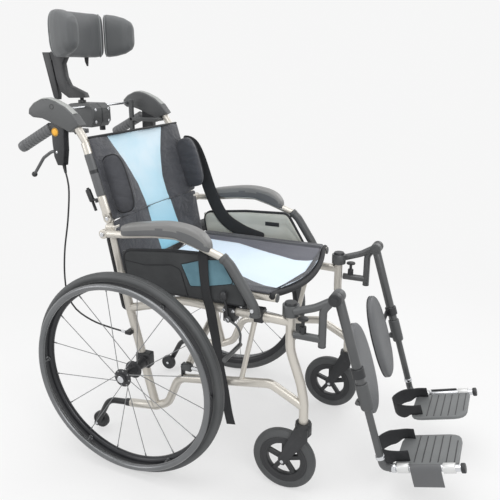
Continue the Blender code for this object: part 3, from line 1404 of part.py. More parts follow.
def back_upper():
    front = CASING_RADIUS + SEAT_GAP + SEAT_SKIN

    def place(where):
        def point(x, height):
            return Vector((x, *along_cane(where, -front - height)))

        return point

    span = BACK_TOP - BACK_BOTTOM
    stations = [(BACK_BOTTOM, 0.003, 0.003), (BACK_BOTTOM + 0.008, 0.0, 0.0)]
    stations += [(BACK_BOTTOM + span * 0.5, 0.0, 0.0)]
    stations += [(BACK_TOP - 0.008, 0.0, 0.0), (BACK_TOP, 0.003, 0.003)]
    pieces = [sling(stations, place, 0.2090, 0.2345, BACK_THICKNESS, BACK_SAG)]
    turn = Matrix.Rotation(-CANE_LEAN, 4, "X")
    for sign in (-1, 1):
        centre = Vector((sign * BOLSTER_X, *along_cane(*BOLSTER_AT)))
        pieces.append(pad(BOLSTER_HALF, centre, turn, 0.7, 12, 8))
    return fused(pieces)


def back_lower():
    front = TUBE_RADIUS + SEAT_GAP + SEAT_SKIN
    route = post_route()

    def place(where):
        def point(x, height):
            return Vector((x, on_route(route, where, 1) - front - height, where))

        return point

    low, high = LOWER_BACK_BOTTOM_Z, LOWER_BACK_TOP_Z
    stations = [(low, 0.002, 0.002), (low + 0.008, 0.0, 0.0)]
    stations += [(high - 0.008, 0.0, 0.0), (high, 0.002, 0.002)]
    return sling(stations, place, 0.2110, 0.2345, 0.014, 0.012)


# Belts and cables


def belt(route, low_x, thickness, half, waves=0.0):
    """Webbing that follows a side-view route, with small folds if asked."""
    points = smooth([Vector((0, y, z)) for y, z in route], 0.030)
    rings = []
    for index, point in enumerate(points):
        way = (points[min(index + 1, len(points) - 1)] - points[max(index - 1, 0)]).normalized()
        normal = Vector((0, -way.z, way.y)) * half
        sway = waves * (1 - math.cos(index * 1.1)) * min(1.0, index / 4)
        twist = 0.5 * waves * math.sin(index * 0.9) * min(1.0, index / 4)
        ring = []
        for side, depth in ((-1, 0), (1, 0), (1, 1), (-1, 1)):
            x = low_x + depth * thickness + sway + abs(twist) + side * twist
            ring.append(Vector((x, point.y, point.z)) + normal * side)
        rings.append(ring)
    return loft(rings)


def cable_curve(sign):
    """The brake cable's outer sleeve as a round curve with closed ends."""
    curve = bpy.data.curves.new("cable", "CURVE")
    curve.dimensions = "3D"
    curve.bevel_depth = CABLE_RADIUS
    curve.bevel_resolution = 1
    curve.use_fill_caps = True
    spline = curve.splines.new("POLY")
    route = smooth([Vector((sign * x, y, z)) for x, y, z in CABLE_ROUTE], CABLE_STEP)
    spline.points.add(len(route) - 1)
    for knot, point in zip(spline.points, route):
        knot.co = (*point, 1)
    return curve


# The whole chair

PAIR_BODIES = [
    ("cross", "frame", lambda: (FRAME_X, 0.0, CROSS_PIVOT_Z)),
    ("sleeve", "frame", lambda: (FRAME_X, POST_Y, SLEEVE_FOOT_Z)),
    ("hanger", "sleeve", lambda: (FRAME_X, POST_Y, POST_TOP_Z)),
    ("leg", "hanger", lambda: (LEG_X, *LEG_PIVOT)),
    ("foot", "leg", lambda: leg_point(LEG_X, LEG_LENGTH)),
    ("plate", "foot", lambda: leg_point(HINGE_ROD_X, HINGE_ROD_ALONG, PLATE_REAR)),
    ("calf", "leg", lambda: leg_point(LEG_X, calf_along())),
    ("back", "frame", lambda: (FRAME_X, HINGE_Y, HINGE_Z)),
    ("lever", "back", lambda: (FRAME_X, *from_cane_top(LEVER_PIVOT))),
    ("button", "back", lambda: (FRAME_X + HOUSING_HALF, *from_cane_top(BUTTON_AT))),
    ("release", "back", lambda: release_point(RELEASE_ALONG + 0.006, 0.0205)),
    ("wheel", "frame", lambda: (TYRE_X, *axle_point())),
    ("fork", "frame", lambda: (FRAME_X, FRONT_FOOT_Y, front_foot_z())),
    ("caster", "fork", lambda: (FRAME_X, *caster_hub())),
    ("tip_tube", "frame", lambda: stub_way()[0]),
    ("tip_wheel", "tip_tube", lambda: (tip_wheel_x(), *TIP_ROUTE[-1])),
    ("arm", "frame", lambda: (ARM_X, *arm_pivot())),
    ("parking", "frame", lambda: (BRAKE_PLATE_INSIDE, *BRAKE_PIVOT)),
]


def make_bodies(chair):
    """The tree of moving bodies, from the right side frame outwards."""
    chair.body("right_frame", None, (0, 0, 0))
    chair.body("left_frame", "right_frame", (FRAME_X, 0, CROSS_PIVOT_Z))
    for name, parent, pivot in PAIR_BODIES:
        x, y, z = pivot()
        if name == "cross":
            chair.body("left_cross", "left_frame", (x, CROSS_YS["left"], z))
            chair.body("right_cross", "right_frame", (-x, CROSS_YS["right"], z))
        else:
            chair.body("left_" + name, "left_" + parent, (x, y, z))
            chair.body("right_" + name, "right_" + parent, (-x, y, z))
    chair.body("stabiliser", "right_back", (-CLIP_X, ROD_Y, ROD_Z))
    chair.body("stem", "stabiliser", (0, STEM_POST_Y, BLOCK_TOP_Z))
    chair.body("headrest", "stem", (0, *TILT_PIN))


def build():
    for leftover in list(bpy.data.objects):
        bpy.data.objects.remove(leftover, do_unlink=True)

    paint = material("frame_paint", (0.52, 0.48, 0.43), 0.32, 0.7)
    dark_paint = material("hanger_paint", (0.11, 0.11, 0.12), 0.30, 0.6)
    steel = material("bright_steel", (0.62, 0.63, 0.65), 0.22, 1.0)
    alloy = material("alloy", (0.55, 0.56, 0.58), 0.30, 1.0)
    grey_rim = material("handrim_grey", (0.34, 0.34, 0.35), 0.38, 0.8)
    plastic = material("black_plastic", (0.022, 0.022, 0.025), 0.42)
    tread = material("tyre_rubber", (0.045, 0.045, 0.05), 0.62)
    soft_rubber = material("pad_rubber", (0.025, 0.025, 0.027), 0.55)
    nylon = material("nylon", (0.030, 0.030, 0.034), 0.85)
    leather = material("leatherette", (0.050, 0.050, 0.055), 0.50)
    webbing = material("webbing", (0.020, 0.020, 0.022), 0.80)
    orange = material("orange_plastic", (0.80, 0.30, 0.02), 0.35)
    sheath = material("cable_sheath", (0.018, 0.018, 0.020), 0.40)
    panel_cloth = material("panel_cloth", (0.045, 0.047, 0.052), 0.80)

    chair = Chair()
    make_bodies(chair)
    chair.add_pair("side_frame", side_frame(), paint, "frame")
    chair.add_pair("side_panel", side_panel(), panel_cloth, "frame")
    chair.add("cross_arm_left", cross_arm("left"), paint, "left_cross")
    chair.add("cross_arm_right", cross_arm("right"), paint, "right_cross")
    chair.add_pair("tyre", tyre(), tread, "wheel")
    chair.add_pair("wheel", wheel(), alloy, "wheel")
    chair.add_pair("handrim", handrim(), grey_rim, "wheel")
    chair.add_pair("caster_fork", caster_fork(), plastic, "fork")
    chair.add_pair("caster_wheel", caster_wheel(), plastic, "caster")
    chair.add_pair("anti_tip_tube", anti_tip_tube(), paint, "tip_tube")
    chair.add_pair("anti_tip_wheel", anti_tip_wheel(), plastic, "tip_wheel")

    chair.add("cane_left", cane("left"), plastic, "left_back")
    chair.add("cane_right", cane("right"), plastic, "right_back")
    chair.add_pair("grip", grip(), soft_rubber, "back")
    chair.add_pair("brake_lever", brake_lever(), steel, "lever")
    chair.add_pair("handle_button", handle_button(), orange, "button")
    chair.add_pair("release_lever", release_lever(), plastic, "release")
    chair.add("back_upper", back_upper(), nylon, "right_back")
    chair.add("back_lower", back_lower(), nylon, "right_frame")
    chair.add("stabiliser_bar", stabiliser_bar(), plastic, "stabiliser")
    chair.add("headrest_stem", headrest_stem(), alloy, "stem")
    chair.add("headrest_pad", headrest_pad(), leather, "headrest")
    chair.add("seat_cushion", seat_cushion(), nylon, "right_frame")

    chair.add_pair("arm_tube", arm_tube(), paint, "arm")
    chair.add_pair("arm_pad", arm_pad(), soft_rubber, "arm")
    chair.add_pair("parking_brake", parking_brake(), steel, "parking")
    chair.add_pair("hanger_sleeve", hanger_sleeve(), plastic, "sleeve")
    chair.add_pair("hanger", hanger(), dark_paint, "hanger")
    chair.add_pair("leg_tube", leg_tube(), dark_paint, "leg")
    chair.add_pair("calf_pad", calf_pad(), leather, "calf")
    chair.add_pair("foot_tube", foot_tube(), steel, "foot")
    chair.add_pair("footplate", footplate(), plastic, "plate")
    chair.add_pair("heel_strap", heel_strap(), webbing, "plate")

    padded = belt(PADDED_BELT, PADDED_BELT_X, PADDED_BELT_THICKNESS, PADDED_BELT_HALF)
    hanging_x = PANEL_INSIDE + PANEL_THICKNESS + 0.0004
    hanging = belt(HANGING_BELT, hanging_x, BELT_THICKNESS, HANGING_BELT_HALF, 0.0015)
    chair.add("belt_left", padded, webbing, "left_frame")
    chair.add("belt_right", mirrored(hanging), webbing, "right_frame")
    chair.add_cable("brake_cable_left", cable_curve(1), sheath, "left_frame")
    chair.add_cable("brake_cable_right", cable_curve(-1), sheath, "right_frame")
    chair.centre()


build()
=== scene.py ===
"""The looks of a folding wheelchair with a headrest and elevating leg rests.

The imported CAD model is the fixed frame. This script gives every surface its finish, puts
full-quality pieces over the plain solids (upholstery, pads, webbing, wheels, cables), and sets
up the studio. Metres, +Z up; the chair faces -Y and its own left side is +X.
"""

from __future__ import annotations

import json
import logging
import math
from collections.abc import Callable, Iterable, Sequence
from dataclasses import dataclass
from enum import Enum

import bmesh
import bpy
from mathutils import Matrix, Vector, noise

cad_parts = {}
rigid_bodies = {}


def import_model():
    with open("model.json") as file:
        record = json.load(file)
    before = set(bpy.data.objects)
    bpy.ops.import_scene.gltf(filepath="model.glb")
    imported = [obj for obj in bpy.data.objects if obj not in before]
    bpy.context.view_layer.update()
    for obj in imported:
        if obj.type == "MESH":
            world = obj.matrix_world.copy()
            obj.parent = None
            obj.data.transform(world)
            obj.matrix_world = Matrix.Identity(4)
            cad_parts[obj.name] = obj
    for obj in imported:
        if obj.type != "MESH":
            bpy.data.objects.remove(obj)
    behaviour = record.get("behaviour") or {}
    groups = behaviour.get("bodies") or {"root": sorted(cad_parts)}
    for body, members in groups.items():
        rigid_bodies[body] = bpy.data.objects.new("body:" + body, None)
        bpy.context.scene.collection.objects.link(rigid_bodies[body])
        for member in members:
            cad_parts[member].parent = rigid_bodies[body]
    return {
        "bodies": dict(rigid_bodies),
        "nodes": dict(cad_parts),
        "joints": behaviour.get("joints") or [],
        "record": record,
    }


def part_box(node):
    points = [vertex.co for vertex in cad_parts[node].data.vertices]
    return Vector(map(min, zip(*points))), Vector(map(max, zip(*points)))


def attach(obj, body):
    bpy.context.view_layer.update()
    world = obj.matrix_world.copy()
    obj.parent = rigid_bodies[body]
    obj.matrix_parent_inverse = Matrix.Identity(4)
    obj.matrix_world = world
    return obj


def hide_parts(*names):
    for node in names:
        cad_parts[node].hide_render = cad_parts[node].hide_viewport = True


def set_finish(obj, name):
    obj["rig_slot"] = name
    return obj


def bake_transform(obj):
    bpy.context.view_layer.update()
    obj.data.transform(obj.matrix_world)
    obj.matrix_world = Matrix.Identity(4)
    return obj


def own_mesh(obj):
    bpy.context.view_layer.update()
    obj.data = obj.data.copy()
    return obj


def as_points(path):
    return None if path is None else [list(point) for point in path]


LOG = logging.getLogger("wheelchair")

Point = tuple[float, float]
Triple = tuple[float, float, float]
Station = tuple[float, float, float, float]
Piece = bpy.types.Object
Tree = bpy.types.NodeTree
Socket = bpy.types.NodeSocket
Inputs = dict[str | int, Socket | float | tuple]

# The rear axle in the side view (y, z) that all side-view sizes below are given in
AXLE: Point = (0.005654, 0.300)
# Where the parking brake's lever turns in the side view
BRAKE_PIVOT: Point = (-0.270, 0.485)
# How far out the main tubes and the leg tubes run, and how far the cloths reach round the posts
TUBE_X, LEG_X, CLOTH_X = 0.226, 0.2145, 0.2345
# How far down the leg's line its tube ends and the footplate's top lies
LEG_LENGTH, PLATE_TOP = 0.305, 0.4825
# How far the round skin of a tube stands over the flats of its solid
SKIN = 0.00015
# How strongly a padded form crowns over its thickness, and how its rim draws in
CROWN, DRAWN_IN = 0.62, 0.42


class Side(Enum):
    """A side of the chair, with the sign of its X."""

    LEFT = 1
    RIGHT = -1

    @property
    def word(self) -> str:
        """The side as it stands in the names of nodes and bodies."""
        return self.name.lower()


class Pattern(Enum):
    """The fine relief of a surface."""

    GRAIN = "grain"
    LEATHER = "leather"
    WEAVE = "weave"
    BRUSHED = "brushed"


# Nodes, and the groups that several finishes share


def feed(tree: Tree, node: bpy.types.Node, inputs: Inputs) -> bpy.types.Node:
    """Gives inputs of a node their socket or value.

    Args:
        tree: The node tree it is in.
        node: The node.
        inputs: A socket or a value for each input that doesn't keep its default.

    Returns:
        The same node.
    """
    for label, value in inputs.items():
        if isinstance(value, Socket):
            tree.links.new(value, node.inputs[label])
        else:
            node.inputs[label].default_value = value
    return node


def add_node(tree: Tree, kind: str, inputs: Inputs, **settings: object) -> bpy.types.Node:
    """Adds a shader node.

    Args:
        tree: The node tree it goes into.
        kind: The node's type, without its prefix.
        inputs: A socket or a value for each input that doesn't keep its default.
        settings: The node's own settings.

    Returns:
        The node.
    """
    node = tree.nodes.new("ShaderNode" + kind)
    for label, value in settings.items():
        setattr(node, label, value)
    return feed(tree, node, inputs)


def math_node(tree: Tree, operation: str, *values: Socket | float) -> Socket:
    """Adds a Math node with a socket or a number for each input, and gives its output."""
    return add_node(tree, "Math", dict(enumerate(values)), operation=operation).outputs[0]


def group_node(tree: Tree, group: Tree, output: str, inputs: Inputs) -> Socket:
    """Adds a node of a shared group, and gives the output of that name."""
    return add_node(tree, "Group", inputs, node_tree=group).outputs[output]


def new_group(name: str, inputs: dict[str, float], output: str) -> Tree:
    """Makes an empty shader node group with number inputs and one number output.

    Args:
        name: The group's name.
        inputs: Each input's name and default.
        output: The output's name.

    Returns:
        The group, with the nodes in, out and place.
    """
    tree = bpy.data.node_groups.new(name, "ShaderNodeTree")
    for label, value in inputs.items():
        socket = tree.interface.new_socket(label, in_out="INPUT", socket_type="NodeSocketFloat")
        socket.default_value = value
    tree.interface.new_socket(output, in_out="OUTPUT", socket_type="NodeSocketFloat")
    for label, kind in (
        ("in", "NodeGroupInput"), ("out", "NodeGroupOutput"), ("place", "ShaderNodeTexCoord")
    ):
        tree.nodes.new(kind).name = label
    return tree


def relief_group(pattern: Pattern) -> Tree:
    """Builds the shared group of one fine relief, once.

    Args:
        pattern: Which relief.

    Returns:
        A group with the input Scale and the output Height, from 0 to 1.
    """
    name = "relief_" + pattern.value
    if name in bpy.data.node_groups:
        return bpy.data.node_groups[name]
    tree = new_group(name, {"Scale": 500.0}, "Height")
    place, scale = tree.nodes["place"].outputs["Object"], tree.nodes["in"].outputs["Scale"]
    if pattern is Pattern.WEAVE:
        base = {"Distortion": 0.4, "Vector": place, "Scale": scale}
        waves = [add_node(tree, "TexWave", base, bands_direction=way).outputs["Fac"] for way in "XYZ"]
        total = math_node(tree, "ADD", math_node(tree, "MULTIPLY", waves[0], waves[2]), waves[1])
        height = math_node(tree, "MULTIPLY", total, 0.5)
    elif pattern is Pattern.LEATHER:
        cells = add_node(tree, "TexVoronoi", {"Vector": place, "Scale": scale}, feature="DISTANCE_TO_EDGE")
        height = math_node(tree, "MINIMUM", math_node(tree, "MULTIPLY", cells.outputs["Distance"], 4.0), 1.0)
    else:
        squeeze = (1.0, 0.08 if pattern is Pattern.BRUSHED else 1.0, 1.0)
        stretched = add_node(tree, "Mapping", {"Vector": place, "Scale": squeeze}).outputs["Vector"]
        height = add_node(
            tree, "TexNoise", {"Detail": 3.0, "Vector": stretched, "Scale": scale}
        ).outputs["Fac"]
    feed(tree, tree.nodes["out"], {"Height": height})
    return tree


def wear_group() -> Tree:
    """Builds the shared group of soft smudges and scuffs, once.

    Returns:
        A group with the inputs Scale and Amount and the output Mask, mostly 0.
    """
    if "wear" in bpy.data.node_groups:
        return bpy.data.node_groups["wear"]
    tree = new_group("wear", {"Scale": 9.0, "Amount": 0.3}, "Mask")
    place, start = tree.nodes["place"].outputs["Object"], tree.nodes["in"].outputs
    cloud = add_node(tree, "TexNoise", {"Detail": 5.0, "Vector": place, "Scale": start["Scale"]})
    spread = math_node(tree, "MULTIPLY", math_node(tree, "SUBTRACT", cloud.outputs["Fac"], 0.42), 4.0)
    kept = math_node(tree, "MAXIMUM", math_node(tree, "MINIMUM", spread, 1.0), 0.0)
    feed(tree, tree.nodes["out"], {"Mask": math_node(tree, "MULTIPLY", kept, start["Amount"])})
    return tree


def fold_group() -> Tree:
    """Builds the shared group of the long soft folds of cloth, once.

    Returns:
        A group with the input Scale and the output Height, from 0 to 1.
    """
    if "folds" in bpy.data.node_groups:
        return bpy.data.node_groups["folds"]
    tree = new_group("folds", {"Scale": 10.0}, "Height")
    place, scale = tree.nodes["place"].outputs["Object"], tree.nodes["in"].outputs["Scale"]
    leaning = {"Vector": place, "Rotation": (0.5, 0.3, 0.6), "Scale": (1.0, 0.45, 1.6)}
    stretched = add_node(tree, "Mapping", leaning).outputs["Vector"]
    folds = {"Detail": 2.0, "Distortion": 0.8, "Vector": stretched, "Scale": scale}
    feed(tree, tree.nodes["out"], {"Height": add_node(tree, "TexNoise", folds).outputs["Fac"]})
    return tree


# Finishes


@dataclass(frozen=True)
class Finish:
    """One surface: its colour, gloss and relief.

    The worn colour shows through where the wear group says. A finish with a far colour runs
    from the first colour to the far one between two heights.
    """

    name: str
    slot: str
    colour: Triple
    worn: Triple
    roughness: float
    metallic: float = 0.0
    pattern: Pattern = Pattern.GRAIN
    scale: float = 500.0
    depth: float = 0.0002
    wear: float = 0.3
    wear_scale: float = 9.0
    folds: float = 0.0
    fold_scale: float = 10.0
    sheen: float = 0.0
    coat: float = 0.0
    far_colour: Triple | None = None
    far_from: float = 0.0
    far_to: float = 1.0

    def material(self) -> bpy.types.Material:
        """Builds the material the first time, and returns it."""
        if self.name in bpy.data.materials:
            return bpy.data.materials[self.name]
        surface = bpy.data.materials.new(self.name)
        surface.use_nodes = True
        tree = surface.node_tree
        mask = group_node(tree, wear_group(), "Mask", {"Scale": self.wear_scale, "Amount": self.wear})
        colours = {0: mask, 6: self.base_colour(tree), 7: (*self.worn, 1)}
        height = group_node(tree, relief_group(self.pattern), "Height", {"Scale": self.scale})
        bump = add_node(tree, "Bump", {"Strength": 0.6, "Distance": self.depth, "Height": height})
        if self.folds > 0:
            height = group_node(tree, fold_group(), "Height", {"Scale": self.fold_scale})
            soft = add_node(tree, "Bump", {"Strength": 0.7, "Distance": self.folds, "Height": height})
            feed(tree, bump, {"Normal": soft.outputs["Normal"]})
        feed(tree, tree.nodes["Principled BSDF"], {
            "Base Color": add_node(tree, "Mix", colours, data_type="RGBA").outputs[2],
            "Roughness": math_node(tree, "MULTIPLY_ADD", mask, 0.18, self.roughness),
            "Normal": bump.outputs["Normal"], "Metallic": self.metallic, "Sheen Weight": self.sheen,
            "Coat Weight": self.coat, "Coat Roughness": 0.25,
        })
        return surface

    def base_colour(self, tree: Tree) -> Socket | tuple:
        """The finish's colour before wear.

        Args:
            tree: The material's node tree.

        Returns:
            The plain colour, or the socket of the running one where there is a far colour.
        """
        first = (*self.colour, 1)
        if self.far_colour is None:
            return first
        place = add_node(tree, "TexCoord", {})
        parts = add_node(tree, "SeparateXYZ", {0: place.outputs["Object"]})
        heights = {"From Min": self.far_from, "From Max": self.far_to, "Value": parts.outputs["Z"]}
        share = add_node(tree, "MapRange", heights).outputs["Result"]
        return add_node(
            tree, "Mix", {0: share, 6: first, 7: (*self.far_colour, 1)}, data_type="RGBA"
        ).outputs[2]


@dataclass(frozen=True)
class Cloth(Finish):
    """A woven surface."""

    pattern: Pattern = Pattern.WEAVE
    scale: float = 420.0
    depth: float = 0.0002


def grey(level: float) -> tuple:
    """An opaque grey of this level."""
    return (level, level, level, 1)


PAINT = Finish(
    "champagne_paint", "frame_paint", (0.60, 0.570, 0.515), (0.66, 0.635, 0.590), 0.32, 0.50, scale=900.0,
    depth=0.00005, coat=0.3,
)
DARK_PAINT = Finish(
    "graphite_paint", "dark_paint", (0.085, 0.088, 0.090), (0.14, 0.14, 0.145), 0.36, 0.35, scale=900.0,
    depth=0.00005, coat=0.25,
)
STEEL = Finish(
    "bright_steel", "steel", (0.66, 0.67, 0.69), (0.52, 0.53, 0.55), 0.20, 1.0, Pattern.BRUSHED, 300.0,
    0.00003,
)
ALLOY = Finish(
    "alloy", "alloy", (0.16, 0.165, 0.17), (0.22, 0.22, 0.23), 0.38, 0.6, scale=700.0, depth=0.00006
)
PLATE = Finish(
    "footplate_plastic", "plastic", (0.165, 0.172, 0.174), (0.22, 0.228, 0.23), 0.46, scale=700.0,
    depth=0.00016,
)
PALE_METAL = Finish(
    "pale_casting", "alloy", (0.66, 0.665, 0.66), (0.74, 0.745, 0.74), 0.34, 0.35, scale=900.0, depth=0.00004
)
SPOKE = Finish(
    "spoke_steel", "steel", (0.24, 0.245, 0.25), (0.30, 0.305, 0.31), 0.34, 0.7, scale=900.0, depth=0.00002
)
HANDRIM = Finish(
    "handrim_coat", "handrim", (0.15, 0.155, 0.16), (0.26, 0.26, 0.27), 0.30, 0.75, Pattern.BRUSHED, 260.0,
    0.00004, coat=0.3,
)
RIM_BLACK = Finish(
    "black_rim", "alloy", (0.022, 0.023, 0.026), (0.05, 0.05, 0.055), 0.30, 0.3, scale=500.0, depth=0.00005
)
PLASTIC = Finish(
    "moulded_plastic", "plastic", (0.075, 0.078, 0.080), (0.115, 0.118, 0.12), 0.46, scale=1400.0,
    depth=0.00012,
)
BLACK_PLASTIC = Finish(
    "black_plastic", "plastic", (0.020, 0.021, 0.023), (0.045, 0.046, 0.05), 0.42, scale=1400.0, depth=0.00012
)
RUBBER = Finish(
    "tyre_rubber", "tyre", (0.060, 0.063, 0.065), (0.105, 0.108, 0.11), 0.50, scale=420.0, depth=0.0003,
    wear=0.5,
)
PAD_RUBBER = Finish(
    "pad_rubber", "soft_rubber", (0.105, 0.108, 0.112), (0.15, 0.152, 0.158), 0.40, scale=1100.0,
    depth=0.00018,
)
# A lighter grey for the tops of the arm pads: painted sheen where the top light falls.
ARM_PAD_LIT_TOP = Finish(
    "arm_pad_skin", "soft_rubber", (0.19, 0.19, 0.187), (0.25, 0.25, 0.245), 0.38, scale=1100.0, depth=0.00018
)
# Light grey for the strip along the top of the handle cover: a painted highlight.
HIGHLIGHT_STRIP = Finish(
    "light_edge", "plastic", (0.34, 0.35, 0.34), (0.42, 0.43, 0.42), 0.45, scale=1400.0, depth=0.0001
)
NYLON = Cloth(
    "charcoal_nylon", "nylon", (0.036, 0.038, 0.046), (0.060, 0.063, 0.074), 0.62, depth=0.00025, wear=0.8,
    wear_scale=14.0, folds=0.011, fold_scale=17.0, sheen=0.25,
)
BORDER = Cloth(
    "grey_border", "nylon", (0.090, 0.092, 0.115), (0.125, 0.128, 0.15), 0.62, wear=0.7, folds=0.001,
    sheen=0.2,
)
BINDING = Cloth("black_binding", "webbing", (0.012, 0.013, 0.015), (0.025, 0.026, 0.03), 0.70, scale=500.0)
INSERT = Cloth(
    "blue_mesh", "nylon", (0.31, 0.66, 0.83), (0.36, 0.70, 0.86), 0.60, scale=380.0, wear=0.35, sheen=0.15,
    far_colour=(0.70, 0.85, 0.94), far_from=0.58, far_to=0.86,
)
SEAT_INSERT = Cloth(
    "pale_mesh", "nylon", (0.72, 0.84, 0.96), (0.78, 0.87, 0.97), 0.60, scale=380.0, wear=0.35, sheen=0.15
)
LEATHER = Finish(
    "leatherette", "leather", (0.082, 0.087, 0.090), (0.115, 0.120, 0.125), 0.36, pattern=Pattern.LEATHER,
    scale=620.0, depth=0.00035, wear=0.5, sheen=0.05,
)
DARK_LEATHER = Finish(
    "dark_leatherette", "leather", (0.128, 0.132, 0.138), (0.17, 0.175, 0.180), 0.38, pattern=Pattern.LEATHER,
    scale=620.0, depth=0.00035, wear=0.5,
)
# The grey of the headrest's piping cords, lighter than the leather: partly the cords' own colour, partly a
# painted highlight along the pad edges.
PIPING_AND_HIGHLIGHT = Cloth(
    "grey_piping", "leather", (0.23, 0.24, 0.245), (0.30, 0.31, 0.315), 0.45, scale=700.0, depth=0.00015
)
WEBBING = Cloth(
    "black_webbing", "webbing", (0.016, 0.017, 0.019), (0.032, 0.033, 0.036), 0.72, scale=600.0, depth=0.0004
)
ORANGE = Finish(
    "orange_button", "orange", (0.86, 0.42, 0.03), (0.92, 0.50, 0.06), 0.38, scale=900.0, depth=0.0001,
    wear=0.4,
)
OCHRE = Finish(
    "orange_ring", "orange", (0.42, 0.24, 0.04), (0.50, 0.30, 0.06), 0.45, scale=900.0, depth=0.0001
)
SHEATH = Finish(
    "cable_sheath", "plastic", (0.016, 0.017, 0.018), (0.035, 0.036, 0.038), 0.40, scale=900.0, depth=0.00008
)
PANEL_CLOTH = Cloth(
    "panel_cloth", "nylon", (0.030, 0.032, 0.034), (0.055, 0.058, 0.060), 0.66, depth=0.0003, wear=0.8,
    wear_scale=12.0, folds=0.003, fold_scale=12.0,
)
PANEL_LINING = Cloth(
    "panel_lining", "nylon", (0.50, 0.51, 0.46), (0.60, 0.61, 0.57), 0.62, wear=0.6, folds=0.0015,
    fold_scale=9.0,
)
TEAL = Cloth(
    "teal_cloth", "nylon", (0.095, 0.20, 0.25), (0.15, 0.29, 0.35), 0.62, wear=0.9, wear_scale=18.0,
    folds=0.002,
)

# The frame, and modelling by hand


def fresh_frame() -> dict:
    """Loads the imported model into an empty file.
    """
    for leftover in list(bpy.data.objects):
        bpy.data.objects.remove(leftover, do_unlink=True)
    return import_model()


frame = fresh_frame()
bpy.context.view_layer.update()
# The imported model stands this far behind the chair's own side view
SHIFT = sum(corner.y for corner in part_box("tyre_left")) / 2 - AXLE[0]

X_AXIS, Y_AXIS, Z_AXIS = Vector((1, 0, 0)), Vector((0, 1, 0)), Vector((0, 0, 1))


def at(x: float, y: float, z: float) -> Vector:
    """A point of the chair's own frame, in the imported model's frame."""
    return Vector((x, y + SHIFT, z))


def at_x(x: float, points: Iterable[Point]) -> list[Vector]:
    """Side-view points as points in space at this x."""
    return [at(x, y, z) for y, z in points]


def deselect() -> None:
    """Leaves edit mode and deselects everything."""
    if bpy.context.object is not None and bpy.context.object.mode != "OBJECT":
        bpy.ops.object.mode_set(mode="OBJECT")
    bpy.ops.object.select_all(action="DESELECT")


def activate(piece: Piece) -> None:
    """Makes a piece the active one and the only one selected."""
    deselect()
    piece.select_set(True)
    bpy.context.view_layer.objects.active = piece


def linked(name: str, data: bpy.types.ID) -> Piece:
    """Puts a new object with this data into the scene."""
    piece = bpy.data.objects.new(name, data)
    bpy.context.scene.collection.objects.link(piece)
    return piece


def own_copy(piece: Piece) -> Piece:
    """Puts a copy of a piece, with its own mesh, into the scene."""
    copy = piece.copy()
    copy.data = piece.data.copy()
    bpy.context.scene.collection.objects.link(copy)
    return copy


def about(centre: Vector, turn: Matrix) -> Matrix:
    """A turn or a scaling about this point."""
    return Matrix.Translation(centre) @ turn @ Matrix.Translation(-centre)


def length_of(points: Sequence[Vector]) -> float:
    """The length of a line through these points."""
    return sum((end - start).length for start, end in zip(points, points[1:]))


def heading(points: Sequence[Vector], index: int) -> Vector:
    """The direction of a line at one of its points."""
    return (points[min(index + 1, len(points) - 1)] - points[max(index - 1, 0)]).normalized()


def steps(low: float, high: float, count: int) -> list[float]:
    """Numbers from low to high in equal steps."""
    return [low + (high - low) * index / count for index in range(count + 1)]


def signed_power(value: float, power: float) -> float:
    """A number's size to this power, with its sign."""
    return math.copysign(abs(value) ** power, value)


def both_ways(side: Sequence[Point]) -> list[Point]:
    """A section to be turned that is the same on both sides of its middle plane."""
    return [*side, *((radius, -along) for radius, along in reversed(side))]


def started(name: str, edit: bool = True) -> Piece:
    """Names the primitive just added, puts its place in its mesh and opens it for editing.

    Args:
        name: The new piece's name.
        edit: Whether to end in edit mode with all of it selected.

    Returns:
        The new piece.
    """
    piece = bpy.context.active_object
    piece.name = piece.data.name = name
    bpy.ops.object.transform_apply(location=True, rotation=True, scale=True)
    if edit:
        bpy.ops.object.mode_set(mode="EDIT")
        bpy.ops.mesh.select_all(action="SELECT")
    return piece


def choose(piece: Piece, test: Callable[[Vector, Vector], bool], edges: bool = False) -> None:
    """Selects a piece's faces or edges by place, in edit mode.

    Args:
        piece: The piece being edited.
        test: Takes the middle and the normal (an edge's direction) and says whether it is wanted.
        edges: Whether edges are chosen instead of faces.
    """
    bpy.ops.mesh.select_all(action="DESELECT")
    builder = bmesh.from_edit_mesh(piece.data)
    if edges:
        builder.select_mode = {"EDGE"}
        for edge in builder.edges:
            start, end = (knot.co for knot in edge.verts)
            edge.select_set(test((start + end) / 2, (end - start).normalized()))
    else:
        builder.select_mode = {"FACE"}
        for face in builder.faces:
            face.select_set(test(face.calc_center_median(), face.normal))
    builder.select_flush_mode()
    bmesh.update_edit_mesh(piece.data)


def apply_all(piece: Piece) -> None:
    """Applies a piece's modifiers in their order."""
    activate(piece)
    for name in [modifier.name for modifier in piece.modifiers]:
        bpy.ops.object.modifier_apply(modifier=name)


def softened(piece: Piece) -> Piece:
    """Subdivides a piece once, which rounds it, and gives it back."""
    rounding = piece.modifiers.new("rounding", "SUBSURF")
    rounding.levels = rounding.render_levels = 1
    apply_all(piece)
    return piece


def bevelled(piece: Piece, width: float, segments: int = 2, angle: float = 30.0) -> Piece:
    """Rounds a piece's sharp edges.

    Args:
        piece: The piece.
        width: The bevel's width in metres.
        segments: Its number of segments.
        angle: The least angle in degrees between two faces that counts as sharp.

    Returns:
        The same piece.
    """
    rounding = piece.modifiers.new("rounding", "BEVEL")
    rounding.width, rounding.segments = width, segments
    rounding.limit_method, rounding.angle_limit = "ANGLE", math.radians(angle)
    apply_all(piece)
    return piece


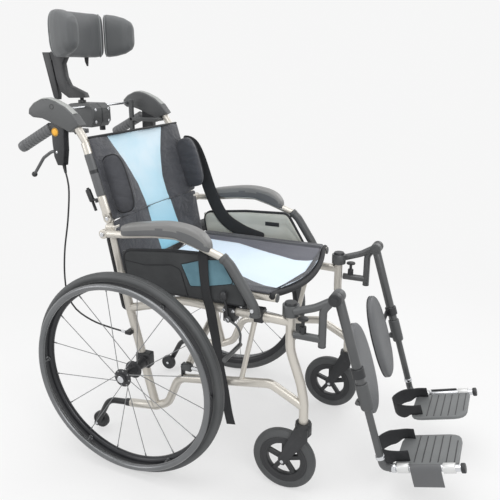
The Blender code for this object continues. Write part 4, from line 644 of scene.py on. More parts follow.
def bent_tube(
    name: str, corners: Sequence[Vector], radius: float, bend: float = 0.045, sides: int = 24
) -> Piece:
    """Draws a round tube out of a disc, with a round bend at each corner.

    Args:
        name: The piece's name.
        corners: The centre line's corners.
        radius: The tube's radius.
        bend: The radius of the bends.
        sides: The number of sides.

    Returns:
        The tube, closed at both ends.
    """
    deselect()
    ahead = (corners[1] - corners[0]).to_track_quat("Z", "Y").to_euler()
    bpy.ops.mesh.primitive_circle_add(
        vertices=sides, radius=radius, fill_type="NGON", location=corners[0], rotation=ahead
    )
    piece = started(name)
    reached = corners[0]
    for before, corner, after in zip(corners, corners[1:], corners[2:]):
        arrive, leave = (corner - before).normalized(), (after - corner).normalized()
        turn = arrive.angle(leave)
        if turn < math.radians(1):
            continue
        room = 0.45 * min((corner - before).length, (after - corner).length)
        tangent = min(bend * math.tan(turn / 2), room)
        start = corner - arrive * tangent
        inward = (leave - arrive * math.cos(turn)).normalized()
        centre = start + inward * tangent / math.tan(turn / 2)
        bpy.ops.mesh.extrude_region_move(TRANSFORM_OT_translate={"value": start - reached})
        spans = max(2, math.ceil(math.degrees(turn) / 7))
        bpy.ops.mesh.spin(steps=spans, angle=turn, center=centre, axis=leave.cross(arrive).normalized())
        reached = corner + leave * tangent
    bpy.ops.mesh.extrude_region_move(TRANSFORM_OT_translate={"value": corners[-1] - reached})
    bpy.ops.mesh.select_all(action="SELECT")
    bpy.ops.mesh.normals_make_consistent(inside=False)
    bpy.ops.object.mode_set(mode="OBJECT")
    return piece


def turned(
    name: str, outline: Sequence[Point], centre: Vector, steps: int = 48, axis: Vector = X_AXIS,
    ring: bool = True,
) -> Piece:
    """Spins a section about an axis.

    Args:
        name: The piece's name.
        outline: The section as (radius, along the axis), a closed loop.
        centre: A point of the axis, where along is 0.
        steps: The number of steps round.
        axis: The axis.
        ring: Whether the section is a closed loop; otherwise its ends lie on the axis.

    Returns:
        The closed piece.
    """
    deselect()
    outward = axis.orthogonal().normalized() if axis.z else Z_AXIS
    bpy.ops.mesh.primitive_circle_add(vertices=len(outline), radius=0.01)
    piece = started(name)
    builder = bmesh.from_edit_mesh(piece.data)
    builder.verts.ensure_lookup_table()
    for knot, (radius, along) in zip(builder.verts, outline):
        knot.co = centre + axis * along + outward * radius
    if not ring:
        closing = builder.edges.get((builder.verts[0], builder.verts[-1]))
        builder.edges.remove(closing)
    bmesh.update_edit_mesh(piece.data)
    bpy.ops.mesh.select_all(action="SELECT")
    bpy.ops.mesh.spin(steps=steps, angle=2 * math.pi, center=centre, axis=axis)
    bpy.ops.mesh.select_all(action="SELECT")
    bpy.ops.mesh.remove_doubles(threshold=2e-6)
    bpy.ops.mesh.normals_make_consistent(inside=False)
    bpy.ops.object.mode_set(mode="OBJECT")
    return piece


def block(name: str, low: Vector, high: Vector, round_by: float = 0.001, segments: int = 3) -> Piece:
    """A block between two corners with rounded edges.

    Args:
        name: The piece's name.
        low: The lowest corner.
        high: The highest corner.
        round_by: The bevel's width.
        segments: The bevel's segments.

    Returns:
        The block.
    """
    deselect()
    bpy.ops.mesh.primitive_cube_add(size=1, location=(low + high) / 2, scale=high - low)
    piece = started(name)
    bpy.ops.mesh.bevel(offset=round_by, segments=segments, affect="EDGES")
    bpy.ops.object.mode_set(mode="OBJECT")
    return piece


def slab(name: str, outline: Sequence[Point], low_x: float, high_x: float, round_by: float = 0.001) -> Piece:
    """Extrudes a side-view outline along X and rounds its rims.

    Args:
        name: The piece's name.
        outline: Side-view points (y, z) in the chair's own frame.
        low_x: Where it starts.
        high_x: Where it ends.
        round_by: The width of the rims' bevel.

    Returns:
        The slab.
    """
    deselect()
    bpy.ops.mesh.primitive_circle_add(vertices=len(outline), radius=0.01, fill_type="NGON")
    piece = started(name)
    builder = bmesh.from_edit_mesh(piece.data)
    for knot, (y, z) in zip(builder.verts, outline):
        knot.co = at(low_x, y, z)
    bmesh.update_edit_mesh(piece.data)
    bpy.ops.mesh.extrude_region_move(TRANSFORM_OT_translate={"value": (high_x - low_x, 0, 0)})
    bpy.ops.mesh.select_all(action="SELECT")
    bpy.ops.mesh.normals_make_consistent(inside=False)
    if round_by > 0:
        choose(piece, lambda middle, way: abs(way.x) < 0.5, edges=True)
        bpy.ops.mesh.bevel(offset=round_by, segments=3, affect="EDGES")
    bpy.ops.object.mode_set(mode="OBJECT")
    return piece


def rod(
    name: str, start: Vector, end: Vector, radius: float, sides: int = 24, round_by: float = 0.0006
) -> Piece:
    """A straight round bar with rounded rims.

    Args:
        name: The piece's name.
        start: The middle of one end.
        end: The middle of the other.
        radius: Its radius.
        sides: Its number of sides.
        round_by: The width of the rims' bevel.

    Returns:
        The bar.
    """
    deselect()
    span = end - start
    bpy.ops.mesh.primitive_cylinder_add(
        vertices=sides, radius=radius, depth=span.length, location=(start + end) / 2,
        rotation=span.to_track_quat("Z", "Y").to_euler(),
    )
    piece = started(name)
    if round_by > 0:
        way = span.normalized()
        choose(piece, lambda middle, along: abs(along.dot(way)) < 0.5, edges=True)
        bpy.ops.mesh.bevel(offset=round_by, segments=2, affect="EDGES")
    bpy.ops.object.mode_set(mode="OBJECT")
    return piece


def rod_x(
    name: str, low_x: float, high_x: float, place: Point, radius: float, sides: int = 24,
    round_by: float = 0.0006,
) -> Piece:
    """A round bar along X at one side-view point.

    Args:
        name: The piece's name.
        low_x: Where it starts.
        high_x: Where it ends.
        place: Its side-view point (y, z).
        radius: Its radius.
        sides: Its number of sides.
        round_by: The width of the rims' bevel.

    Returns:
        The bar.
    """
    return rod(name, at(low_x, *place), at(high_x, *place), radius, sides, round_by)


def ball(name: str, centre: Vector, sizes: Triple, turn: Matrix | None = None) -> Piece:
    """A rounded knob: a sphere drawn out to three half sizes.

    Args:
        name: The piece's name.
        centre: Its middle.
        sizes: Its half sizes along X, Y and Z before it is turned.
        turn: How it is turned about its middle, if at all.

    Returns:
        The knob.
    """
    deselect()
    bpy.ops.mesh.primitive_uv_sphere_add(segments=24, ring_count=14, radius=1, location=(0, 0, 0))
    piece = started(name, edit=False)
    place = Matrix.Translation(centre) @ (turn or Matrix.Identity(4)) @ Matrix.Diagonal((*sizes, 1))
    piece.data.transform(place)
    return piece


def joined(name: str, pieces: Sequence[Piece]) -> Piece:
    """Joins pieces of one finish into one.

    Args:
        name: The joined piece's name.
        pieces: The pieces.

    Returns:
        The joined piece.
    """
    deselect()
    for piece in pieces:
        piece.select_set(True)
    bpy.context.view_layer.objects.active = pieces[0]
    if len(pieces) > 1:
        bpy.ops.object.join()
    pieces[0].name = pieces[0].data.name = name
    return pieces[0]


def placed(
    piece: Piece, body: str, finish: Finish | Sequence[Finish], nodes: Sequence[str] = (), angle: float = 38.0
) -> Piece:
    """Gives a finished piece its surface and its body.

    Args:
        piece: The piece, with its place in its mesh.
        body: The body that it moves with.
        finish: Its finish, or one for each of its faces' material numbers.
        nodes: The CAD nodes that it stands for.
        angle: The angle in degrees below which an edge is shaded smooth; 180 for all of them.

    Returns:
        The same piece.
    """
    finishes = [finish] if isinstance(finish, Finish) else list(finish)
    keep = [face.material_index for face in piece.data.polygons]
    piece.data.materials.clear()
    for one in finishes:
        piece.data.materials.append(one.material())
    for face, number in zip(piece.data.polygons, keep):
        face.material_index = min(number, len(finishes) - 1)
    activate(piece)
    bpy.ops.object.shade_smooth_by_angle(angle=math.radians(angle))
    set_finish(piece, finishes[0].slot)
    if nodes:
        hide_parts(*nodes)
    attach(piece, body)
    LOG.info("%s rides on %s", piece.name, body)
    return piece


def mirrored(piece: Piece, name: str) -> Piece:
    """A mirrored copy of a piece for the other side.

    Args:
        piece: The piece on the left side.
        name: The copy's name.

    Returns:
        The copy, facing outwards, with its own mesh.
    """
    copy = own_copy(piece)
    copy.name = copy.data.name = name
    copy.data.transform(Matrix.Diagonal((-1, 1, 1, 1)))
    copy.data.flip_normals()
    return copy


def placed_pair(
    piece: Piece, body: str, finish: Finish | Sequence[Finish], nodes: Sequence[str] = (), angle: float = 38.0
) -> list[Piece]:
    """Places a piece of the left side and its mirrored twin.

    Args:
        piece: The left piece.
        body: The body's name without its side.
        finish: The finish, or finishes.
        nodes: The names, without their side, of the CAD nodes that it stands for.
        angle: The shading angle in degrees.

    Returns:
        The left and the right piece.
    """
    base = piece.name
    twin = mirrored(piece, base + "_right")
    piece.name = base + "_left"
    made = []
    for side, one in ((Side.LEFT, piece), (Side.RIGHT, twin)):
        own = [f"{node}_{side.word}" for node in nodes]
        made.append(placed(one, f"{side.word}_{body}", finish, own, angle))
    return made


def dress(node: str, finish: Finish) -> None:
    """Gives a CAD node that stays as it is its finish."""
    piece = frame["nodes"][node]
    piece.data.materials.clear()
    piece.data.materials.append(finish.material())
    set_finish(piece, finish.slot)


def merged_copy(node: str, name: str, width: float = 0.0006) -> Piece:
    """A copy of a CAD node with its flats joined and its edges rounded.

    Args:
        node: The node.
        name: The copy's name.
        width: The width of the rounded edges.

    Returns:
        The copy.
    """
    copy = linked(name, frame["nodes"][node].data.copy())
    copy.data.name = name
    activate(copy)
    bpy.ops.object.mode_set(mode="EDIT")
    bpy.ops.mesh.select_all(action="SELECT")
    bpy.ops.mesh.remove_doubles(threshold=2e-6)
    bpy.ops.mesh.dissolve_limited(angle_limit=math.radians(1))
    bpy.ops.object.mode_set(mode="OBJECT")
    if width > 0:
        bevelled(copy, width, 2, 32)
    return copy


def choose_finish(piece: Piece, rule: Callable[[Vector], int]) -> Piece:
    """Numbers a piece's faces by their place.

    Args:
        piece: The piece.
        rule: Takes a face's middle in the chair's own frame and gives the number of its finish.

    Returns:
        The same piece.
    """
    for face in piece.data.polygons:
        middle = face.center.copy()
        middle.y -= SHIFT
        face.material_index = rule(middle)
    return piece


def smooth_route(points: Sequence[Vector], step: float) -> list[Vector]:
    """Points every step along a smooth curve through the given ones.

    Args:
        points: The points that the curve passes.
        step: The spacing.

    Returns:
        The points of the curve, the given ends included.
    """
    guide = [2 * points[0] - points[1], *points, 2 * points[-1] - points[-2]]
    fine = []
    for a, b, c, d in zip(guide, guide[1:], guide[2:], guide[3:]):
        for part in range(20):
            t = part / 20
            turn = (2 * a - 5 * b + 4 * c - d) * t**2 + (3 * b - a - 3 * c + d) * t**3
            fine.append(0.5 * (2 * b + (c - a) * t + turn))
    fine.append(points[-1])
    length = length_of(fine)
    count = max(2, round(length / step))
    spread, walked = [fine[0]], 0.0
    for p, q in zip(fine, fine[1:]):
        leg = (q - p).length
        while walked + leg >= length / count * len(spread) and len(spread) < count:
            spread.append(p.lerp(q, (length / count * len(spread) - walked) / leg))
        walked += leg
    return [*spread, points[-1]]


def on_route(route: Sequence[Point], value: float, known: int) -> float:
    """The other coordinate of a side-view route.

    Args:
        route: Side-view points (y, z).
        value: The known coordinate's value.
        known: Which is known, 0 for y or 1 for z.

    Returns:
        The other coordinate there, or at the nearest end.
    """
    for start, end in zip(route, route[1:]):
        low, high = sorted((start[known], end[known]))
        if low <= value <= high and high > low:
            part = (value - start[known]) / (end[known] - start[known])
            return start[1 - known] + part * (end[1 - known] - start[1 - known])
    return min(route, key=lambda point: abs(point[known] - value))[1 - known]


@dataclass(frozen=True)
class Lean:
    """A straight member in side view: its start, how far it leans from upright, and which way it runs."""

    start: Point
    angle: float
    way: int

    def point(self, along: float, across: float = 0.0) -> Point:
        """The side-view point this far along it and this far behind it."""
        sine, cosine = math.sin(self.angle), math.cos(self.angle)
        y = self.start[0] + self.way * along * sine + across * cosine
        return (y, self.start[1] + self.way * along * cosine - across * sine)

    def at(self, x: float, along: float, across: float = 0.0) -> Vector:
        """The point in space this far along it and this far behind it."""
        return at(x, *self.point(along, across))

    def turn(self) -> Matrix:
        """The turn that brings upright things to its lean."""
        return Matrix.Rotation(-self.angle, 4, "X")

    def run(self) -> Vector:
        """The direction that it runs in."""
        return (self.at(0, 1) - self.at(0, 0)).normalized()


CANE = Lean((0.106, 0.716), math.radians(16.4), 1)
LEG = Lean((-0.555, 0.583), math.radians(17), -1)
CANE_TOP: Point = (CANE.point(0.216)[0] + 0.023, CANE.point(0.216)[1] + 0.034)
POST: list[Point] = [(-0.019, 0.148), (-0.004, 0.205), (0.058, 0.465), (0.083, 0.600), CANE.point(-0.0135)]
# Where the armrest turns on the rear post
ARM_PIVOT: Point = (on_route(POST, 0.681, 1), 0.681)


def from_top(offset: Point) -> Point:
    """A side-view point given from the top of the cane."""
    return (CANE_TOP[0] + offset[0], CANE_TOP[1] + offset[1])


@dataclass(frozen=True)
class Shelf:
    """How a piece's repeats go round an axis."""

    count: int
    centre: Vector
    axis: Vector

    def filled(self, piece: Piece, name: str) -> Piece:
        """Copies a piece round the axis and joins the copies with it.

        Args:
            piece: The first one.
            name: The joined piece's name.

        Returns:
            The joined piece.
        """
        row = [piece]
        for index in range(1, self.count):
            copy = own_copy(piece)
            copy.data.transform(
                about(self.centre, Matrix.Rotation(2 * math.pi * index / self.count, 4, self.axis))
            )
            row.append(copy)
        return joined(name, row)


# The studio


@dataclass
class Studio:
    """The camera, the floor, the lamps and the world."""

    ground: float = 0.925
    ambient: float = 0.55
    place: Triple = (-1.5543, -0.9019, 1.1318)
    down: float = 16.70
    heading: float = 66.20
    lens: float = 43.0
    shift: Point = (0.0052, -0.0158)
    shadow_ends: Point = (0.55, 1.9)
    shadow_share: float = 0.55

    def build(self) -> None:
        """Sets up the whole studio."""
        self.camera()
        self.floor()
        self.lamps()
        self.world()

    def camera(self) -> None:
        """Places the camera at the photograph's angle."""
        lens = bpy.data.cameras.new("camera")
        lens.lens, lens.sensor_width = self.lens, 36.0
        lens.shift_x, lens.shift_y = self.shift
        camera = linked("camera", lens)
        camera.location = at(*self.place)
        camera.rotation_euler = (math.radians(90 - self.down), 0, -math.radians(self.heading))
        bpy.context.scene.camera = camera

    def seen(self, tree: Tree) -> Socket:
        """1 for the rays that see the surface directly or in a reflection.

        Args:
            tree: The material's or the world's node tree.

        Returns:
            The mask's socket.
        """
        rays = add_node(tree, "LightPath", {}).outputs
        both = math_node(tree, "MAXIMUM", rays["Is Camera Ray"], rays["Is Glossy Ray"])
        return math_node(tree, "MAXIMUM", both, rays["Is Transmission Ray"])

    def floor(self) -> None:
        """Lays a pale floor that keeps the shadow and runs out into the backdrop."""
        deselect()
        bpy.ops.mesh.primitive_plane_add(size=40, location=(0, 0, -0.0005))
        floor = started("floor", edit=False)
        surface = bpy.data.materials.new("pale_floor")
        surface.use_nodes = True
        tree = surface.node_tree
        shader, end = tree.nodes["Principled BSDF"], tree.nodes["Material Output"]
        feed(tree, shader, {"Base Color": grey(0.93), "Roughness": 0.9, "Specular IOR Level": 0.1})
        place = add_node(tree, "TexCoord", {}).outputs["Object"]
        length = add_node(tree, "VectorMath", {0: place}, operation="LENGTH").outputs["Value"]
        low, high = self.shadow_ends
        ends = {"From Min": low, "From Max": high, "To Min": self.shadow_share, "Value": length}
        reach = add_node(tree, "MapRange", ends, interpolation_type="SMOOTHSTEP").outputs["Result"]
        share = math_node(tree, "MULTIPLY", reach, self.seen(tree))
        glow = add_node(tree, "Emission", {"Color": grey(self.ground)})
        mix = add_node(tree, "MixShader", {0: share, 1: shader.outputs[0], 2: glow.outputs[0]})
        feed(tree, end, {"Surface": mix.outputs[0]})
        floor.data.materials.append(surface)

    def lamps(self) -> None:
        """Hangs the soft lamps."""
        aim = Vector((0, 0.05, 0.6))
        for name, place, size, energy in (
            ("key_lamp", Vector((-2.6, -2.4, 2.7)), 1.8, 46.0),
            ("top_lamp", Vector((-0.3, 0.2, 3.1)), 2.6, 42.0),
            ("side_lamp", Vector((-2.2, 2.6, 1.7)), 1.6, 22.0),
            ("far_lamp", Vector((2.8, -1.2, 2.2)), 1.8, 24.0),
        ):
            lamp = bpy.data.lights.new(name, "AREA")
            lamp.energy, lamp.size = energy, size
            holder = linked(name, lamp)
            holder.location = place
            holder.rotation_euler = (aim - place).to_track_quat("-Z", "Y").to_euler()

    def world(self) -> None:
        """Sets the pale surroundings and the plain view transform."""
        world = bpy.data.worlds.new("surroundings")
        world.use_nodes = True
        bpy.context.scene.world = world
        tree = world.node_tree
        shades = {0: self.seen(tree), 6: grey(self.ambient), 7: grey(self.ground)}
        colour = add_node(tree, "Mix", shades, data_type="RGBA").outputs[2]
        feed(tree, tree.nodes["Background"], {"Strength": 1.0, "Color": colour})
        bpy.context.scene.view_settings.view_transform = "Standard"


# Wheels


@dataclass
class RearWheels:
    """The two large wheels: tyre, rim, spokes, hub and handrim."""

    radius: float = 0.300
    x: float = 0.330
    tyre_half: float = 0.0172
    bead: float = 0.2760
    rim_inner: float = 0.2560
    rim_half: float = 0.0112
    flange: float = 0.026
    hub_in: float = 0.042
    hub_out: float = 0.026
    spokes: int = 16
    spoke_radius: float = 0.00115
    spoke_end: float = 0.2600
    spoke_lean: float = math.radians(25)
    handrim_radius: float = 0.270
    handrim_out: float = 0.033
    handrim_tube: float = 0.009
    tabs: int = 6
    tab_foot: float = 0.2660

    def centre(self) -> Vector:
        """The middle of the left wheel."""
        return at(self.x, *AXLE)

    def ring_point(self, out: float, angle: float, radius: float) -> Vector:
        """The point this far out from the wheel's plane, at this angle and radius."""
        return at(self.x + out, AXLE[0] + math.sin(angle) * radius, AXLE[1] + math.cos(angle) * radius)

    def build(self) -> None:
        """Builds both wheels."""
        self.tyre()
        self.rim()
        self.spoke_set()
        self.hub()
        self.handrim()

    def tyre(self) -> None:
        """The tyre, with four thin grooves round its crown."""
        side = [
            (self.bead, -0.0118), (0.2800, -0.0150), (0.2845, -0.0168), (0.2890, -self.tyre_half),
            (0.2928, -0.0162), (0.2958, -0.0140), (0.2976, -0.0116), (0.2966, -0.0109), (0.2966, -0.0100),
            (0.2987, -0.0093), (0.2995, -0.0055), (0.2984, -0.0049), (0.2984, -0.0040),
            (self.radius - 0.0002, -0.0034), (self.radius, -0.0010),
        ]
        placed_pair(turned("tyre_tread", both_ways(side), self.centre(), 112), "wheel", RUBBER, ["tyre"], 60)

    def rim(self) -> None:
        """The deep black rim with its two edges and a joint line inside."""
        side = [
            (self.bead - 0.0002, -0.0080), (self.bead + 0.0012, -0.0108), (self.bead + 0.0004, -0.0119),
            (0.2725, -self.rim_half), (0.2660, -0.0108), (0.2595, -0.0080), (0.2568, -0.0045),
            (self.rim_inner, -0.0015),
        ]
        placed_pair(turned("rim", both_ways(side), self.centre(), 112), "wheel", RIM_BLACK, ["wheel"], 50)

    def spoke_set(self) -> None:
        """The thin dark spokes, each with its nipple at the rim."""
        rows = []
        for number, sign in ((0, 1), (1, -1)):
            outer = 2 * math.pi * (number + 0.5) / self.spokes
            inner = outer + sign * self.spoke_lean
            offset = self.hub_out - 0.008 if sign > 0 else 0.008 - self.hub_in
            start = self.ring_point(offset, inner, self.flange - 0.004)
            end = self.ring_point(0, outer, self.spoke_end)
            way = (end - start).normalized()
            wire = rod(f"spoke_{number}", start, end, self.spoke_radius, 8, 0)
            nipple = rod(f"nipple_{number}", end - way * 0.015, end, 0.0021, 8, 0.0004)
            head = ball(f"spoke_head_{number}", start + X_AXIS * sign * 0.0022, (0.0018, 0.0026, 0.0026))
            base = joined(f"spoke_{number}", [wire, nipple, head])
            rows.append(Shelf(self.spokes // 2, self.centre(), -X_AXIS).filled(base, f"spokes_{number}"))
        placed_pair(joined("spokes", rows), "wheel", SPOKE, ["wheel"], 50)

    def hub(self) -> None:
        """The black hub with two flanges, its long sleeve and the axle's push button."""
        inboard, outboard = -self.hub_in, self.hub_out
        outline = [
            (0, inboard), (0.0130, inboard), (0.0142, inboard + 0.001), (0.0142, inboard + 0.0055),
            (self.flange - 0.0006, inboard + 0.0062), (self.flange, inboard + 0.0068),
            (self.flange, inboard + 0.0092), (self.flange - 0.0006, inboard + 0.0098),
            (0.0150, inboard + 0.0115), (0.0125, inboard + 0.0170), (0.0125, outboard - 0.0170),
            (0.0150, outboard - 0.0115), (self.flange - 0.0006, outboard - 0.0098),
            (self.flange, outboard - 0.0092), (self.flange, outboard - 0.0068),
            (self.flange - 0.0006, outboard - 0.0062), (0.0145, outboard - 0.0050),
            (0.0135, outboard - 0.0010), (0.0120, outboard), (0, outboard),
        ]
        body = turned("hub", outline, self.centre(), 40, ring=False)
        placed_pair(body, "wheel", BLACK_PLASTIC, ["wheel"])
        end = outboard + 0.0003
        cap = [(0, end), (0.0098, end), (0.0100, end + 0.0036), (0.0088, end + 0.0046), (0, end + 0.005)]
        placed_pair(turned("axle_cap", cap, self.centre(), 28, ring=False), "frame", STEEL)

    def handrim(self) -> None:
        """The grey handrim on its six bent tabs."""
        deselect()
        place = self.centre() + X_AXIS * self.handrim_out
        bpy.ops.mesh.primitive_torus_add(
            major_segments=112, minor_segments=18, major_radius=self.handrim_radius,
            minor_radius=self.handrim_tube, location=place, rotation=(0, math.pi / 2, 0),
        )
        hoop = started("handrim_hoop", edit=False)
        angle = math.pi / self.tabs
        near = self.ring_point(self.rim_half, angle, self.tab_foot)
        far = self.ring_point(self.handrim_out, angle, self.handrim_radius - 0.003)
        corner = near.lerp(far, 0.6) + (near - self.centre()).normalized() * -0.004
        tab = bent_tube("handrim_tab", [near, corner, far], 0.0036, 0.012, 12)
        washer = rod("handrim_washer", near, near + X_AXIS * 0.0022, 0.0072, 18, 0.0005)
        tabs = Shelf(self.tabs, self.centre(), X_AXIS).filled(
            joined("handrim_tab", [tab, washer]), "handrim_tabs"
        )
        placed_pair(joined("push_rim", [hoop, tabs]), "wheel", HANDRIM, ["handrim"], 50)


@dataclass
class Casters:
    """The two front wheels and their forks."""

    x: float = TUBE_X
    hub: Point = (-0.427, 0.090)
    radius: float = 0.090
    rim: float = 0.048
    half: float = 0.0125
    spokes: int = 5

    def centre(self) -> Vector:
        """The middle of the left caster."""
        return at(self.x, *self.hub)

    def build(self) -> None:
        """Builds both casters."""
        self.tread()
        self.spider()
        fork = merged_copy("caster_fork_left", "fork_body", 0.0012)
        placed_pair(fork, "fork", BLACK_PLASTIC, ["caster_fork"], 45)
        bolt = rod(
            "caster_bolt", self.centre() - X_AXIS * 0.0225, self.centre() + X_AXIS * 0.0225, 0.0052, 18,
            0.0012,
        )
        placed_pair(bolt, "fork", STEEL)
        crown = at(self.x, -0.479, 0.2153)
        cap = [
            (0.0128, 0.0), (0.0188, -0.0002), (0.0200, -0.0016), (0.0222, -0.0090), (0.0222, -0.0140),
            (0.0128, -0.0140),
        ]
        placed_pair(turned("crown_cap", cap, crown, 36, Z_AXIS), "fork", BLACK_PLASTIC)

    def tread(self) -> None:
        """The solid tyre of the caster, rounded at its shoulders."""
        side = [
            (0.0682, -0.0098), (0.0705, -0.0116), (0.0780, -self.half), (0.0832, -0.0122), (0.0870, -0.0102),
            (0.0892, -0.0070), (0.0899, -0.0036), (self.radius, -0.0008),
        ]
        placed_pair(
            turned("caster_tread", both_ways(side), self.centre(), 72), "caster", RUBBER, ["caster_wheel"], 60
        )

    def spider(self) -> None:
        """The five-spoked moulded centre of the caster."""
        side = [
            (self.rim, -0.0062), (self.rim + 0.0012, -0.0088), (0.0535, -0.0094), (0.0570, -0.0078),
            (0.0610, -0.0078), (0.0640, -0.0100), (0.0676, -0.0104), (0.0690, -0.0096),
        ]
        ring = turned("caster_ring", both_ways(side), self.centre(), 72)
        side = [(0, -0.0150), (0.0105, -0.0150), (0.0118, -0.0142), (0.0140, -0.0125), (0.0150, -0.0100)]
        hub = turned("caster_hub", both_ways(side), self.centre(), 32, ring=False)
        low = self.centre() + Vector((-0.0065, -0.0066, 0.011))
        arm = block("caster_arm", low, self.centre() + Vector((0.0065, 0.0066, self.rim + 0.001)), 0.0001, 1)
        bpy.ops.object.mode_set(mode="EDIT")
        choose(arm, lambda middle, way: way.z > 0.9)
        bpy.ops.transform.resize(value=(0.9, 1.9, 1))
        choose(arm, lambda middle, way: abs(way.z) < 0.3)
        bpy.ops.mesh.inset(thickness=0.0018, depth=-0.0012, use_individual=False)
        bpy.ops.object.mode_set(mode="OBJECT")
        bevelled(arm, 0.0011, 2)
        arms = Shelf(self.spokes, self.centre(), X_AXIS).filled(arm, "caster_arms")
        placed_pair(joined("caster_spider", [ring, hub, arms]), "caster", BLACK_PLASTIC, ["caster_wheel"])


@dataclass
class AntiTippers:
    """The two bent tubes behind the rear posts and their small wheels."""

    x: float = TUBE_X
    stub: tuple[Point, Point] = ((-0.019, 0.150), (0.072, 0.138))
    route: tuple[Point, ...] = ((0.155, 0.12705), (0.181, 0.079), (0.204, 0.036))
    radius: float = 0.009
    wheel: float = 0.027

    def build(self) -> None:
        """Builds both anti-tippers."""
        start, end = at_x(self.x, self.stub)
        way = (end - start).normalized()
        inside = end - way * 0.012
        tube = bent_tube("tip_tube_skin", [inside, *at_x(self.x, self.route)], self.radius + SKIN, 0.045, 20)
        placed_pair(tube, "tip_tube", SHEATH, ["anti_tip_tube"])
        collar = rod("tip_collar", end + way * 0.0003, end + way * 0.016, 0.0116, 24, 0.0012)
        foot = self.route[-1]
        boss = rod_x("tip_boss", self.x - 0.0097, self.x + 0.0092, foot, 0.0088, 24, 0.001)
        placed_pair(joined("tip_fittings", [collar, boss]), "tip_tube", BLACK_PLASTIC, ["anti_tip_tube"])
        bolt = rod_x("tip_bolt", self.x - 0.029, self.x + 0.0108, foot, 0.0052, 12, 0.0008)
        placed_pair(bolt, "tip_tube", STEEL)
        centre = at(self.x - self.radius - 0.001 - 0.008, *foot)
        side = [
            (0, -0.0078), (0.0080, -0.0080), (0.0092, -0.0062), (0.0205, -0.0058), (0.0220, -0.0078),
            (0.0245, -0.0080), (0.0265, -0.0058), (self.wheel, -0.0026),
        ]
        wheel = turned("tip_wheel_body", both_ways(side), centre, 40, ring=False)
        placed_pair(wheel, "tip_wheel", BLACK_PLASTIC, ["anti_tip_wheel"])


# The frame


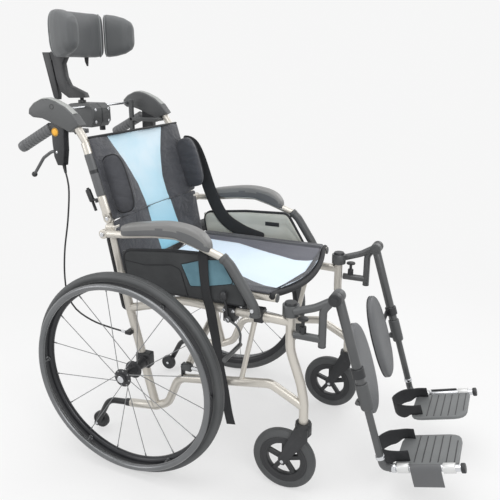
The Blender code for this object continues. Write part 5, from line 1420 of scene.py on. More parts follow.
@dataclass
class SideFrames:
    """The bent tubes of both sides, with their clamps, bosses and plugs."""

    x: float = TUBE_X
    radius: float = 0.0125
    lower: tuple[Point, ...] = (
        (-0.019, 0.150), (-0.062, 0.172), (-0.100, 0.262), (-0.385, 0.309), (-0.462, 0.270), (-0.475, 0.262)
    )
    front: tuple[Point, ...] = (
        (-0.437, 0.549), (-0.437, 0.420), (-0.468, 0.330), (-0.479, 0.2753), (-0.479, 0.2153)
    )
    upper: tuple[Point, ...] = ((0.050, 0.455), (-0.125, 0.506), (-0.437, 0.498))
    stub: tuple[Point, ...] = ((-0.019, 0.150), (0.072, 0.138))
    brace: tuple[Point, ...] = ((-0.341, 0.500), (-0.297, 0.296))
    axle_out: float = 0.288

    def build(self) -> None:
        """Builds both sides."""
        self.tubes()
        self.dark_bars()
        self.blocks()
        self.bolts()
        self.back_hinge()

    def tubes(self) -> None:
        """The champagne tubes."""
        radius = self.radius + SKIN
        made = [
            bent_tube("post_tube", at_x(self.x, POST), radius, 0.15),
            bent_tube("lower_tube", at_x(self.x, self.lower), radius, 0.045),
            bent_tube("front_tube", at_x(self.x, self.front), radius, 0.12),
            bent_tube("upper_tube", at_x(self.x, self.upper), radius, 0.12),
            rod("stub_tube", *at_x(self.x, self.stub), radius, 24, 0.0012),
            rod("brace_tube", *at_x(self.x, self.brace), 0.007 + SKIN, 20, 0),
        ]
        placed_pair(joined("side_tubes", made), "frame", PAINT, ["side_frame"])

    def dark_bars(self) -> None:
        """The thin black bar behind the rear post and the axle's long sleeve."""
        top_z, bottom_z, back = 0.660, 0.452, 0.022
        top, bottom = on_route(POST, top_z, 1), on_route(POST, bottom_z, 1)
        line = [
            (top, top_z + 0.006), (top + back, top_z), (bottom + back, bottom_z), (bottom, bottom_z - 0.006)
        ]
        bar = bent_tube("rear_bar", at_x(self.x, line), 0.005 + SKIN, 0.010, 16)
        sleeve = rod_x("axle_sleeve", self.x, self.axle_out - 0.0003, AXLE, 0.0141, 28, 0.0010)
        collar = rod_x("axle_collar", self.x + 0.016, self.x + 0.024, AXLE, 0.0170, 28, 0.0012)
        y, z = AXLE
        low, high = at(self.x - 0.015, y - 0.016, z - 0.022), at(self.x + 0.015, y + 0.030, z + 0.022)
        clamp = block("axle_clamp", low, high, 0.004)
        placed_pair(joined("dark_bars", [bar, sleeve, collar, clamp]), "frame", BLACK_PLASTIC, ["side_frame"])

    def blocks(self) -> None:
        """The seat rail's saddles, the cross arm's bracket, the brake's clamp and the armrest's mounts."""
        made = []
        for number, y in enumerate((-0.020, -0.300)):
            foot = on_route(self.upper, y, 0)
            made.append(block(
                f"saddle_{number}", at(0.2130, y - 0.015, foot - 0.004), at(0.2310, y + 0.015, 0.5437), 0.003
            ))
            made.append(rod_x(f"panel_boss_{number}", 0.222, 0.2409, (y, 0.5345), 0.0051, 16))
        reach = 0.0348
        for number, y in enumerate((-0.150 - reach, -0.150 + reach)):
            foot = on_route(self.lower, y, 0)
            made.append(
                block(f"lug_{number}", at(0.217, y - 0.0025, foot), at(0.235, y + 0.0025, 0.312), 0.0012)
            )
        brake_y, brake_z = BRAKE_PIVOT
        top = on_route(self.upper, brake_y, 0) + 0.013
        made.append(block(
            "brake_clamp", at(0.2105, brake_y - 0.0165, brake_z - 0.010), at(0.2459, brake_y + 0.0165, top),
            0.003,
        ))
        rest_y, rest_z = -0.352, 0.516
        made.append(rod_x("arm_rest", self.x, 0.2487, (rest_y, rest_z), 0.0102, 20, 0.001))
        made.append(block(
            "arm_rest_clamp", at(0.2120, rest_y - 0.013, 0.485), at(0.2400, rest_y + 0.013, 0.522), 0.003
        ))
        y = ARM_PIVOT[0]
        light = [rod_x("arm_boss", self.x, 0.2512, ARM_PIVOT, 0.0112, 22, 0.0012)]
        light.append(block("arm_clamp", at(0.2115, y - 0.0165, 0.661), at(0.2405, y + 0.0165, 0.699), 0.005))
        placed_pair(joined("arm_mount", light), "frame", PAINT, ["side_frame"])
        clip_y = on_route(POST, 0.3855, 1)
        made.append(block("cable_stop", at(0.2265, clip_y, 0.3805), at(0.2549, 0.0582, 0.3905), 0.0015))
        plug = rod("post_plug", at(self.x, -0.437, 0.546), at(self.x, -0.437, 0.5535), 0.0125, 22, 0.0015)
        placed_pair(joined("frame_fittings", [*made, plug]), "frame", BLACK_PLASTIC, ["side_frame"])

    def bolts(self) -> None:
        """The bright bolts and pins that show on both sides."""
        made = [
            rod("cross_pin", at(self.x, -0.1905, 0.302), at(self.x, -0.1095, 0.302), 0.0062, 18, 0.001),
            rod_x("arm_bolt", 0.245, 0.2772, ARM_PIVOT, 0.0052, 18, 0.001),
            rod_x("arm_bolt_head", 0.2755, 0.2785, ARM_PIVOT, 0.0066, 18, 0.0014),
            rod_x("brake_pin", 0.244, 0.2556, BRAKE_PIVOT, 0.0042, 18, 0.0006),
            rod_x("brake_pin_head", 0.2541, 0.2571, BRAKE_PIVOT, 0.0068, 6, 0.0008),
            rod_x("rest_bolt", self.x, 0.2435, (-0.3330, 0.5010), 0.0052, 18, 0.0010),
        ]
        for number, (y, z) in enumerate(((-0.2835, 0.5080), (-0.2565, 0.5080))):
            made.append(rod_x(f"clamp_bolt_{number}", 0.240, 0.2478, (y, z), 0.0046, 18, 0.0010))
        for number, y in enumerate((-0.0335, -0.3135)):
            made.append(
                rod_x(f"saddle_bolt_{number}", 0.2290, 0.2335, (y + 0.0135, 0.5190), 0.0040, 6, 0.0006)
            )
        placed_pair(joined("frame_bolts", made), "frame", STEEL, ["side_frame"])

    def back_hinge(self) -> None:
        """The champagne tongue of the back hinge on top of the rear post."""
        hinge = at(self.x, *CANE.start)
        eye = rod("tongue_eye", hinge - X_AXIS * 0.005, hinge + X_AXIS * 0.005, 0.0110, 26, 0.0006)
        y, z = CANE.start
        foot = block(
            "tongue_foot", at(self.x - 0.005, y - 0.009, z - 0.030), at(self.x + 0.005, y + 0.009, z), 0.0008
        )
        foot.data.transform(about(hinge, CANE.turn()))
        placed_pair(joined("back_tongue", [eye, foot]), "frame", PAINT, ["side_frame"])


@dataclass
class CrossArms:
    """The folding cross with the two seat rails."""

    rail_x: float = 0.222
    rail_z: float = 0.555
    rail: Point = (-0.400, 0.052)
    pivot_x: float = TUBE_X
    pivot_z: float = 0.302
    middle_y: float = -0.150
    spacing: float = 0.040
    radius: float = 0.011

    def build(self) -> None:
        """Builds both arms, each with the other side's seat rail."""
        for side in Side:
            self.arm(side)

    def arm(self, side: Side) -> None:
        """One arm with its eye, its rail and the rail's end plugs."""
        sign = side.value
        y = self.middle_y - sign * self.spacing / 2
        pivot, far = at(sign * self.pivot_x, y, self.pivot_z), at(-sign * self.rail_x, y, self.rail_z)
        way = (far - pivot).normalized()
        tube = rod("cross_tube", pivot + way * 0.012, far, self.radius + SKIN, 24, 0)
        rail_ends = [at(-sign * self.rail_x, end, self.rail_z) for end in self.rail]
        rail = rod("rail_tube", *rail_ends, self.radius + SKIN, 24, 0.001)
        piece = joined(f"cross_{side.word}", [tube, rail])
        placed(piece, f"{side.word}_cross", PAINT, [f"cross_arm_{side.word}"])
        section = both_ways([(0.0056, -0.012), (0.0112, -0.012), (0.0118, -0.0112)])
        eye = turned("cross_eye", section, pivot, 28, Y_AXIS)
        plugs = [
            rod(
                "rail_plug", rail_ends[0] - Y_AXIS * 0.0005, rail_ends[0] + Y_AXIS * 0.004, 0.0114, 24, 0.0012
            ),
            rod(
                "rail_plug_rear", rail_ends[1] - Y_AXIS * 0.004, rail_ends[1] + Y_AXIS * 0.0005, 0.0114, 24,
                0.0012,
            ),
        ]
        middle = pivot.lerp(far, self.pivot_x / (self.pivot_x + self.rail_x))
        spacer = rod("cross_spacer", middle, middle + Y_AXIS * sign * 0.0198, 0.0100, 24, 0.0004)
        dark = joined(f"cross_fittings_{side.word}", [eye, *plugs, spacer])
        placed(dark, f"{side.word}_cross", PLASTIC, [f"cross_arm_{side.word}"])
        bolt = rod(
            f"cross_bolt_{side.word}", middle - Y_AXIS * sign * 0.0145, middle - Y_AXIS * sign * 0.006,
            0.0062, 6, 0.0008,
        )
        placed(bolt, f"{side.word}_cross", STEEL)


@dataclass
class Canes:
    """The upper back posts with their fold brackets, sleeves, handles, levers and buttons."""

    x: float = TUBE_X
    cover: tuple[Point, ...] = (
        (-0.017, 0.013), (0.004, 0.040), (0.030, 0.060), (0.062, 0.074), (0.086, 0.080), (0.110, 0.078),
        (0.138, 0.066), (0.156, 0.050), (0.158, 0.038), (0.144, 0.029), (0.112, 0.027), (0.090, 0.020),
        (0.060, 0.008), (0.038, 0.000), (0.020, -0.008),
    )
    housing: tuple[Point, ...] = (
        (0.086, -0.040), (0.084, -0.078), (0.074, -0.102), (0.054, -0.102), (0.046, -0.060), (0.044, -0.020),
        (0.040, 0.012), (0.085, 0.022),
    )
    cover_half: float = 0.0165
    housing_half: float = 0.0120
    grip_root: Point = (0.092, 0.001)
    grip_tip: Point = (0.210, -0.061)
    button: Point = (0.072, -0.009)
    lever: tuple[Point, ...] = ((0.072, -0.065), (0.100, -0.066), (0.132, -0.086), (0.172, -0.136))

    def build(self) -> None:
        """Builds both sides."""
        self.bracket()
        self.tubes()
        self.handle()
        self.grip()
        self.buttons()
        self.levers()
        self.stabiliser_clips()

    def leaning(
        self, name: str, half_x: float, across: Point, along: Point, round_by: float, x: float | None = None
    ) -> Piece:
        """A block given across and along the cane.

        Args:
            name: Its name.
            half_x: Half its width.
            across: From where to where across the cane.
            along: From where to where along it.
            round_by: The width of its rounded edges.
            x: Its middle, if not the cane's own.

        Returns:
            The block.
        """
        x = self.x if x is None else x
        y, z = CANE.start
        low, high = at(x - half_x, y + across[0], z + along[0]), at(x + half_x, y + across[1], z + along[1])
        piece = block(name, low, high, round_by)
        piece.data.transform(about(at(x, y, z), CANE.turn()))
        return piece

    def bracket(self) -> None:
        """The champagne fold bracket: two cheeks with bolts, under the dark casing."""
        made = []
        for number, sign in enumerate((-1, 1)):
            inner, outer = at(self.x + sign * 0.0056, *CANE.start), at(self.x + sign * 0.0125, *CANE.start)
            made.append(rod(f"cheek_{number}", inner, outer, 0.0125, 30, 0.0010))
            made.append(self.leaning(
                f"cheek_arm_{number}", 0.0034, (-0.0118, 0.0118), (0.0, 0.0175), 0.0008,
                self.x + sign * 0.0091,
            ))
        made.append(self.leaning("bracket_bridge", 0.0122, (-0.0112, 0.0112), (0.0130, 0.0175), 0.001))
        placed_pair(joined("fold_bracket", made), "back", PAINT, ["cane"])
        pin = rod_x("fold_pin", self.x - 0.0140, self.x + 0.0140, CANE.start, 0.0058, 20, 0.0016)
        placed_pair(pin, "back", STEEL, ["cane"])

    def tubes(self) -> None:
        """The dark casing with its release ears, and the champagne tube up to the handle."""
        ring = [
            (0.0, 0.0135), (0.0145, 0.0135), (0.0157, 0.0147), (0.0157, 0.0600), (0.0150, 0.0635),
            (0.0, 0.0640),
        ]
        way = CANE.run()
        casing = turned("cane_casing", ring, CANE.at(self.x, 0), 32, way, ring=False)
        ears = [
            self.leaning(
                f"release_ear_{number}", 0.0015, (0.0100, 0.0245), (0.050, 0.062), 0.0006,
                self.x + sign * 0.0075,
            )
            for number, sign in enumerate((-1, 1))
        ]
        placed_pair(casing, "back", PAINT, ["cane"])
        placed_pair(joined("release_ears", ears), "back", BLACK_PLASTIC, ["cane"])
        cover = [(0.0149, 0.0652), (0.0157, 0.0668), (0.0159, 0.0700), (0.0159, 0.1260)]
        cover += [(0.0159, 0.1420), (0.0159, 0.1800), (0.0156, 0.1830), (0.0149, 0.1840)]
        placed_pair(turned("cane_sleeve", cover, CANE.at(self.x, 0), 32, way), "back", PAD_RUBBER, ["cane"])
        tube = rod("cane_tube", CANE.at(self.x, 0.060), CANE.at(self.x, 0.216), 0.0145 + SKIN, 28, 0.0012)
        line = [CANE.at(self.x, 0.204), CANE.at(self.x, 0.216)]
        line += at_x(self.x, [from_top((0.0, 0.0)), from_top((0.010, 0.015))])
        neck = bent_tube("cane_neck", line, 0.0112, 0.045)
        placed_pair(joined("cane_tubes", [tube, neck]), "back", PAINT, ["cane"])
        ring = [(0.0146, 0.128), (0.0160, 0.129), (0.0160, 0.139), (0.0146, 0.140)]
        placed_pair(turned("belt_clamp", ring, CANE.at(self.x, 0), 28, way), "back", BLACK_PLASTIC, ["cane"])

    def handle(self) -> None:
        """The arched cover with a strip of painted highlight, the brake housing under it and the dark disc at
        the cover's hole.
        """
        placed_pair(
            self.moulding("handle_cover", self.cover, self.cover_half, 0.0045), "back", PLASTIC, ["cane"], 60
        )
        # A flattened light strip along the cover's top slope: a painted highlight where light catches the
        # cover.
        highlight_line = [(x + 0.002, z + 0.0012) for x, z in self.cover[1:8]]
        strip = bent_tube("cover_edge", at_x(self.x, [from_top(point) for point in highlight_line]), 0.0030, 0.02, 12)
        strip.data.transform(about(X_AXIS * self.x, Matrix.Diagonal((3.6, 1, 1, 1))))
        placed_pair(strip, "back", HIGHLIGHT_STRIP, ["cane"], 60)
        placed_pair(
            self.moulding("brake_housing", self.housing, self.housing_half, 0.0030), "back", BLACK_PLASTIC,
            ["cane"], 60,
        )
        # A black disc with a thin lip lies flush where the cover's hole is; its dark middle is painted shade
        # for the hole's inside.
        hole = at(self.x + self.cover_half - 0.0004, *from_top((0.072, 0.060)))
        rim = [
            (0, -0.0002), (0.0050, -0.0002), (0.0056, 0.0010), (0.0070, 0.0010), (0.0076, 0.0), (0.0, -0.001)
        ]
        placed_pair(turned("cover_hole", rim, hole, 24, ring=False), "back", SHEATH)

    def moulding(self, name: str, outline: Sequence[Point], half: float, round_by: float) -> Piece:
        """A slab round the cane's plane, with its outline given from the top of the cane."""
        return slab(name, [from_top(point) for point in outline], self.x - half, self.x + half, round_by)

    def grip(self) -> None:
        """The soft push grip with its rings and its rounded end."""
        root, tip = at_x(self.x, [from_top(self.grip_root), from_top(self.grip_tip)])
        way, length = (tip - root).normalized(), (tip - root).length
        outline = [(0, 0.0003), (0.0150, 0.0003), (0.0160, 0.0015), (0.0160, 0.0050)]
        for start in (0.012 + number * 0.0118 for number in range(9)):
            outline += [
                (0.0158, start), (0.0146, start + 0.0012), (0.0146, start + 0.0024), (0.0160, start + 0.0036)
            ]
        outline += [
            (0.0160, length - 0.010), (0.0150, length - 0.003), (0.0125, length - 0.0004), (0, length)
        ]
        outline = [(radius, min(along, length)) for radius, along in outline]
        grip = turned("push_grip", outline, root, 40, way, ring=False)
        placed_pair(grip, "back", PAD_RUBBER, ["grip"], 50)

    def buttons(self) -> None:
        """The orange push button in its ochre ring."""
        place = at(self.x + self.housing_half, *from_top(self.button))
        cap = [
            (0, -0.0026), (0.0094, -0.0026), (0.0094, 0.0012), (0.0086, 0.0024), (0.0060, 0.0029), (0, 0.0030)
        ]
        placed_pair(turned("button_cap", cap, place, 32, ring=False), "button", ORANGE, ["handle_button"], 50)
        ring = [(0.0098, -0.0005), (0.0118, -0.0005), (0.0122, 0.0006), (0.0116, 0.0013), (0.0100, 0.0013)]
        placed_pair(turned("button_ring", ring, place, 32), "back", OCHRE)

    def levers(self) -> None:
        """The slim curved brake lever with its ball, and the release lever behind the casing."""
        points = at_x(self.x, [from_top(point) for point in self.lever])
        bar = bent_tube("hand_lever", points, 0.0046, 0.030, 16)
        eye = rod("lever_eye", points[0] - X_AXIS * 0.0041, points[0] + X_AXIS * 0.0041, 0.0074, 24, 0.0008)
        placed_pair(joined("hand_lever", [bar, eye]), "lever", DARK_PAINT, ["brake_lever"], 50)
        placed_pair(
            ball("lever_ball", points[-1], (0.0082, 0.0082, 0.0082)), "lever", BLACK_PLASTIC, ["brake_lever"],
            60,
        )
        pin = rod("lever_pin", points[0] - X_AXIS * 0.0126, points[0] + X_AXIS * 0.0126, 0.0036, 14, 0.0005)
        placed_pair(pin, "back", STEEL)
        release = merged_copy("release_lever_left", "release_paddle", 0.0008)
        ends = at_x(self.x, [(0.1745, 0.7925), (0.1600, 0.7570)])
        pad = rod("release_pad", *ends, 0.0078, 28, 0.0042)
        placed_pair(joined("release_paddle", [release, pad]), "release", BLACK_PLASTIC, ["release_lever"], 50)

    def stabiliser_clips(self) -> None:
        """The arms for the stabiliser's rod: a peg on the right, an open clip with a cap on the left."""
        y, z = from_top((0.010, -0.008))
        rear = 0.3017
        for side in Side:
            sign, word = side.value, side.word
            lows = [(0.176, y - 0.0062, z - 0.0062), (0.176, rear - 0.013, 0.908)]
            highs = [(0.190, rear - 0.002, z + 0.0062), (0.190, rear, 1.014)]
            made = [rod_x(f"clip_bar_{word}", sign * 0.226, sign * 0.183, (y, z), 0.0062, 18)]
            for number, (low, high) in enumerate(zip(lows, highs)):
                ends = sorted((sign * low[0], sign * high[0]))
                made.append(
                    block(f"clip_{number}_{word}", at(ends[0], *low[1:]), at(ends[1], *high[1:]), 0.002)
                )
            if side is Side.LEFT:
                made.append(
                    block("clip_shelf", at(0.176, rear - 0.004, 0.9927), at(0.190, 0.312, 0.9987), 0.0012)
                )
                made.append(rod(
                    "clip_cap", at(0.183, rear - 0.004, 0.905), at(0.183, rear + 0.006, 0.905), 0.0085, 20,
                    0.0012,
                ))
            else:
                made.append(rod(
                    "clip_peg", at(-0.183, rear - 0.004, 1.003), at(-0.183, 0.3132, 1.003), 0.0031, 14, 0.0004
                ))
            placed(joined(f"stabiliser_clip_{word}", made), f"{word}_back", PLASTIC, [f"cane_{word}"])


@dataclass
class Stabiliser:
    """The cross rod with its clamp block, and the headrest's stem."""

    half: float = 0.045
    rod_y: float = 0.306
    rod_z: float = 1.003
    post_y: float = 0.352

    def build(self) -> None:
        """Builds the block, the rod, the knobs and the stem."""
        self.block()
        self.rod()
        self.stem()

    def block(self) -> None:
        """The moulded block in two halves with its knobs and screws."""
        outline = [
            (0.278, 0.957), (0.290, 0.941), (0.354, 0.941), (0.384, 0.965), (0.378, 1.006), (0.364, 1.012),
            (0.296, 1.012), (0.278, 0.998),
        ]
        body = slab("clamp_block", outline, -self.half, self.half, 0.004)
        placed(body, "stabiliser", PLASTIC, ["stabiliser_bar"], 50)
        belt = [(y * 1.004 - 0.00132, z * 1.002 - 0.00196) for y, z in outline]
        split = slab("clamp_waist", belt, -0.0035, 0.0035, 0.0012)
        knob = rod("height_knob", at(0.026, 0.300, 0.927), at(0.026, 0.300, 0.951), 0.0092, 28, 0.0016)
        ring = [(0.0066, 0.0), (0.0125, 0.0), (0.0125, 0.006), (0.0110, 0.0085), (0.0066, 0.0085)]
        collar = turned("stem_collar", ring, at(0, self.post_y, 1.0122), 28, Z_AXIS)
        placed(joined("clamp_fittings", [split, knob, collar]), "stabiliser", BLACK_PLASTIC)
        screws = []
        head = [
            (0, -0.001), (0.0048, -0.001), (0.0048, 0.0006), (0.0038, 0.0016), (0.0016, 0.0016),
            (0.0012, 0.0004),
        ]
        head.append((0, 0.0004))
        for x in (-0.032, 0.032):
            for z in (0.957, 0.994):
                screws.append(turned("clamp_screw", head, at(x, 0.278, z), 20, -Y_AXIS, ring=False))
        placed(joined("clamp_screws", screws), "stabiliser", STEEL)

    def rod(self) -> None:
        """The thin light rod across the back."""
        bar = rod_x("cross_rod", -0.176, 0.191, (self.rod_y, self.rod_z), 0.0040 + SKIN, 20, 0.0010)
        ring = turned(
            "rod_eye",
            [(0.0035, -0.0040), (0.0074, -0.0040), (0.0076, 0.0), (0.0074, 0.0098), (0.0035, 0.0098)],
            at(-0.183, self.rod_y, self.rod_z), 24, Y_AXIS,
        )
        ring.data.transform(Matrix.Translation((0, -0.0040, 0)))
        placed(joined("stabiliser_rod", [bar, ring]), "stabiliser", STEEL)

    def stem(self) -> None:
        """The black bent stem with its tilt bracket."""
        body = merged_copy("headrest_stem", "stem_body", 0.0012)
        placed(body, "stem", BLACK_PLASTIC, ["headrest_stem"], 45)
        bolt = rod_x("tilt_bolt", -0.0215, 0.0215, (0.418, 1.158), 0.0060, 18, 0.0014)
        placed(bolt, "stem", STEEL)


# Armrests, leg rests and brakes


@dataclass
class Armrests:
    """The lifting arm tubes with their dark lower sleeves and the padded tops."""

    x: float = 0.262
    tube: tuple[Point, ...] = (
        (0.040, 0.684), (-0.060, 0.697), (-0.130, 0.700), (-0.185, 0.685), (-0.270, 0.655)
    )
    sleeve: tuple[Point, ...] = (
        (-0.262, 0.661), (-0.285, 0.640), (-0.330, 0.572), (-0.352, 0.535), (-0.354, 0.512)
    )
    pad_top: tuple[Point, ...] = (
        (0.040, 0.716), (-0.090, 0.736), (-0.160, 0.734), (-0.205, 0.720), (-0.232, 0.697)
    )
    half: float = 0.020

    def build(self) -> None:
        """Builds both armrests."""
        bar = bent_tube("arm_bar", at_x(self.x, [ARM_PIVOT, *self.tube]), 0.010 + SKIN, 0.06)
        eye = rod_x("arm_eye", self.x - 0.0105, self.x + 0.0105, ARM_PIVOT, 0.0132, 28, 0.0012)
        placed_pair(joined("arm_light", [bar, eye]), "arm", PAINT, ["arm_tube"])
        sleeve = bent_tube("arm_sleeve", at_x(self.x, self.sleeve), 0.0130 + SKIN, 0.05)
        y, z = self.sleeve[-1]
        foot = rod("arm_foot", at(self.x, y, z + 0.010), at(self.x, y, z - 0.0008), 0.0142, 28, 0.0030)
        cuff = rod("arm_cuff", at(self.x, -0.2640, 0.6575), at(self.x, -0.2705, 0.6525), 0.0146, 28, 0.0014)
        placed_pair(joined("arm_dark", [sleeve, foot, cuff]), "arm", PLASTIC, ["arm_tube"])
        bolt = rod_x("arm_foot_bolt", 0.2752, 0.2782, (y + 0.004, z + 0.020), 0.0055, 20, 0.0012)
        placed_pair(bolt, "arm", STEEL)
        self.pads()

    def pads(self) -> None:
        """The moulded pads: a crowned top in a lighter grey that is painted sheen, over a dark underside,
        hugging the tube.
        """
        route = smooth_route(at_x(self.x, self.pad_top), 0.012)
        rings = []
        for index, point in enumerate(route):
            share = (0.62, 0.84, 0.95, 1.0)[min(index, len(route) - 1 - index, 3)]
            half = self.half * share
            floor = on_route(self.tube, point.y - SHIFT, 0) - 0.002 + 0.004 * (1 - share)
            top = point.z - 0.016 * (1 - share)
            side = [
                (0.62, floor), (0.94, floor + 0.0015), (1.0, floor + 0.006), (1.01, (floor + top) / 2),
                (1.0, top - 0.010), (0.95, top - 0.0055), (0.80, top - 0.0022), (0.50, top - 0.0004),
            ]
            ring = [Vector((self.x - half * across, point.y, z)) for across, z in side]
            ring.append(Vector((self.x, point.y, top)))
            ring += [Vector((self.x + half * across, point.y, z)) for across, z in reversed(side)]
            rings.append(ring)
        pad = softened(lofted("arm_pad_top", rings))
        # The faces near the top get the lighter grey, a painted highlight; the rest get the plain dark
        # rubber.
        choose_finish(pad, lambda middle: 0 if middle.z > on_route(self.pad_top, middle.y, 0) - 0.017 else 1)
        for piece in placed_pair(pad, "arm", (ARM_PAD_LIT_TOP, PAD_RUBBER), ["arm_pad"], 60):
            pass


def lofted(name: str, rings: Sequence[Sequence[Vector]], closed: bool = True) -> Piece:
    """Bridges a row of rings with equal numbers of points into one closed skin.

    Args:
        name: The piece's name.
        rings: The rings of points.
        closed: Whether the first and last ring are capped.

    Returns:
        The piece, facing outwards.
    """
    mesh = bpy.data.meshes.new(name)
    builder = bmesh.new()
    rows = [[builder.verts.new(point) for point in ring] for ring in rings]
    count = len(rows[0])
    for row, after in zip(rows, rows[1:]):
        for index in range(count):
            following = (index + 1) % count
            builder.faces.new((row[index], row[following], after[following], after[index]))
    if closed:
        builder.faces.new(rows[0])
        builder.faces.new(rows[-1])
    bmesh.ops.recalc_face_normals(builder, faces=builder.faces)
    builder.to_mesh(mesh)
    builder.free()
    return linked(name, mesh)


@dataclass
class LegRests:
    """The swing-away hangers, leg tubes, foot tubes and footplates."""

    post_x: float = TUBE_X
    post_y: float = -0.437
    hanger_x: float = 0.238
    leg_x: float = LEG_X
    leg_y: float = -0.525
    length: float = LEG_LENGTH
    hinge_x: float = 0.195
    hinge_along: float = 0.487

    def build(self) -> None:
        """Builds both leg rests."""
        self.sleeves()
        self.hangers()
        self.legs()
        self.feet()
        self.covers()
        self.plates()

    def sleeves(self) -> None:
        """The dark sleeve on the front post that the hanger turns on."""
        outline = [
            (0.0134, 0.514), (0.0156, 0.514), (0.0161, 0.5146), (0.0161, 0.5526), (0.0154, 0.5535),
            (0.0, 0.5542), (0.0, 0.5495), (0.0134, 0.5495),
        ]
        sleeve = turned("post_sleeve", outline, at(self.post_x, self.post_y, 0), 32, Z_AXIS)
        placed_pair(sleeve, "sleeve", BLACK_PLASTIC, ["hanger_sleeve"])

    def hangers(self) -> None:
        """The dark hanger frame with its eye, latch bar and T-knob."""
        upper = [(self.post_y - 0.014, 0.534), (self.leg_y + 0.020, 0.553), (-0.551, 0.581)]
        front = [(-0.545, 0.575), (self.leg_y, 0.550), (self.leg_y, 0.452)]
        made = [
            bent_tube("hanger_upper", at_x(self.hanger_x, upper), 0.0100 + SKIN, 0.08),
            bent_tube("hanger_front", at_x(self.hanger_x, front), 0.0100 + SKIN, 0.03),
            rod(
                "hanger_latch_bar",
                *at_x(self.hanger_x, [(self.leg_y, 0.471), (self.post_y - 0.0133, 0.471)]),
                0.0100 + SKIN, 24, 0.0010,
            ),
        ]
        eye = [
            (0.0167, 0.5168), (0.0214, 0.5168), (0.0221, 0.5178), (0.0221, 0.5458), (0.0214, 0.5470),
            (0.0167, 0.5470),
        ]
        made.append(turned("hanger_eye", eye, at(self.post_x, self.post_y, 0), 36, Z_AXIS))
        placed_pair(joined("hanger_tubes", made), "hanger", DARK_PAINT, ["hanger"])
        knuckle = rod_x("knuckle", 0.2278, 0.2492, LEG.start, 0.0167, 36, 0.0022)
        plug = rod(
            "hanger_plug", at(self.hanger_x, self.leg_y, 0.4545), at(self.hanger_x, self.leg_y, 0.4500),
            0.0103, 24, 0.0012,
        )
        latch = at(self.hanger_x, self.leg_y + 0.051, 0.471)
        post = rod("latch_post", latch + Z_AXIS * 0.006, latch + Z_AXIS * 0.046, 0.0045, 18, 0)
        spring = rod("latch_barrel", latch + Z_AXIS * 0.008, latch + Z_AXIS * 0.027, 0.0090, 24, 0.0016)
        bar = rod("latch_knob", latch + Z_AXIS * 0.0435, latch + Z_AXIS * 0.0495, 0.0140, 28, 0.0020)
        placed_pair(
            joined("hanger_fittings", [knuckle, plug, post, spring, bar]), "hanger", BLACK_PLASTIC, ["hanger"]
        )
        cap = [(0, 0.0), (0.0090, 0.0), (0.0086, 0.0020), (0.0060, 0.0030), (0, 0.0032)]
        placed_pair(
            turned("knuckle_cap", cap, at(0.2490, *LEG.start), 28, ring=False), "hanger", BLACK_PLASTIC
        )

    def legs(self) -> None:
        """The sloping leg tube with its knuckle, clamp and height screw."""
        tube = rod(
            "leg_bar", LEG.at(self.leg_x, 0), LEG.at(self.leg_x, self.length), 0.0125 + SKIN, 28, 0.0008
        )
        placed_pair(tube, "leg", DARK_PAINT, ["leg_tube"])
        clamp = turned("leg_clamp", [
            (0.0126, 0.2350), (0.0150, 0.2350), (0.0163, 0.2362), (0.0166, 0.2500), (0.0166, 0.2960),
            (0.0160, 0.3030), (0.0146, 0.3052), (0.0100, 0.3056), (0.0100, 0.3000), (0.0126, 0.2990),
        ], LEG.at(self.leg_x, 0), 32, LEG.run())
        knuckle = rod_x(
            "leg_knuckle", self.leg_x - 0.0128, self.leg_x + 0.0128, LEG.start, 0.0166, 36, 0.0020
        )
        y, z = LEG.point(self.length - 0.020, 0.0205)
        screw = rod_x("height_screw", self.leg_x - 0.009, self.leg_x + 0.009, (y, z), 0.0062, 22, 0.0014)
        ear = block(
            "screw_ear", at(self.leg_x - 0.0052, y - 0.010, z - 0.008),
            at(self.leg_x + 0.0052, y + 0.001, z + 0.008), 0.0014,
        )
        placed_pair(joined("leg_fittings", [clamp, knuckle, screw, ear]), "leg", PLASTIC, ["leg_tube"])

    def feet(self) -> None:
        """The bright foot tube that ends in the footplate's hinge rod, with its black cap."""
        corners = [LEG.at(self.leg_x, self.length - 0.050), LEG.at(self.leg_x, 0.437)]
        corners += [
            LEG.at(self.leg_x - 0.004, self.hinge_along - 0.014),
            LEG.at(self.hinge_x, self.hinge_along, -0.016),
        ]
        tube = bent_tube("foot_bar", corners, 0.0095 + SKIN, 0.03)
        rear, front = (LEG.at(self.hinge_x, self.hinge_along, across) for across in (-0.013, -0.196))
        hinge = rod("hinge_bar", rear, front, 0.0085 + SKIN, 24, 0.0008)
        placed_pair(tube, "foot", DARK_PAINT, ["foot_tube"])
        elbow = LEG.at(self.leg_x, 0.437)
        ring = rod("foot_ring", elbow, LEG.at(self.leg_x, 0.447), 0.0122, 28, 0.0016)
        socket = rod(
            "hinge_socket", rear + (front - rear) * 0.02, rear + (front - rear) * 0.085, 0.0118, 28, 0.0016
        )
        placed_pair(joined("foot_steel", [hinge, ring, socket]), "foot", STEEL, ["foot_tube"])
        way = (front - rear).normalized()
        cap = rod("hinge_cap", front - way * 0.005, front + way * 0.006, 0.0125, 28, 0.0022)
        back_cap = rod("hinge_back_cap", rear - way * 0.004, rear + way * 0.004, 0.0100, 24, 0.0016)
        placed_pair(joined("hinge_caps", [cap, back_cap]), "foot", BLACK_PLASTIC, ["foot_tube"])

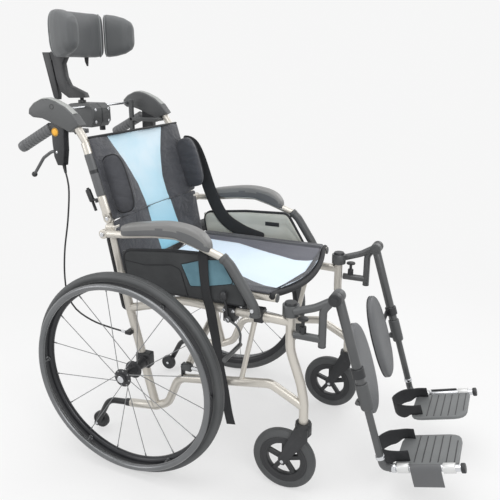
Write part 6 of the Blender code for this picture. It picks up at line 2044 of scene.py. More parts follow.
    def covers(self) -> None:
        """The dark cover that wraps the outer side of each hinge rod and hangs below it."""
        inner, outer = 0.0112, 0.0142
        drop = 0.046
        faces = []
        for reach in (outer, inner):
            turns = [math.radians(turn) for turn in range(78, -1, -13)]
            line = [(reach * math.cos(turn), reach * math.sin(turn)) for turn in turns]
            faces.append([*line, (reach, -drop / 3), (reach + 0.0008, -2 * drop / 3), (reach, -drop)])
        section = faces[0] + faces[1][::-1]
        rings = []
        for across in steps(-0.0665, -0.1440, 12):
            rings.append([LEG.at(self.hinge_x + out, self.hinge_along - up, across) for out, up in section])
        cover = bevelled(lofted("rod_cover", rings), 0.0009, 2, 40)
        placed_pair(cover, "foot", PAD_RUBBER, ["foot_tube"], 50)

    def plates(self) -> None:
        """The moulded footplates, with black raised strips across the mat where its wide-set grooves are:
        painted shade of the grooves.
        """
        outer, inner, rear, front, cut = 0.1855, 0.0455, -0.024, -0.184, 0.034
        plan = [
            (outer, rear), (inner + cut, rear), (inner + 0.55 * cut, rear - 0.09 * cut),
            (inner + 0.25 * cut, rear - 0.28 * cut), (inner + 0.08 * cut, rear - 0.58 * cut),
            (inner, rear - cut), (inner, front + cut), (inner + 0.08 * cut, front + 0.58 * cut),
            (inner + 0.25 * cut, front + 0.28 * cut), (inner + 0.55 * cut, front + 0.09 * cut),
            (inner + cut, front), (outer - 0.010, front), (outer - 0.003, front + 0.003),
            (outer, front + 0.010),
        ]
        levels = (PLATE_TOP, PLATE_TOP + 0.009)
        plate = lofted("plate_body", [[LEG.at(x, level, across) for x, across in plan] for level in levels])
        bevelled(plate, 0.0022, 3, 40)
        knuckles, webs = [], []
        for start in (rear - 0.008, front + 0.036):
            ends = [LEG.at(self.hinge_x, self.hinge_along, across) for across in (start, start - 0.030)]
            knuckles.append(rod("plate_knuckle", *ends, 0.0130, 28, 0.0012))
            feet = [LEG.at(0.1800, self.hinge_along, across) for across in (start, start - 0.030)]
            web = [
                [
                    feet[0] + side * 0.0040, feet[1] + side * 0.0040, ends[1] + side * 0.0105,
                    ends[0] + side * 0.0105,
                ]
                for side in (-LEG.run(), LEG.run())
            ]
            webs.append(lofted("plate_web", web))
        placed_pair(joined("plate_shell", [plate, *webs]), "plate", PLATE, ["footplate"], 40)
        placed_pair(joined("plate_knuckles", knuckles), "plate", PALE_METAL, ["footplate"], 40)
        # Black strips across the plate stand in for the dark inside the grooves: painted shade.
        groove_shades = []
        count = 6
        floor = PLATE_TOP + 0.0004
        for index in range(count):
            across = -0.0725 - index * (0.1010 / (count - 1))
            reach = max(0.0, (-0.146 - across)) / 0.030
            start_x = inner + 0.0085 + 0.030 * min(1.0, reach) * min(1.0, reach)
            ring = []
            for x in (start_x, outer - 0.0085):
                ring.append([
                    LEG.at(x, floor, across + 0.0016), LEG.at(x, floor - 0.0014, across + 0.0011),
                    LEG.at(x, floor - 0.0018, across), LEG.at(x, floor - 0.0014, across - 0.0011),
                    LEG.at(x, floor, across - 0.0016),
                ])
            groove_shades.append(lofted("mat_rib", ring))
        placed_pair(joined("mat_ribs", groove_shades), "plate", BLACK_PLASTIC, ["footplate"], 60)


@dataclass
class ParkingBrakes:
    """The brake levers with their knobs, curved arms and shoes."""

    x: float = 0.2492
    pivot: Point = BRAKE_PIVOT
    knob: Point = (-0.262, 0.553)
    arm: tuple[Point, ...] = (BRAKE_PIVOT, (-0.298, 0.470), (-0.307, 0.448), (-0.305, 0.418))

    def build(self) -> None:
        """Builds both brakes."""
        curved = bent_tube("brake_arm", at_x(self.x, self.arm), 0.0032, 0.03, 14)
        plate = rod_x("brake_eye", self.x - 0.003, self.x + 0.003, self.pivot, 0.0092, 28, 0.0008)
        end = self.arm[-1]
        shoe = rod_x("brake_shoe", self.x - 0.003, 0.346, end, 0.0061, 20, 0.0010)
        placed_pair(joined("brake_metal", [curved, plate, shoe]), "parking", DARK_PAINT, ["parking_brake"])
        knob = at(self.x + 0.008, *self.knob)
        neck = at(self.x, self.pivot[0] + 0.002, self.pivot[1] + 0.008)
        stalk = bent_tube(
            "brake_stalk", [neck, neck.lerp(knob, 0.4) - X_AXIS * 0.003, knob], 0.0032, 0.03, 14
        )
        head = ball("brake_knob", knob, (0.0087, 0.0107, 0.0132))
        placed_pair(joined("brake_handle", [stalk, head]), "parking", BLACK_PLASTIC, ["parking_brake"], 60)
        nut = rod_x("brake_nut", self.x + 0.0030, self.x + 0.0058, self.pivot, 0.0064, 6, 0.0008)
        placed_pair(nut, "parking", STEEL)


# Upholstery


@dataclass(frozen=True)
class Sling:
    """A padded cloth panel stretched between two bars, with seams that run along it."""

    width: float
    skin_x: float
    thickness: float
    sag: float
    puff: float = 0.0022
    seam: float = 0.0020
    skin: float = 0.0055
    counts: tuple[int, ...] = (3, 10, 16, 10, 3)

    def columns(self, seams: Sequence[float]) -> list[tuple[float, float, int]]:
        """The columns of one ring.

        Args:
            seams: Where the seams are, from the far side to the near side.

        Returns:
            For each column its x, how far it is from one seam to the next, and its strip's number.
        """
        stops = [self.skin_x, self.width, *seams, -self.width, -self.skin_x]
        found = []
        for strip, (start, end) in enumerate(zip(stops, stops[1:])):
            for step in range(self.counts[strip]):
                share = step / self.counts[strip]
                found.append((start + (end - start) * share, share, strip))
        return [*found, (stops[-1], 0.0, len(stops) - 2)]

    def ring(
        self, place: Callable[[float, float], Vector], seams: Sequence[float], draw: float, creases: float,
        key: float,
    ) -> list[Vector]:
        """One section across the panel.

        Args:
            place: Takes x and the height over the outer face and gives a point.
            seams: Where the seams are.
            draw: How far a hem draws each face in.
            creases: How deep the small folds are.
            key: Where the section is along the panel, for the folds' pattern.

        Returns:
            The section's points, once round.
        """
        last = len(self.counts) - 1
        outer, inner = [], []
        for x, share, strip in self.columns(seams):
            level = -draw - self.sag * max(0.0, 1 - (x / self.width) ** 2)
            if 0 < strip < last:
                swell = math.sin(math.pi * share) ** 0.7 if share > 0 else 0.0
                level += self.puff * swell - (self.seam if share == 0 and strip > 1 else 0.0)
                fold = noise.noise(Vector((x * 16, key * 9, 3.1)))
                fold += 0.6 * noise.noise(Vector((x * 38, key * 24, 7.7)))
                level += creases * fold * (1.0 if strip in (1, last - 1) else 0.45)
                edge = min(1.0, (self.width - abs(x)) / 0.012)
                depth = self.skin + (self.thickness - self.skin) * edge
            else:
                depth = self.skin
            outer.append(place(x, level))
            inner.append(place(x, level - max(0.0016, depth - draw - draw)))
        return outer + inner[::-1]

    def strip_of(self, index: int) -> int:
        """The strip that a face belongs to, by its place in the ring; -1 on the inner face and the ends."""
        for strip, count in enumerate(self.counts):
            if index < count:
                return strip
            index -= count
        return -1

    def built(self, name: str, rings: Sequence[Sequence[Vector]], numbers: Sequence[int]) -> Piece:
        """Lofts the panel's sections, numbers its strips and smooths it.

        Args:
            name: The piece's name.
            rings: The sections.
            numbers: The finish's number of each strip.

        Returns:
            The panel.
        """
        piece = lofted(name, rings)
        for face in piece.data.polygons:
            row, index = divmod(face.index, len(rings[0]))
            strip = self.strip_of(index) if row < len(rings) - 1 else -1
            face.material_index = numbers[strip] if strip >= 0 else 0
        return softened(piece)


def hem(share: float, ease: float = 0.030, depth: float = 0.0035) -> float:
    """How far a hem draws a padded panel in, by how far along it the place is from 0 to 1."""
    near = min(share, 1 - share) / ease
    return 0.0 if near >= 1 else depth * (1 - math.sqrt(max(0.0, 1 - (1 - near) ** 2)))


@dataclass
class Backrest:
    """The upper and lower back cloth with its light insert, and the two side bolsters."""

    upper: Point = (-0.010, 0.226)
    lower: Point = (0.563, 0.7132)
    near_edge: tuple[Point, ...] = (
        (-0.012, 0.560), (-0.020, 0.600), (-0.036, 0.650), (-0.046, 0.735), (-0.058, 0.790), (-0.092, 0.860),
        (-0.150, 0.940),
    )
    far_edge: tuple[Point, ...] = (
        (0.118, 0.560), (0.112, 0.600), (0.098, 0.650), (0.078, 0.735), (0.080, 0.790), (0.104, 0.860),
        (0.150, 0.940),
    )
    skins: Point = (0.0155 + 0.0003 + 0.0055, 0.0125 + 0.0003 + 0.0055)
    bolster_x: float = 0.200
    bolster_at: Point = (0.085, -0.048)
    bolster_half: Triple = (0.0135, 0.038, 0.083)
    fold_keep: float = 0.39

    def seams(self, z: float) -> list[float]:
        """The insert's far and near edge at this height."""
        return [on_route(edge, z, 1) for edge in (self.far_edge, self.near_edge)]

    def build(self) -> None:
        """Builds both cloths and the bolsters."""
        self.upper_cloth()
        self.lower_cloth()
        self.bolsters()

    def folds(self, piece: Piece) -> None:
        """Gives a cloth its own copy of its mesh."""
        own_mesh(piece)

    def upper_cloth(self) -> None:
        """The cloth between the canes."""
        sling = Sling(0.2090, CLOTH_X, 0.018, 0.016)
        front = self.skins[0]
        rings = []
        for share in steps(0, 1, 40):
            where = self.upper[0] + (self.upper[1] - self.upper[0]) * share
            z = CANE.point(where, -front)[1]
            draw = hem(share, 0.020, 0.0020)
            rings.append(sling.ring(
                lambda x, height, w=where: CANE.at(x, w, -front - height), self.seams(z), draw, 0.0030, z
            ))
        piece = sling.built("back_cloth", rings, (0, 0, 1, 0, 0))
        placed(piece, "right_back", (NYLON, INSERT), ["back_upper"], 180)
        self.folds(piece)
        edge = [
            CANE.at(x, self.upper[1] - 0.001, -front + 0.0035 + 0.016 * (1 - (x / CLOTH_X) ** 2))
            for x in steps(-0.2330, 0.2330, 30)
        ]
        piece = bent_tube("back_binding", edge, 0.0036, 0.02, 12)
        placed(piece, "right_back", BINDING, angle=180)
        self.folds(piece)

    def lower_cloth(self) -> None:
        """The cloth between the rear posts."""
        sling = Sling(0.2110, CLOTH_X, 0.014, 0.012)
        front = self.skins[1]
        rings = []
        for share in steps(0, 1, 22):
            z = self.lower[0] + (self.lower[1] - self.lower[0]) * share
            y = on_route(POST, z, 1)
            draw = hem(share, 0.05, 0.0022)
            rings.append(sling.ring(
                lambda x, height, y=y, z=z: at(x, y - front - height, z), self.seams(z), draw, 0.0026, z
            ))
        piece = sling.built("lower_back_cloth", rings, (0, 0, 1, 0, 0))
        placed(piece, "right_frame", (NYLON, INSERT), ["back_lower"], 180)
        self.folds(piece)

    def bolsters(self) -> None:
        """The padded wings in front of the canes, each with a piped edge."""
        for side in Side:
            centre = CANE.at(side.value * self.bolster_x, *self.bolster_at)
            pad = cushion(f"bolster_{side.word}", self.bolster_half, centre, CANE.turn(), 0.0012)
            placed(pad, "right_back", NYLON, ["back_upper"], 180)
            self.folds(pad)
            line = rim_line(self.bolster_half, centre, CANE.turn(), side.value * 0.0065)
            piping = bent_tube(f"bolster_piping_{side.word}", line, 0.0020, 0.006, 10)
            placed(piping, "right_back", BINDING, angle=180)
            self.folds(piping)


def cushion(
    name: str, half: Triple, centre: Vector, turn: Matrix, creases: float = 0.001, power: float = CROWN
) -> Piece:
    """A padded oval form, thin along X, with crowned faces and a drawn-in rim.

    Args:
        name: The piece's name.
        half: Its half sizes, the first its half thickness.
        centre: Its middle.
        turn: How it is turned.
        creases: How deep its small folds are.
        power: How square its outline is, less being squarer.

    Returns:
        The pad.
    """
    deselect()
    bpy.ops.mesh.primitive_uv_sphere_add(segments=48, ring_count=32, radius=1)
    piece = started(name, edit=False)
    for knot in piece.data.vertices:
        way = knot.co.normalized()
        flat = math.hypot(way.y, way.z)
        if flat > 1e-6:
            y, z = way.y / flat, way.z / flat
            square = (abs(y) ** (2 / power) + abs(z) ** (2 / power)) ** (-power / 2)
            reach = flat**DRAWN_IN * square
            y, z = y * reach, z * reach
        else:
            y = z = 0.0
        x = signed_power(way.x, CROWN)
        fold = noise.noise(Vector((way.x * 2, y * 4, z * 6)) + centre * 7)
        inset = 1 - 0.02 * abs(fold)
        knot.co = Vector((x * half[0] + creases * fold, y * half[1] * inset, z * half[2] * inset))
    piece.data.transform(Matrix.Translation(centre) @ turn)
    return piece


def rim_line(
    half: Triple, centre: Vector, turn: Matrix, x: float, power: float = CROWN, count: int = 56
) -> list[Vector]:
    """The line round a cushion's rim that a piping follows.

    Args:
        half: The cushion's half sizes.
        centre: Its middle.
        turn: How it is turned.
        x: How far from the middle plane the line runs.
        power: The cushion's squareness.
        count: The number of points.

    Returns:
        The points, closing on the first.
    """
    line = []
    drawn = (1 - min(1.0, abs(x) / half[0]) ** (2 / CROWN)) ** (DRAWN_IN / 2)
    for angle in steps(0, 2 * math.pi, count):
        y, z = math.sin(angle), math.cos(angle)
        reach = drawn * (abs(y) ** (2 / power) + abs(z) ** (2 / power)) ** (-power / 2)
        line.append(centre + (turn @ Vector((x, y * reach * half[1], z * reach * half[2]))))
    return line


@dataclass
class Seat:
    """The sling seat: a pale insert between dark borders, with a bound front edge."""

    rear: float = 0.045
    front: float = -0.388
    bulge: float = 0.029
    far_seam: tuple[Point, ...] = (
        (0.0, 0.166), (0.37, 0.160), (0.61, 0.122), (0.84, 0.086), (0.93, 0.094), (1.0, 0.128)
    )
    near_seam: tuple[Point, ...] = (
        (0.0, -0.080), (0.50, -0.088), (0.66, -0.112), (0.78, -0.150), (0.90, -0.182), (1.0, -0.192)
    )
    level: float = 0.5721
    width: float = 0.2105
    fold_keep: float = 0.39

    def place(self, share: float) -> Callable[[float, float], Vector]:
        """The placing of one section, by how far forward it is from 0 to 1."""

        def point(x: float, height: float) -> Vector:
            """A point of the section."""
            bow = self.bulge * max(0.0, 1 - (x / self.width) ** 2) * max(0.0, (share - 0.5) / 0.5)
            return at(x, self.rear + (self.front - self.rear) * share - bow, self.level + height)

        return point

    def build(self) -> None:
        """Builds the cloth and its binding."""
        sling = Sling(self.width, CLOTH_X, 0.021, 0.018, 0.0028, 0.0024, counts=(3, 6, 8, 22, 10, 3))
        rings = []
        for share in steps(0, 1, 48):
            draw = hem(share, 0.008, 0.0016)
            seams = (0.194, on_route(self.far_seam, share, 0), on_route(self.near_seam, share, 0))
            rings.append(sling.ring(self.place(share), seams, draw, 0.0020, share * 0.45))
        piece = sling.built("seat_cloth", rings, (0, 0, 2, 1, 0, 0))
        placed(piece, "right_frame", (NYLON, SEAT_INSERT, BORDER), ["seat_cushion"], 180)
        self.folds(piece)
        edge = [
            self.place(1.0)(x, -0.0105 - 0.018 * max(0.0, 1 - (x / self.width) ** 2))
            for x in steps(-0.2340, 0.2340, 36)
        ]
        binding = bent_tube("seat_binding", edge, 0.0082, 0.02, 14)
        placed(binding, "right_frame", BINDING, angle=180)
        self.folds(binding)

    def folds(self, piece: Piece) -> None:
        """Gives a piece of the seat its own copy of its mesh."""
        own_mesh(piece)


@dataclass
class Headrest:
    """The padded headrest: a middle pad and two wings with piping, on its tilt bracket."""

    low: float = 1.148
    high: float = 1.280
    thickness: float = 0.056
    stations: tuple[Station, ...] = (
        (0.000, 0.362, 1.00, 1.00), (0.050, 0.3605, 1.00, 1.00), (0.085, 0.3525, 0.98, 1.00),
        (0.1035, 0.3365, 0.84, 0.93), (0.1070, 0.3325, 0.84, 0.93), (0.114, 0.322, 0.98, 0.98),
        (0.124, 0.300, 1.00, 0.94), (0.134, 0.272, 0.92, 0.82), (0.140, 0.252, 0.70, 0.64),
        (0.142, 0.243, 0.36, 0.44),
    )

    def build(self) -> None:
        """Builds the three pads, the piping and the bracket."""
        row = [
            (-x, y, thick, tall) for x, y, thick, tall in reversed(self.stations[1:])
        ] + list(self.stations)
        centre = len(self.stations) - 1
        self.pad("headrest_middle", row[centre - 3:centre + 4])
        self.pad("headrest_wing_left", row[centre + 4:])
        self.pad("headrest_wing_right", row[:centre - 3])
        ears = []
        for sign in (-1, 1):
            outline = [
                (0.368, 1.164), (0.368, 1.193), (0.384, 1.192), (0.426, 1.164), (0.427, 1.151), (0.411, 1.150)
            ]
            ends = sorted((sign * 0.0114, sign * 0.0165))
            ears.append(slab(f"headrest_ear_{sign}", outline, ends[0], ends[1], 0.0010))
        tab = [(0.356, 0.012), (0.374, 0.012), (0.372, -0.012), (0.366, -0.026), (0.361, -0.026)]
        ears.append(slab("headrest_tab", [(y, self.low + z) for y, z in tab], 0.052, 0.056, 0.0012))
        placed(joined("headrest_ears", ears), "headrest", BLACK_PLASTIC, ["headrest_pad"])

    def section(self, stations: Sequence[Station], index: int, grow: float = 0.0) -> list[Vector]:
        """The section of a pad at one station.

        Args:
            stations: The pad's stations.
            index: Which one.
            grow: How far outside the pad's face the section lies.

        Returns:
            Its points.
        """
        x, y, thick, tall = stations[index]
        before, after = stations[max(index - 1, 0)], stations[min(index + 1, len(stations) - 1)]
        way = Vector((after[0] - before[0], after[1] - before[1], 0)).normalized()
        normal = Vector((-way.y, way.x, 0))
        middle = at(x, y, (self.high + self.low) / 2)
        points = []
        for angle in steps(0, 2 * math.pi, 32)[:-1]:
            out = signed_power(math.cos(angle), 0.72) * (thick * self.thickness / 2 + grow)
            up = signed_power(math.sin(angle), CROWN) * (tall * (self.high - self.low) / 2 + grow)
            points.append(middle + normal * out + Z_AXIS * up)
        return points

    def pad(self, name: str, stations: Sequence[Station]) -> None:
        """One pad with rounded ends and its piping, which a wing has only next to the middle pad.

        Args:
            name: Its name.
            stations: Its stations: x, y, the shares of its thickness and its height.
        """
        fine = [
            tuple(a + (b - a) * step / 5 for a, b in zip(first, second))
            for first, second in zip(stations, stations[1:]) for step in range(5)
        ]
        fine.append(stations[-1])
        row = []
        ends = (fine[0], fine[-1])
        for index, (x, y, thick, tall) in enumerate(fine):
            gap = min(math.dist((x, y), end[:2]) for end in ends)
            ease = 1.0 if gap > 0.010 else math.sqrt(max(0.0, 1 - (1 - gap / 0.010) ** 2)) * 0.22 + 0.78
            row.append((x, y, thick * ease, tall * (0.5 + ease / 2)))
        rings = [self.section(row, index) for index in range(len(row))]
        for end in (0, -1):
            middle = sum(rings[end], Vector()) / len(rings[end])
            caps = [[middle.lerp(point, share) for point in rings[end]] for share in (0.35, 0.75)]
            rings = caps + rings if end == 0 else rings + caps[::-1]
        piece = lofted(name, rings)
        for knot in piece.data.vertices:
            fold = noise.noise(knot.co * 22) + 0.5 * noise.noise(knot.co * 60)
            knot.co += 0.0007 * fold * (knot.co - at(0, 0.33, 1.214)).normalized()
        softened(piece)
        placed(piece, "headrest", LEATHER, ["headrest_pad"], 180)
        # The light grey piping cords also stand in for the highlight along the pads' edges: painted
        # highlight.
        piping = []
        seams = {"headrest_wing_left": (2,), "headrest_wing_right": (len(row) - 3,)}
        for index in seams.get(name, (2, len(row) - 3)):
            line = self.section(row, index, 0.0004)
            piping.append(bent_tube("pad_piping", [*line, line[0]], 0.0017, 0.008, 10))
        placed(joined(name + "_piping", piping), "headrest", PIPING_AND_HIGHLIGHT, angle=180)


@dataclass
class SidePanels:
    """The cloth panels under the armrests: dark with a pocket and a blue-green field, and a pale lining."""

    inside: float = 0.2412
    thickness: float = 0.0040
    top: tuple[Point, ...] = (
        (0.058, 0.634), (-0.104, 0.652), (-0.254, 0.658), (-0.3130, 0.560), (-0.318, 0.529)
    )
    bottom: float = 0.527
    rear: tuple[Point, ...] = ((0.040, 0.527), (0.058, 0.634))
    field: tuple[Point, ...] = (
        (-0.132, 0.618), (-0.196, 0.6395), (-0.250, 0.646), (-0.288, 0.585), (-0.205, 0.566), (-0.158, 0.559)
    )

    def build(self) -> None:
        """Builds both panels."""
        self.cloth()
        self.trim()

    def height(self, y: float) -> float:
        """The panel's top at this place along it."""
        return on_route(self.top, y, 0)

    def cloth(self) -> None:
        """The two faces of the panel, puffed a little between the folds of the lining."""
        columns, rows = 52, 20
        faces = []
        for outward in (False, True):
            grid = []
            for row in range(rows + 1):
                share = row / rows
                line = []
                for column in range(columns + 1):
                    start = on_route(self.rear, self.bottom + share * 0.107, 1)
                    y = start + (-0.3175 - start) * column / columns
                    z = self.bottom + (self.height(y) - self.bottom) * share
                    part = column / columns
                    edge = min(1.0, min(share, 1 - share, part * 2.4, (1 - part) * 2.4) / 0.09)
                    fold = noise.noise(Vector((y * 17, z * 17, 3.0 if outward else 9.0)))
                    swell = 0.0009 * edge * (1 + fold)
                    if not outward:
                        band = math.sin(math.pi * min(1.0, share) * 3.0)
                        swell += 0.0022 * abs(band) ** 0.5 * edge
                    outer = self.inside + self.thickness + 0.0002 * edge + swell
                    line.append(at(outer if outward else self.inside - swell, y, z))
                grid.append(line)
            faces.append(grid)
        rings = [inner + outer[::-1] for inner, outer in zip(*faces)]
        panel = softened(lofted("panel", rings))
        middle_x = self.inside + self.thickness / 2
        choose_finish(
            panel, lambda middle: 1 if middle.x < middle_x else 2 if self.in_field(middle.y, middle.z) else 0
        )
        for piece in placed_pair(panel, "frame", (PANEL_CLOTH, PANEL_LINING, TEAL), ["side_panel"], 180):
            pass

    def in_field(self, y: float, z: float) -> bool:
        """Whether a place of the outside lies in the blue-green field."""
        inside = False
        for start, end in zip(self.field, self.field[1:] + self.field[:1]):
            if (start[1] > z) != (end[1] > z):
                crossing = start[0] + (z - start[1]) / (end[1] - start[1]) * (end[0] - start[0])
                inside = inside != (y < crossing)
        return inside

    def trim(self) -> None:
        """The round binding over the top and the front, the pocket's seam and the plain tab."""
        middle = self.inside + self.thickness / 2
        line = [self.rear[0], *self.top[:-1], (-0.3180, 0.5300)]
        binding = bent_tube("panel_binding", at_x(middle, line), 0.0042, 0.03, 14)
        base = bent_tube("panel_hem", at_x(middle, [(0.040, 0.5275), (-0.318, 0.5275)]), 0.0030, 0.02, 12)
        placed_pair(joined("panel_edges", [binding, base]), "frame", BINDING, angle=180)
        outside = self.inside + self.thickness + 0.0014
        line = [(0.050, 0.606), (-0.020, 0.600), (-0.100, 0.612), (-0.128, 0.604), (-0.150, 0.5300)]
        pocket = bent_tube("pocket_seam", at_x(outside, line), 0.0012, 0.02, 8)
        rim = bent_tube("field_seam", at_x(outside, [*self.field, self.field[0]]), 0.0011, 0.008, 8)
        placed_pair(joined("panel_seams", [pocket, rim]), "frame", BINDING, angle=180)
        low, high = at(self.inside - 0.0032, -0.226, 0.610), at(self.inside - 0.0014, -0.176, 0.624)
        placed_pair(block("lining_tab", low, high, 0.0006, 2), "frame", BINDING)


@dataclass
class CalfPads:
    """The oval calf pads on their collars."""

    centre_x: float = 0.1065
    half: Triple = (0.015, 0.065, 0.128)
    along: float = 0.205

    def build(self) -> None:
        """Builds both pads."""
        centre = LEG.at(self.centre_x, LEG_LENGTH - 0.061, 0.021)
        turn = Matrix.Rotation(-LEG.angle, 4, "X") @ Matrix.Rotation(math.pi / 2, 4, "Z")
        pad = cushion(
            "calf_cushion", (self.half[0] - 0.0006, self.half[1], self.half[2]), centre, turn, 0.0005, 0.86
        )
        for piece in placed_pair(pad, "calf", DARK_LEATHER, ["calf_pad"], 180):
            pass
        line = rim_line(self.half, centre, turn, 0.0065, 0.86)
        placed_pair(bent_tube("calf_piping", line, 0.0016, 0.006, 10), "calf", BINDING, angle=180)
        section = both_ways([(0.0129, -0.0130), (0.0158, -0.0130), (0.0171, -0.0118)])
        collar = turned("calf_collar", section, LEG.at(LEG_X, self.along), 32, LEG.run())
        start = LEG.at(LEG_X - 0.006, self.along, 0.0125)
        end = LEG.at(self.centre_x + 0.030, self.along + 0.020, 0.020)
        arm = rod("calf_arm", start, end, 0.0061, 18, 0.0008)
        placed_pair(joined("calf_fittings", [collar, arm]), "calf", BLACK_PLASTIC, ["calf_pad"])


def strap(
    name: str, route: Sequence[Vector], way_out: Callable[[int], Vector], half: float | Sequence[float],
    thickness: float, edge_roll: float = 0.0,
) -> Piece:
    """Flat webbing along a route with slightly rounded edges.

    Args:
        name: The piece's name.
        route: Its centre line.
        way_out: Takes a point's number and gives the direction of its flat face.
        half: Half its width, one for all or one for each point.
        thickness: Its thickness.
        edge_roll: How far the edges curl away from the flat.

    Returns:
        The strap.
    """
    rings = []
    for index, point in enumerate(route):
        out = way_out(index).normalized()
        width = half if isinstance(half, float) else half[index]
        across = heading(route, index).cross(out).normalized() * width
        out = out * thickness / 2
        ring = []
        for face, shares in ((1, (-0.97, -0.5, 0.0, 0.5, 0.97)), (-1, (0.97, 0.5, 0.0, -0.5, -0.97))):
            ring += [point + across * share + out * (face - edge_roll * share * share) for share in shares]
            ring.append(point + across * (1 if face > 0 else -1) - out * edge_roll)
        rings.append(ring)
    return lofted(name, rings)


@dataclass
class Straps:
    """The webbing: the padded belt, the hanging belt and the heel loops."""

    padded_route: tuple[Point, ...] = (
        (0.128, 0.872), (0.094, 0.868), (0.066, 0.820), (0.022, 0.700), (-0.024, 0.622), (-0.098, 0.580),
        (-0.172, 0.560),
    )
    padded_x: float = 0.2347
    hanging_route: tuple[Triple, ...] = (
        (0.2352, -0.2010, 0.6280), (0.2356, -0.2010, 0.6480), (0.2384, -0.2008, 0.6604),
        (0.2432, -0.2006, 0.6634), (0.2486, -0.2005, 0.6590), (0.2502, -0.2005, 0.6440),
        (0.2500, -0.2030, 0.5900), (0.2488, -0.2080, 0.5400), (0.2478, -0.2200, 0.4950),
        (0.2480, -0.2360, 0.4000), (0.2480, -0.2580, 0.2600), (0.2480, -0.2770, 0.1700),
    )
    heel_route: tuple[Point, ...] = (
        (0.170, -0.062), (0.172, -0.030), (0.160, 0.012), (0.118, 0.034), (0.078, 0.012), (0.064, -0.030),
        (0.066, -0.060),
    )

    def build(self) -> None:
        """Builds all the webbing."""
        self.padded_belt()
        self.hanging_belt()
        self.heel_loops()

    def padded_belt(self) -> None:
        """The padded belt on the far side, from the cane down along the seat."""
        route = smooth_route(at_x(self.padded_x + 0.00175, self.padded_route), 0.012)
        belt = softened(strap("padded_belt", route, lambda index: X_AXIS, 0.024, 0.0036))
        placed(belt, "left_frame", WEBBING, ["belt_left"], 180)
        tuple(at(self.padded_x, 0, 0.6))
        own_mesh(belt)

    def hanging_belt(self) -> None:
        """The plain belt that hangs outside the near panel, with a folded end."""
        route = smooth_route([at(-x, y, z) for x, y, z in self.hanging_route], 0.008)
        swayed = []
        for index, point in enumerate(route):
            share = min(1.0, max(0.0, (0.52 - point.z) / 0.10))
            swayed.append(point - X_AXIS * share * 0.0014 * (1 - math.cos(index * 0.34)))

        def outward(index: int) -> Vector:
            """The direction of the belt's flat face at one point."""
            return heading(swayed, index).cross(Y_AXIS) + Vector((0, 0.10 * math.sin(index * 0.27), 0))

        belt = strap("hanging_belt", swayed, outward, 0.014, 0.0018, 0.3)
        placed(belt, "right_frame", WEBBING, ["belt_right"], 180)
        length_of(swayed)

    def heel_loops(self) -> None:
        """The loops behind the heels, standing on the plates' rear corners."""
        floor = PLATE_TOP - 0.0003
        plan = smooth_route([Vector((x, across, 0)) for x, across in self.heel_route], 0.006)
        droop = [min(1.0, max(0.0, (point.y + 0.022) / 0.020)) for point in plan]
        route = [LEG.at(point.x, floor - 0.015 + 0.005 * share, point.y) for point, share in zip(plan, droop)]

        def outward(index: int) -> Vector:
            """The direction of the loop's flat face at one point."""
            return heading(route, index).cross(-LEG.run())

        loop = strap("heel_loop", route, outward, [0.015 + 0.007 * share for share in droop], 0.0025)
        back = tuple(LEG.at(0, 0, 1) - LEG.at(0, 0, 0))
        for piece in placed_pair(loop, "plate", WEBBING, ["heel_strap"], 180):
            tuple(LEG.at(0, floor, -0.030))
            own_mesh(piece)
            length_of(route)


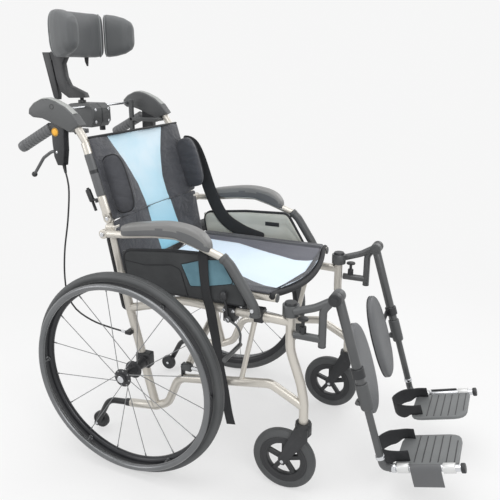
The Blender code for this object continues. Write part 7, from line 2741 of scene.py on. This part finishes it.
@dataclass
class Cables:
    """The brake cables in their sheaths, from the housings down to the stops on the rear posts."""

    radius: float = 0.0025
    route: tuple[Triple, ...] = (
        (0.226, 0.250, 0.8545), (0.2262, 0.2485, 0.842), (0.234, 0.234, 0.790), (0.240, 0.242, 0.700),
        (0.246, 0.258, 0.610), (0.250, 0.264, 0.530), (0.252, 0.257, 0.470), (0.253, 0.228, 0.428),
        (0.253, 0.170, 0.402), (0.251, 0.110, 0.391), (0.249, 0.064, 0.386), (0.249, 0.0585, 0.3855),
    )
    bend_from: Triple = (0.250, 0.250, 0.48)
    bend_to: Triple = (0.228, 0.250, 0.83)

    def build(self) -> None:
        """Builds both cables, each with its strain relief."""
        for side in Side:
            points = smooth_route([at(side.value * x, y, z) for x, y, z in self.route], 0.020)
            curve = bpy.data.curves.new(f"brake_sheath_{side.word}", "CURVE")
            curve.dimensions = "3D"
            curve.bevel_depth, curve.bevel_resolution = self.radius, 3
            curve.use_fill_caps = True
            spline = curve.splines.new("POLY")
            spline.points.add(len(points) - 1)
            for knot, point in zip(spline.points, points):
                knot.co = (*point, 1)
            activate(linked(f"brake_sheath_{side.word}", curve))
            bpy.ops.object.convert(target="MESH")
            cable = bpy.context.object
            cable.data.materials.clear()
            cable.data.materials.append(SHEATH.material())
            bpy.ops.object.shade_smooth()
            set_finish(cable, SHEATH.slot)
            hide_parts(f"brake_cable_{side.word}")
            low, high = (at(side.value * x, y, z) for x, y, z in (self.bend_from, self.bend_to))
            f"{side.word}_frame"
            f"{side.word}_back"
            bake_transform(cable)
            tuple(low)
            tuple(high)
            LOG.info("%s bends from the frame to the back", cable.name)
            way = (points[1] - points[0]).normalized()
            outline = [
                (0.0026, 0.0), (0.0052, 0.0), (0.0050, 0.006), (0.0036, 0.020), (0.0030, 0.022),
                (0.0026, 0.022),
            ]
            relief = turned(f"cable_relief_{side.word}", outline, points[0], 18, way)
            placed(relief, f"{side.word}_back", SHEATH)
            end = (points[-1] - points[-2]).normalized()
            outline = [(0.0026, -0.014), (0.0040, -0.014), (0.0042, -0.0010), (0.0026, -0.0006)]
            ferrule = turned(f"cable_ferrule_{side.word}", outline, points[-1], 18, end)
            placed(ferrule, f"{side.word}_frame", STEEL)
            tuple(points[0])
            length_of(points)
            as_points(points)


def dressed_frame() -> None:
    """Gives every CAD node that still shows its finish."""
    finishes = {
        "frame_paint": PAINT, "dark_paint": DARK_PAINT, "steel": STEEL, "alloy": ALLOY, "handrim": HANDRIM,
        "plastic": BLACK_PLASTIC, "tyre": RUBBER, "soft_rubber": PAD_RUBBER, "nylon": NYLON,
        "leather": LEATHER, "webbing": WEBBING, "orange": ORANGE,
    }
    for node, piece in frame["nodes"].items():
        if not piece.hide_render:
            dress(node, finishes.get(piece.get("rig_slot"), BLACK_PLASTIC))


def main() -> None:
    """Builds the studio and every sub-assembly in order."""
    logging.basicConfig(level=logging.INFO)
    for part in (
        Studio(), Cables(), SideFrames(), CrossArms(), RearWheels(), Casters(), AntiTippers(), Canes(),
        Stabiliser(), Armrests(), LegRests(), ParkingBrakes(), Backrest(), Seat(), Headrest(), SidePanels(),
        CalfPads(), Straps(),
    ):
        part.build()
        LOG.info("built %s", type(part).__name__)
    dressed_frame()


if __name__ == "__main__":
    main()
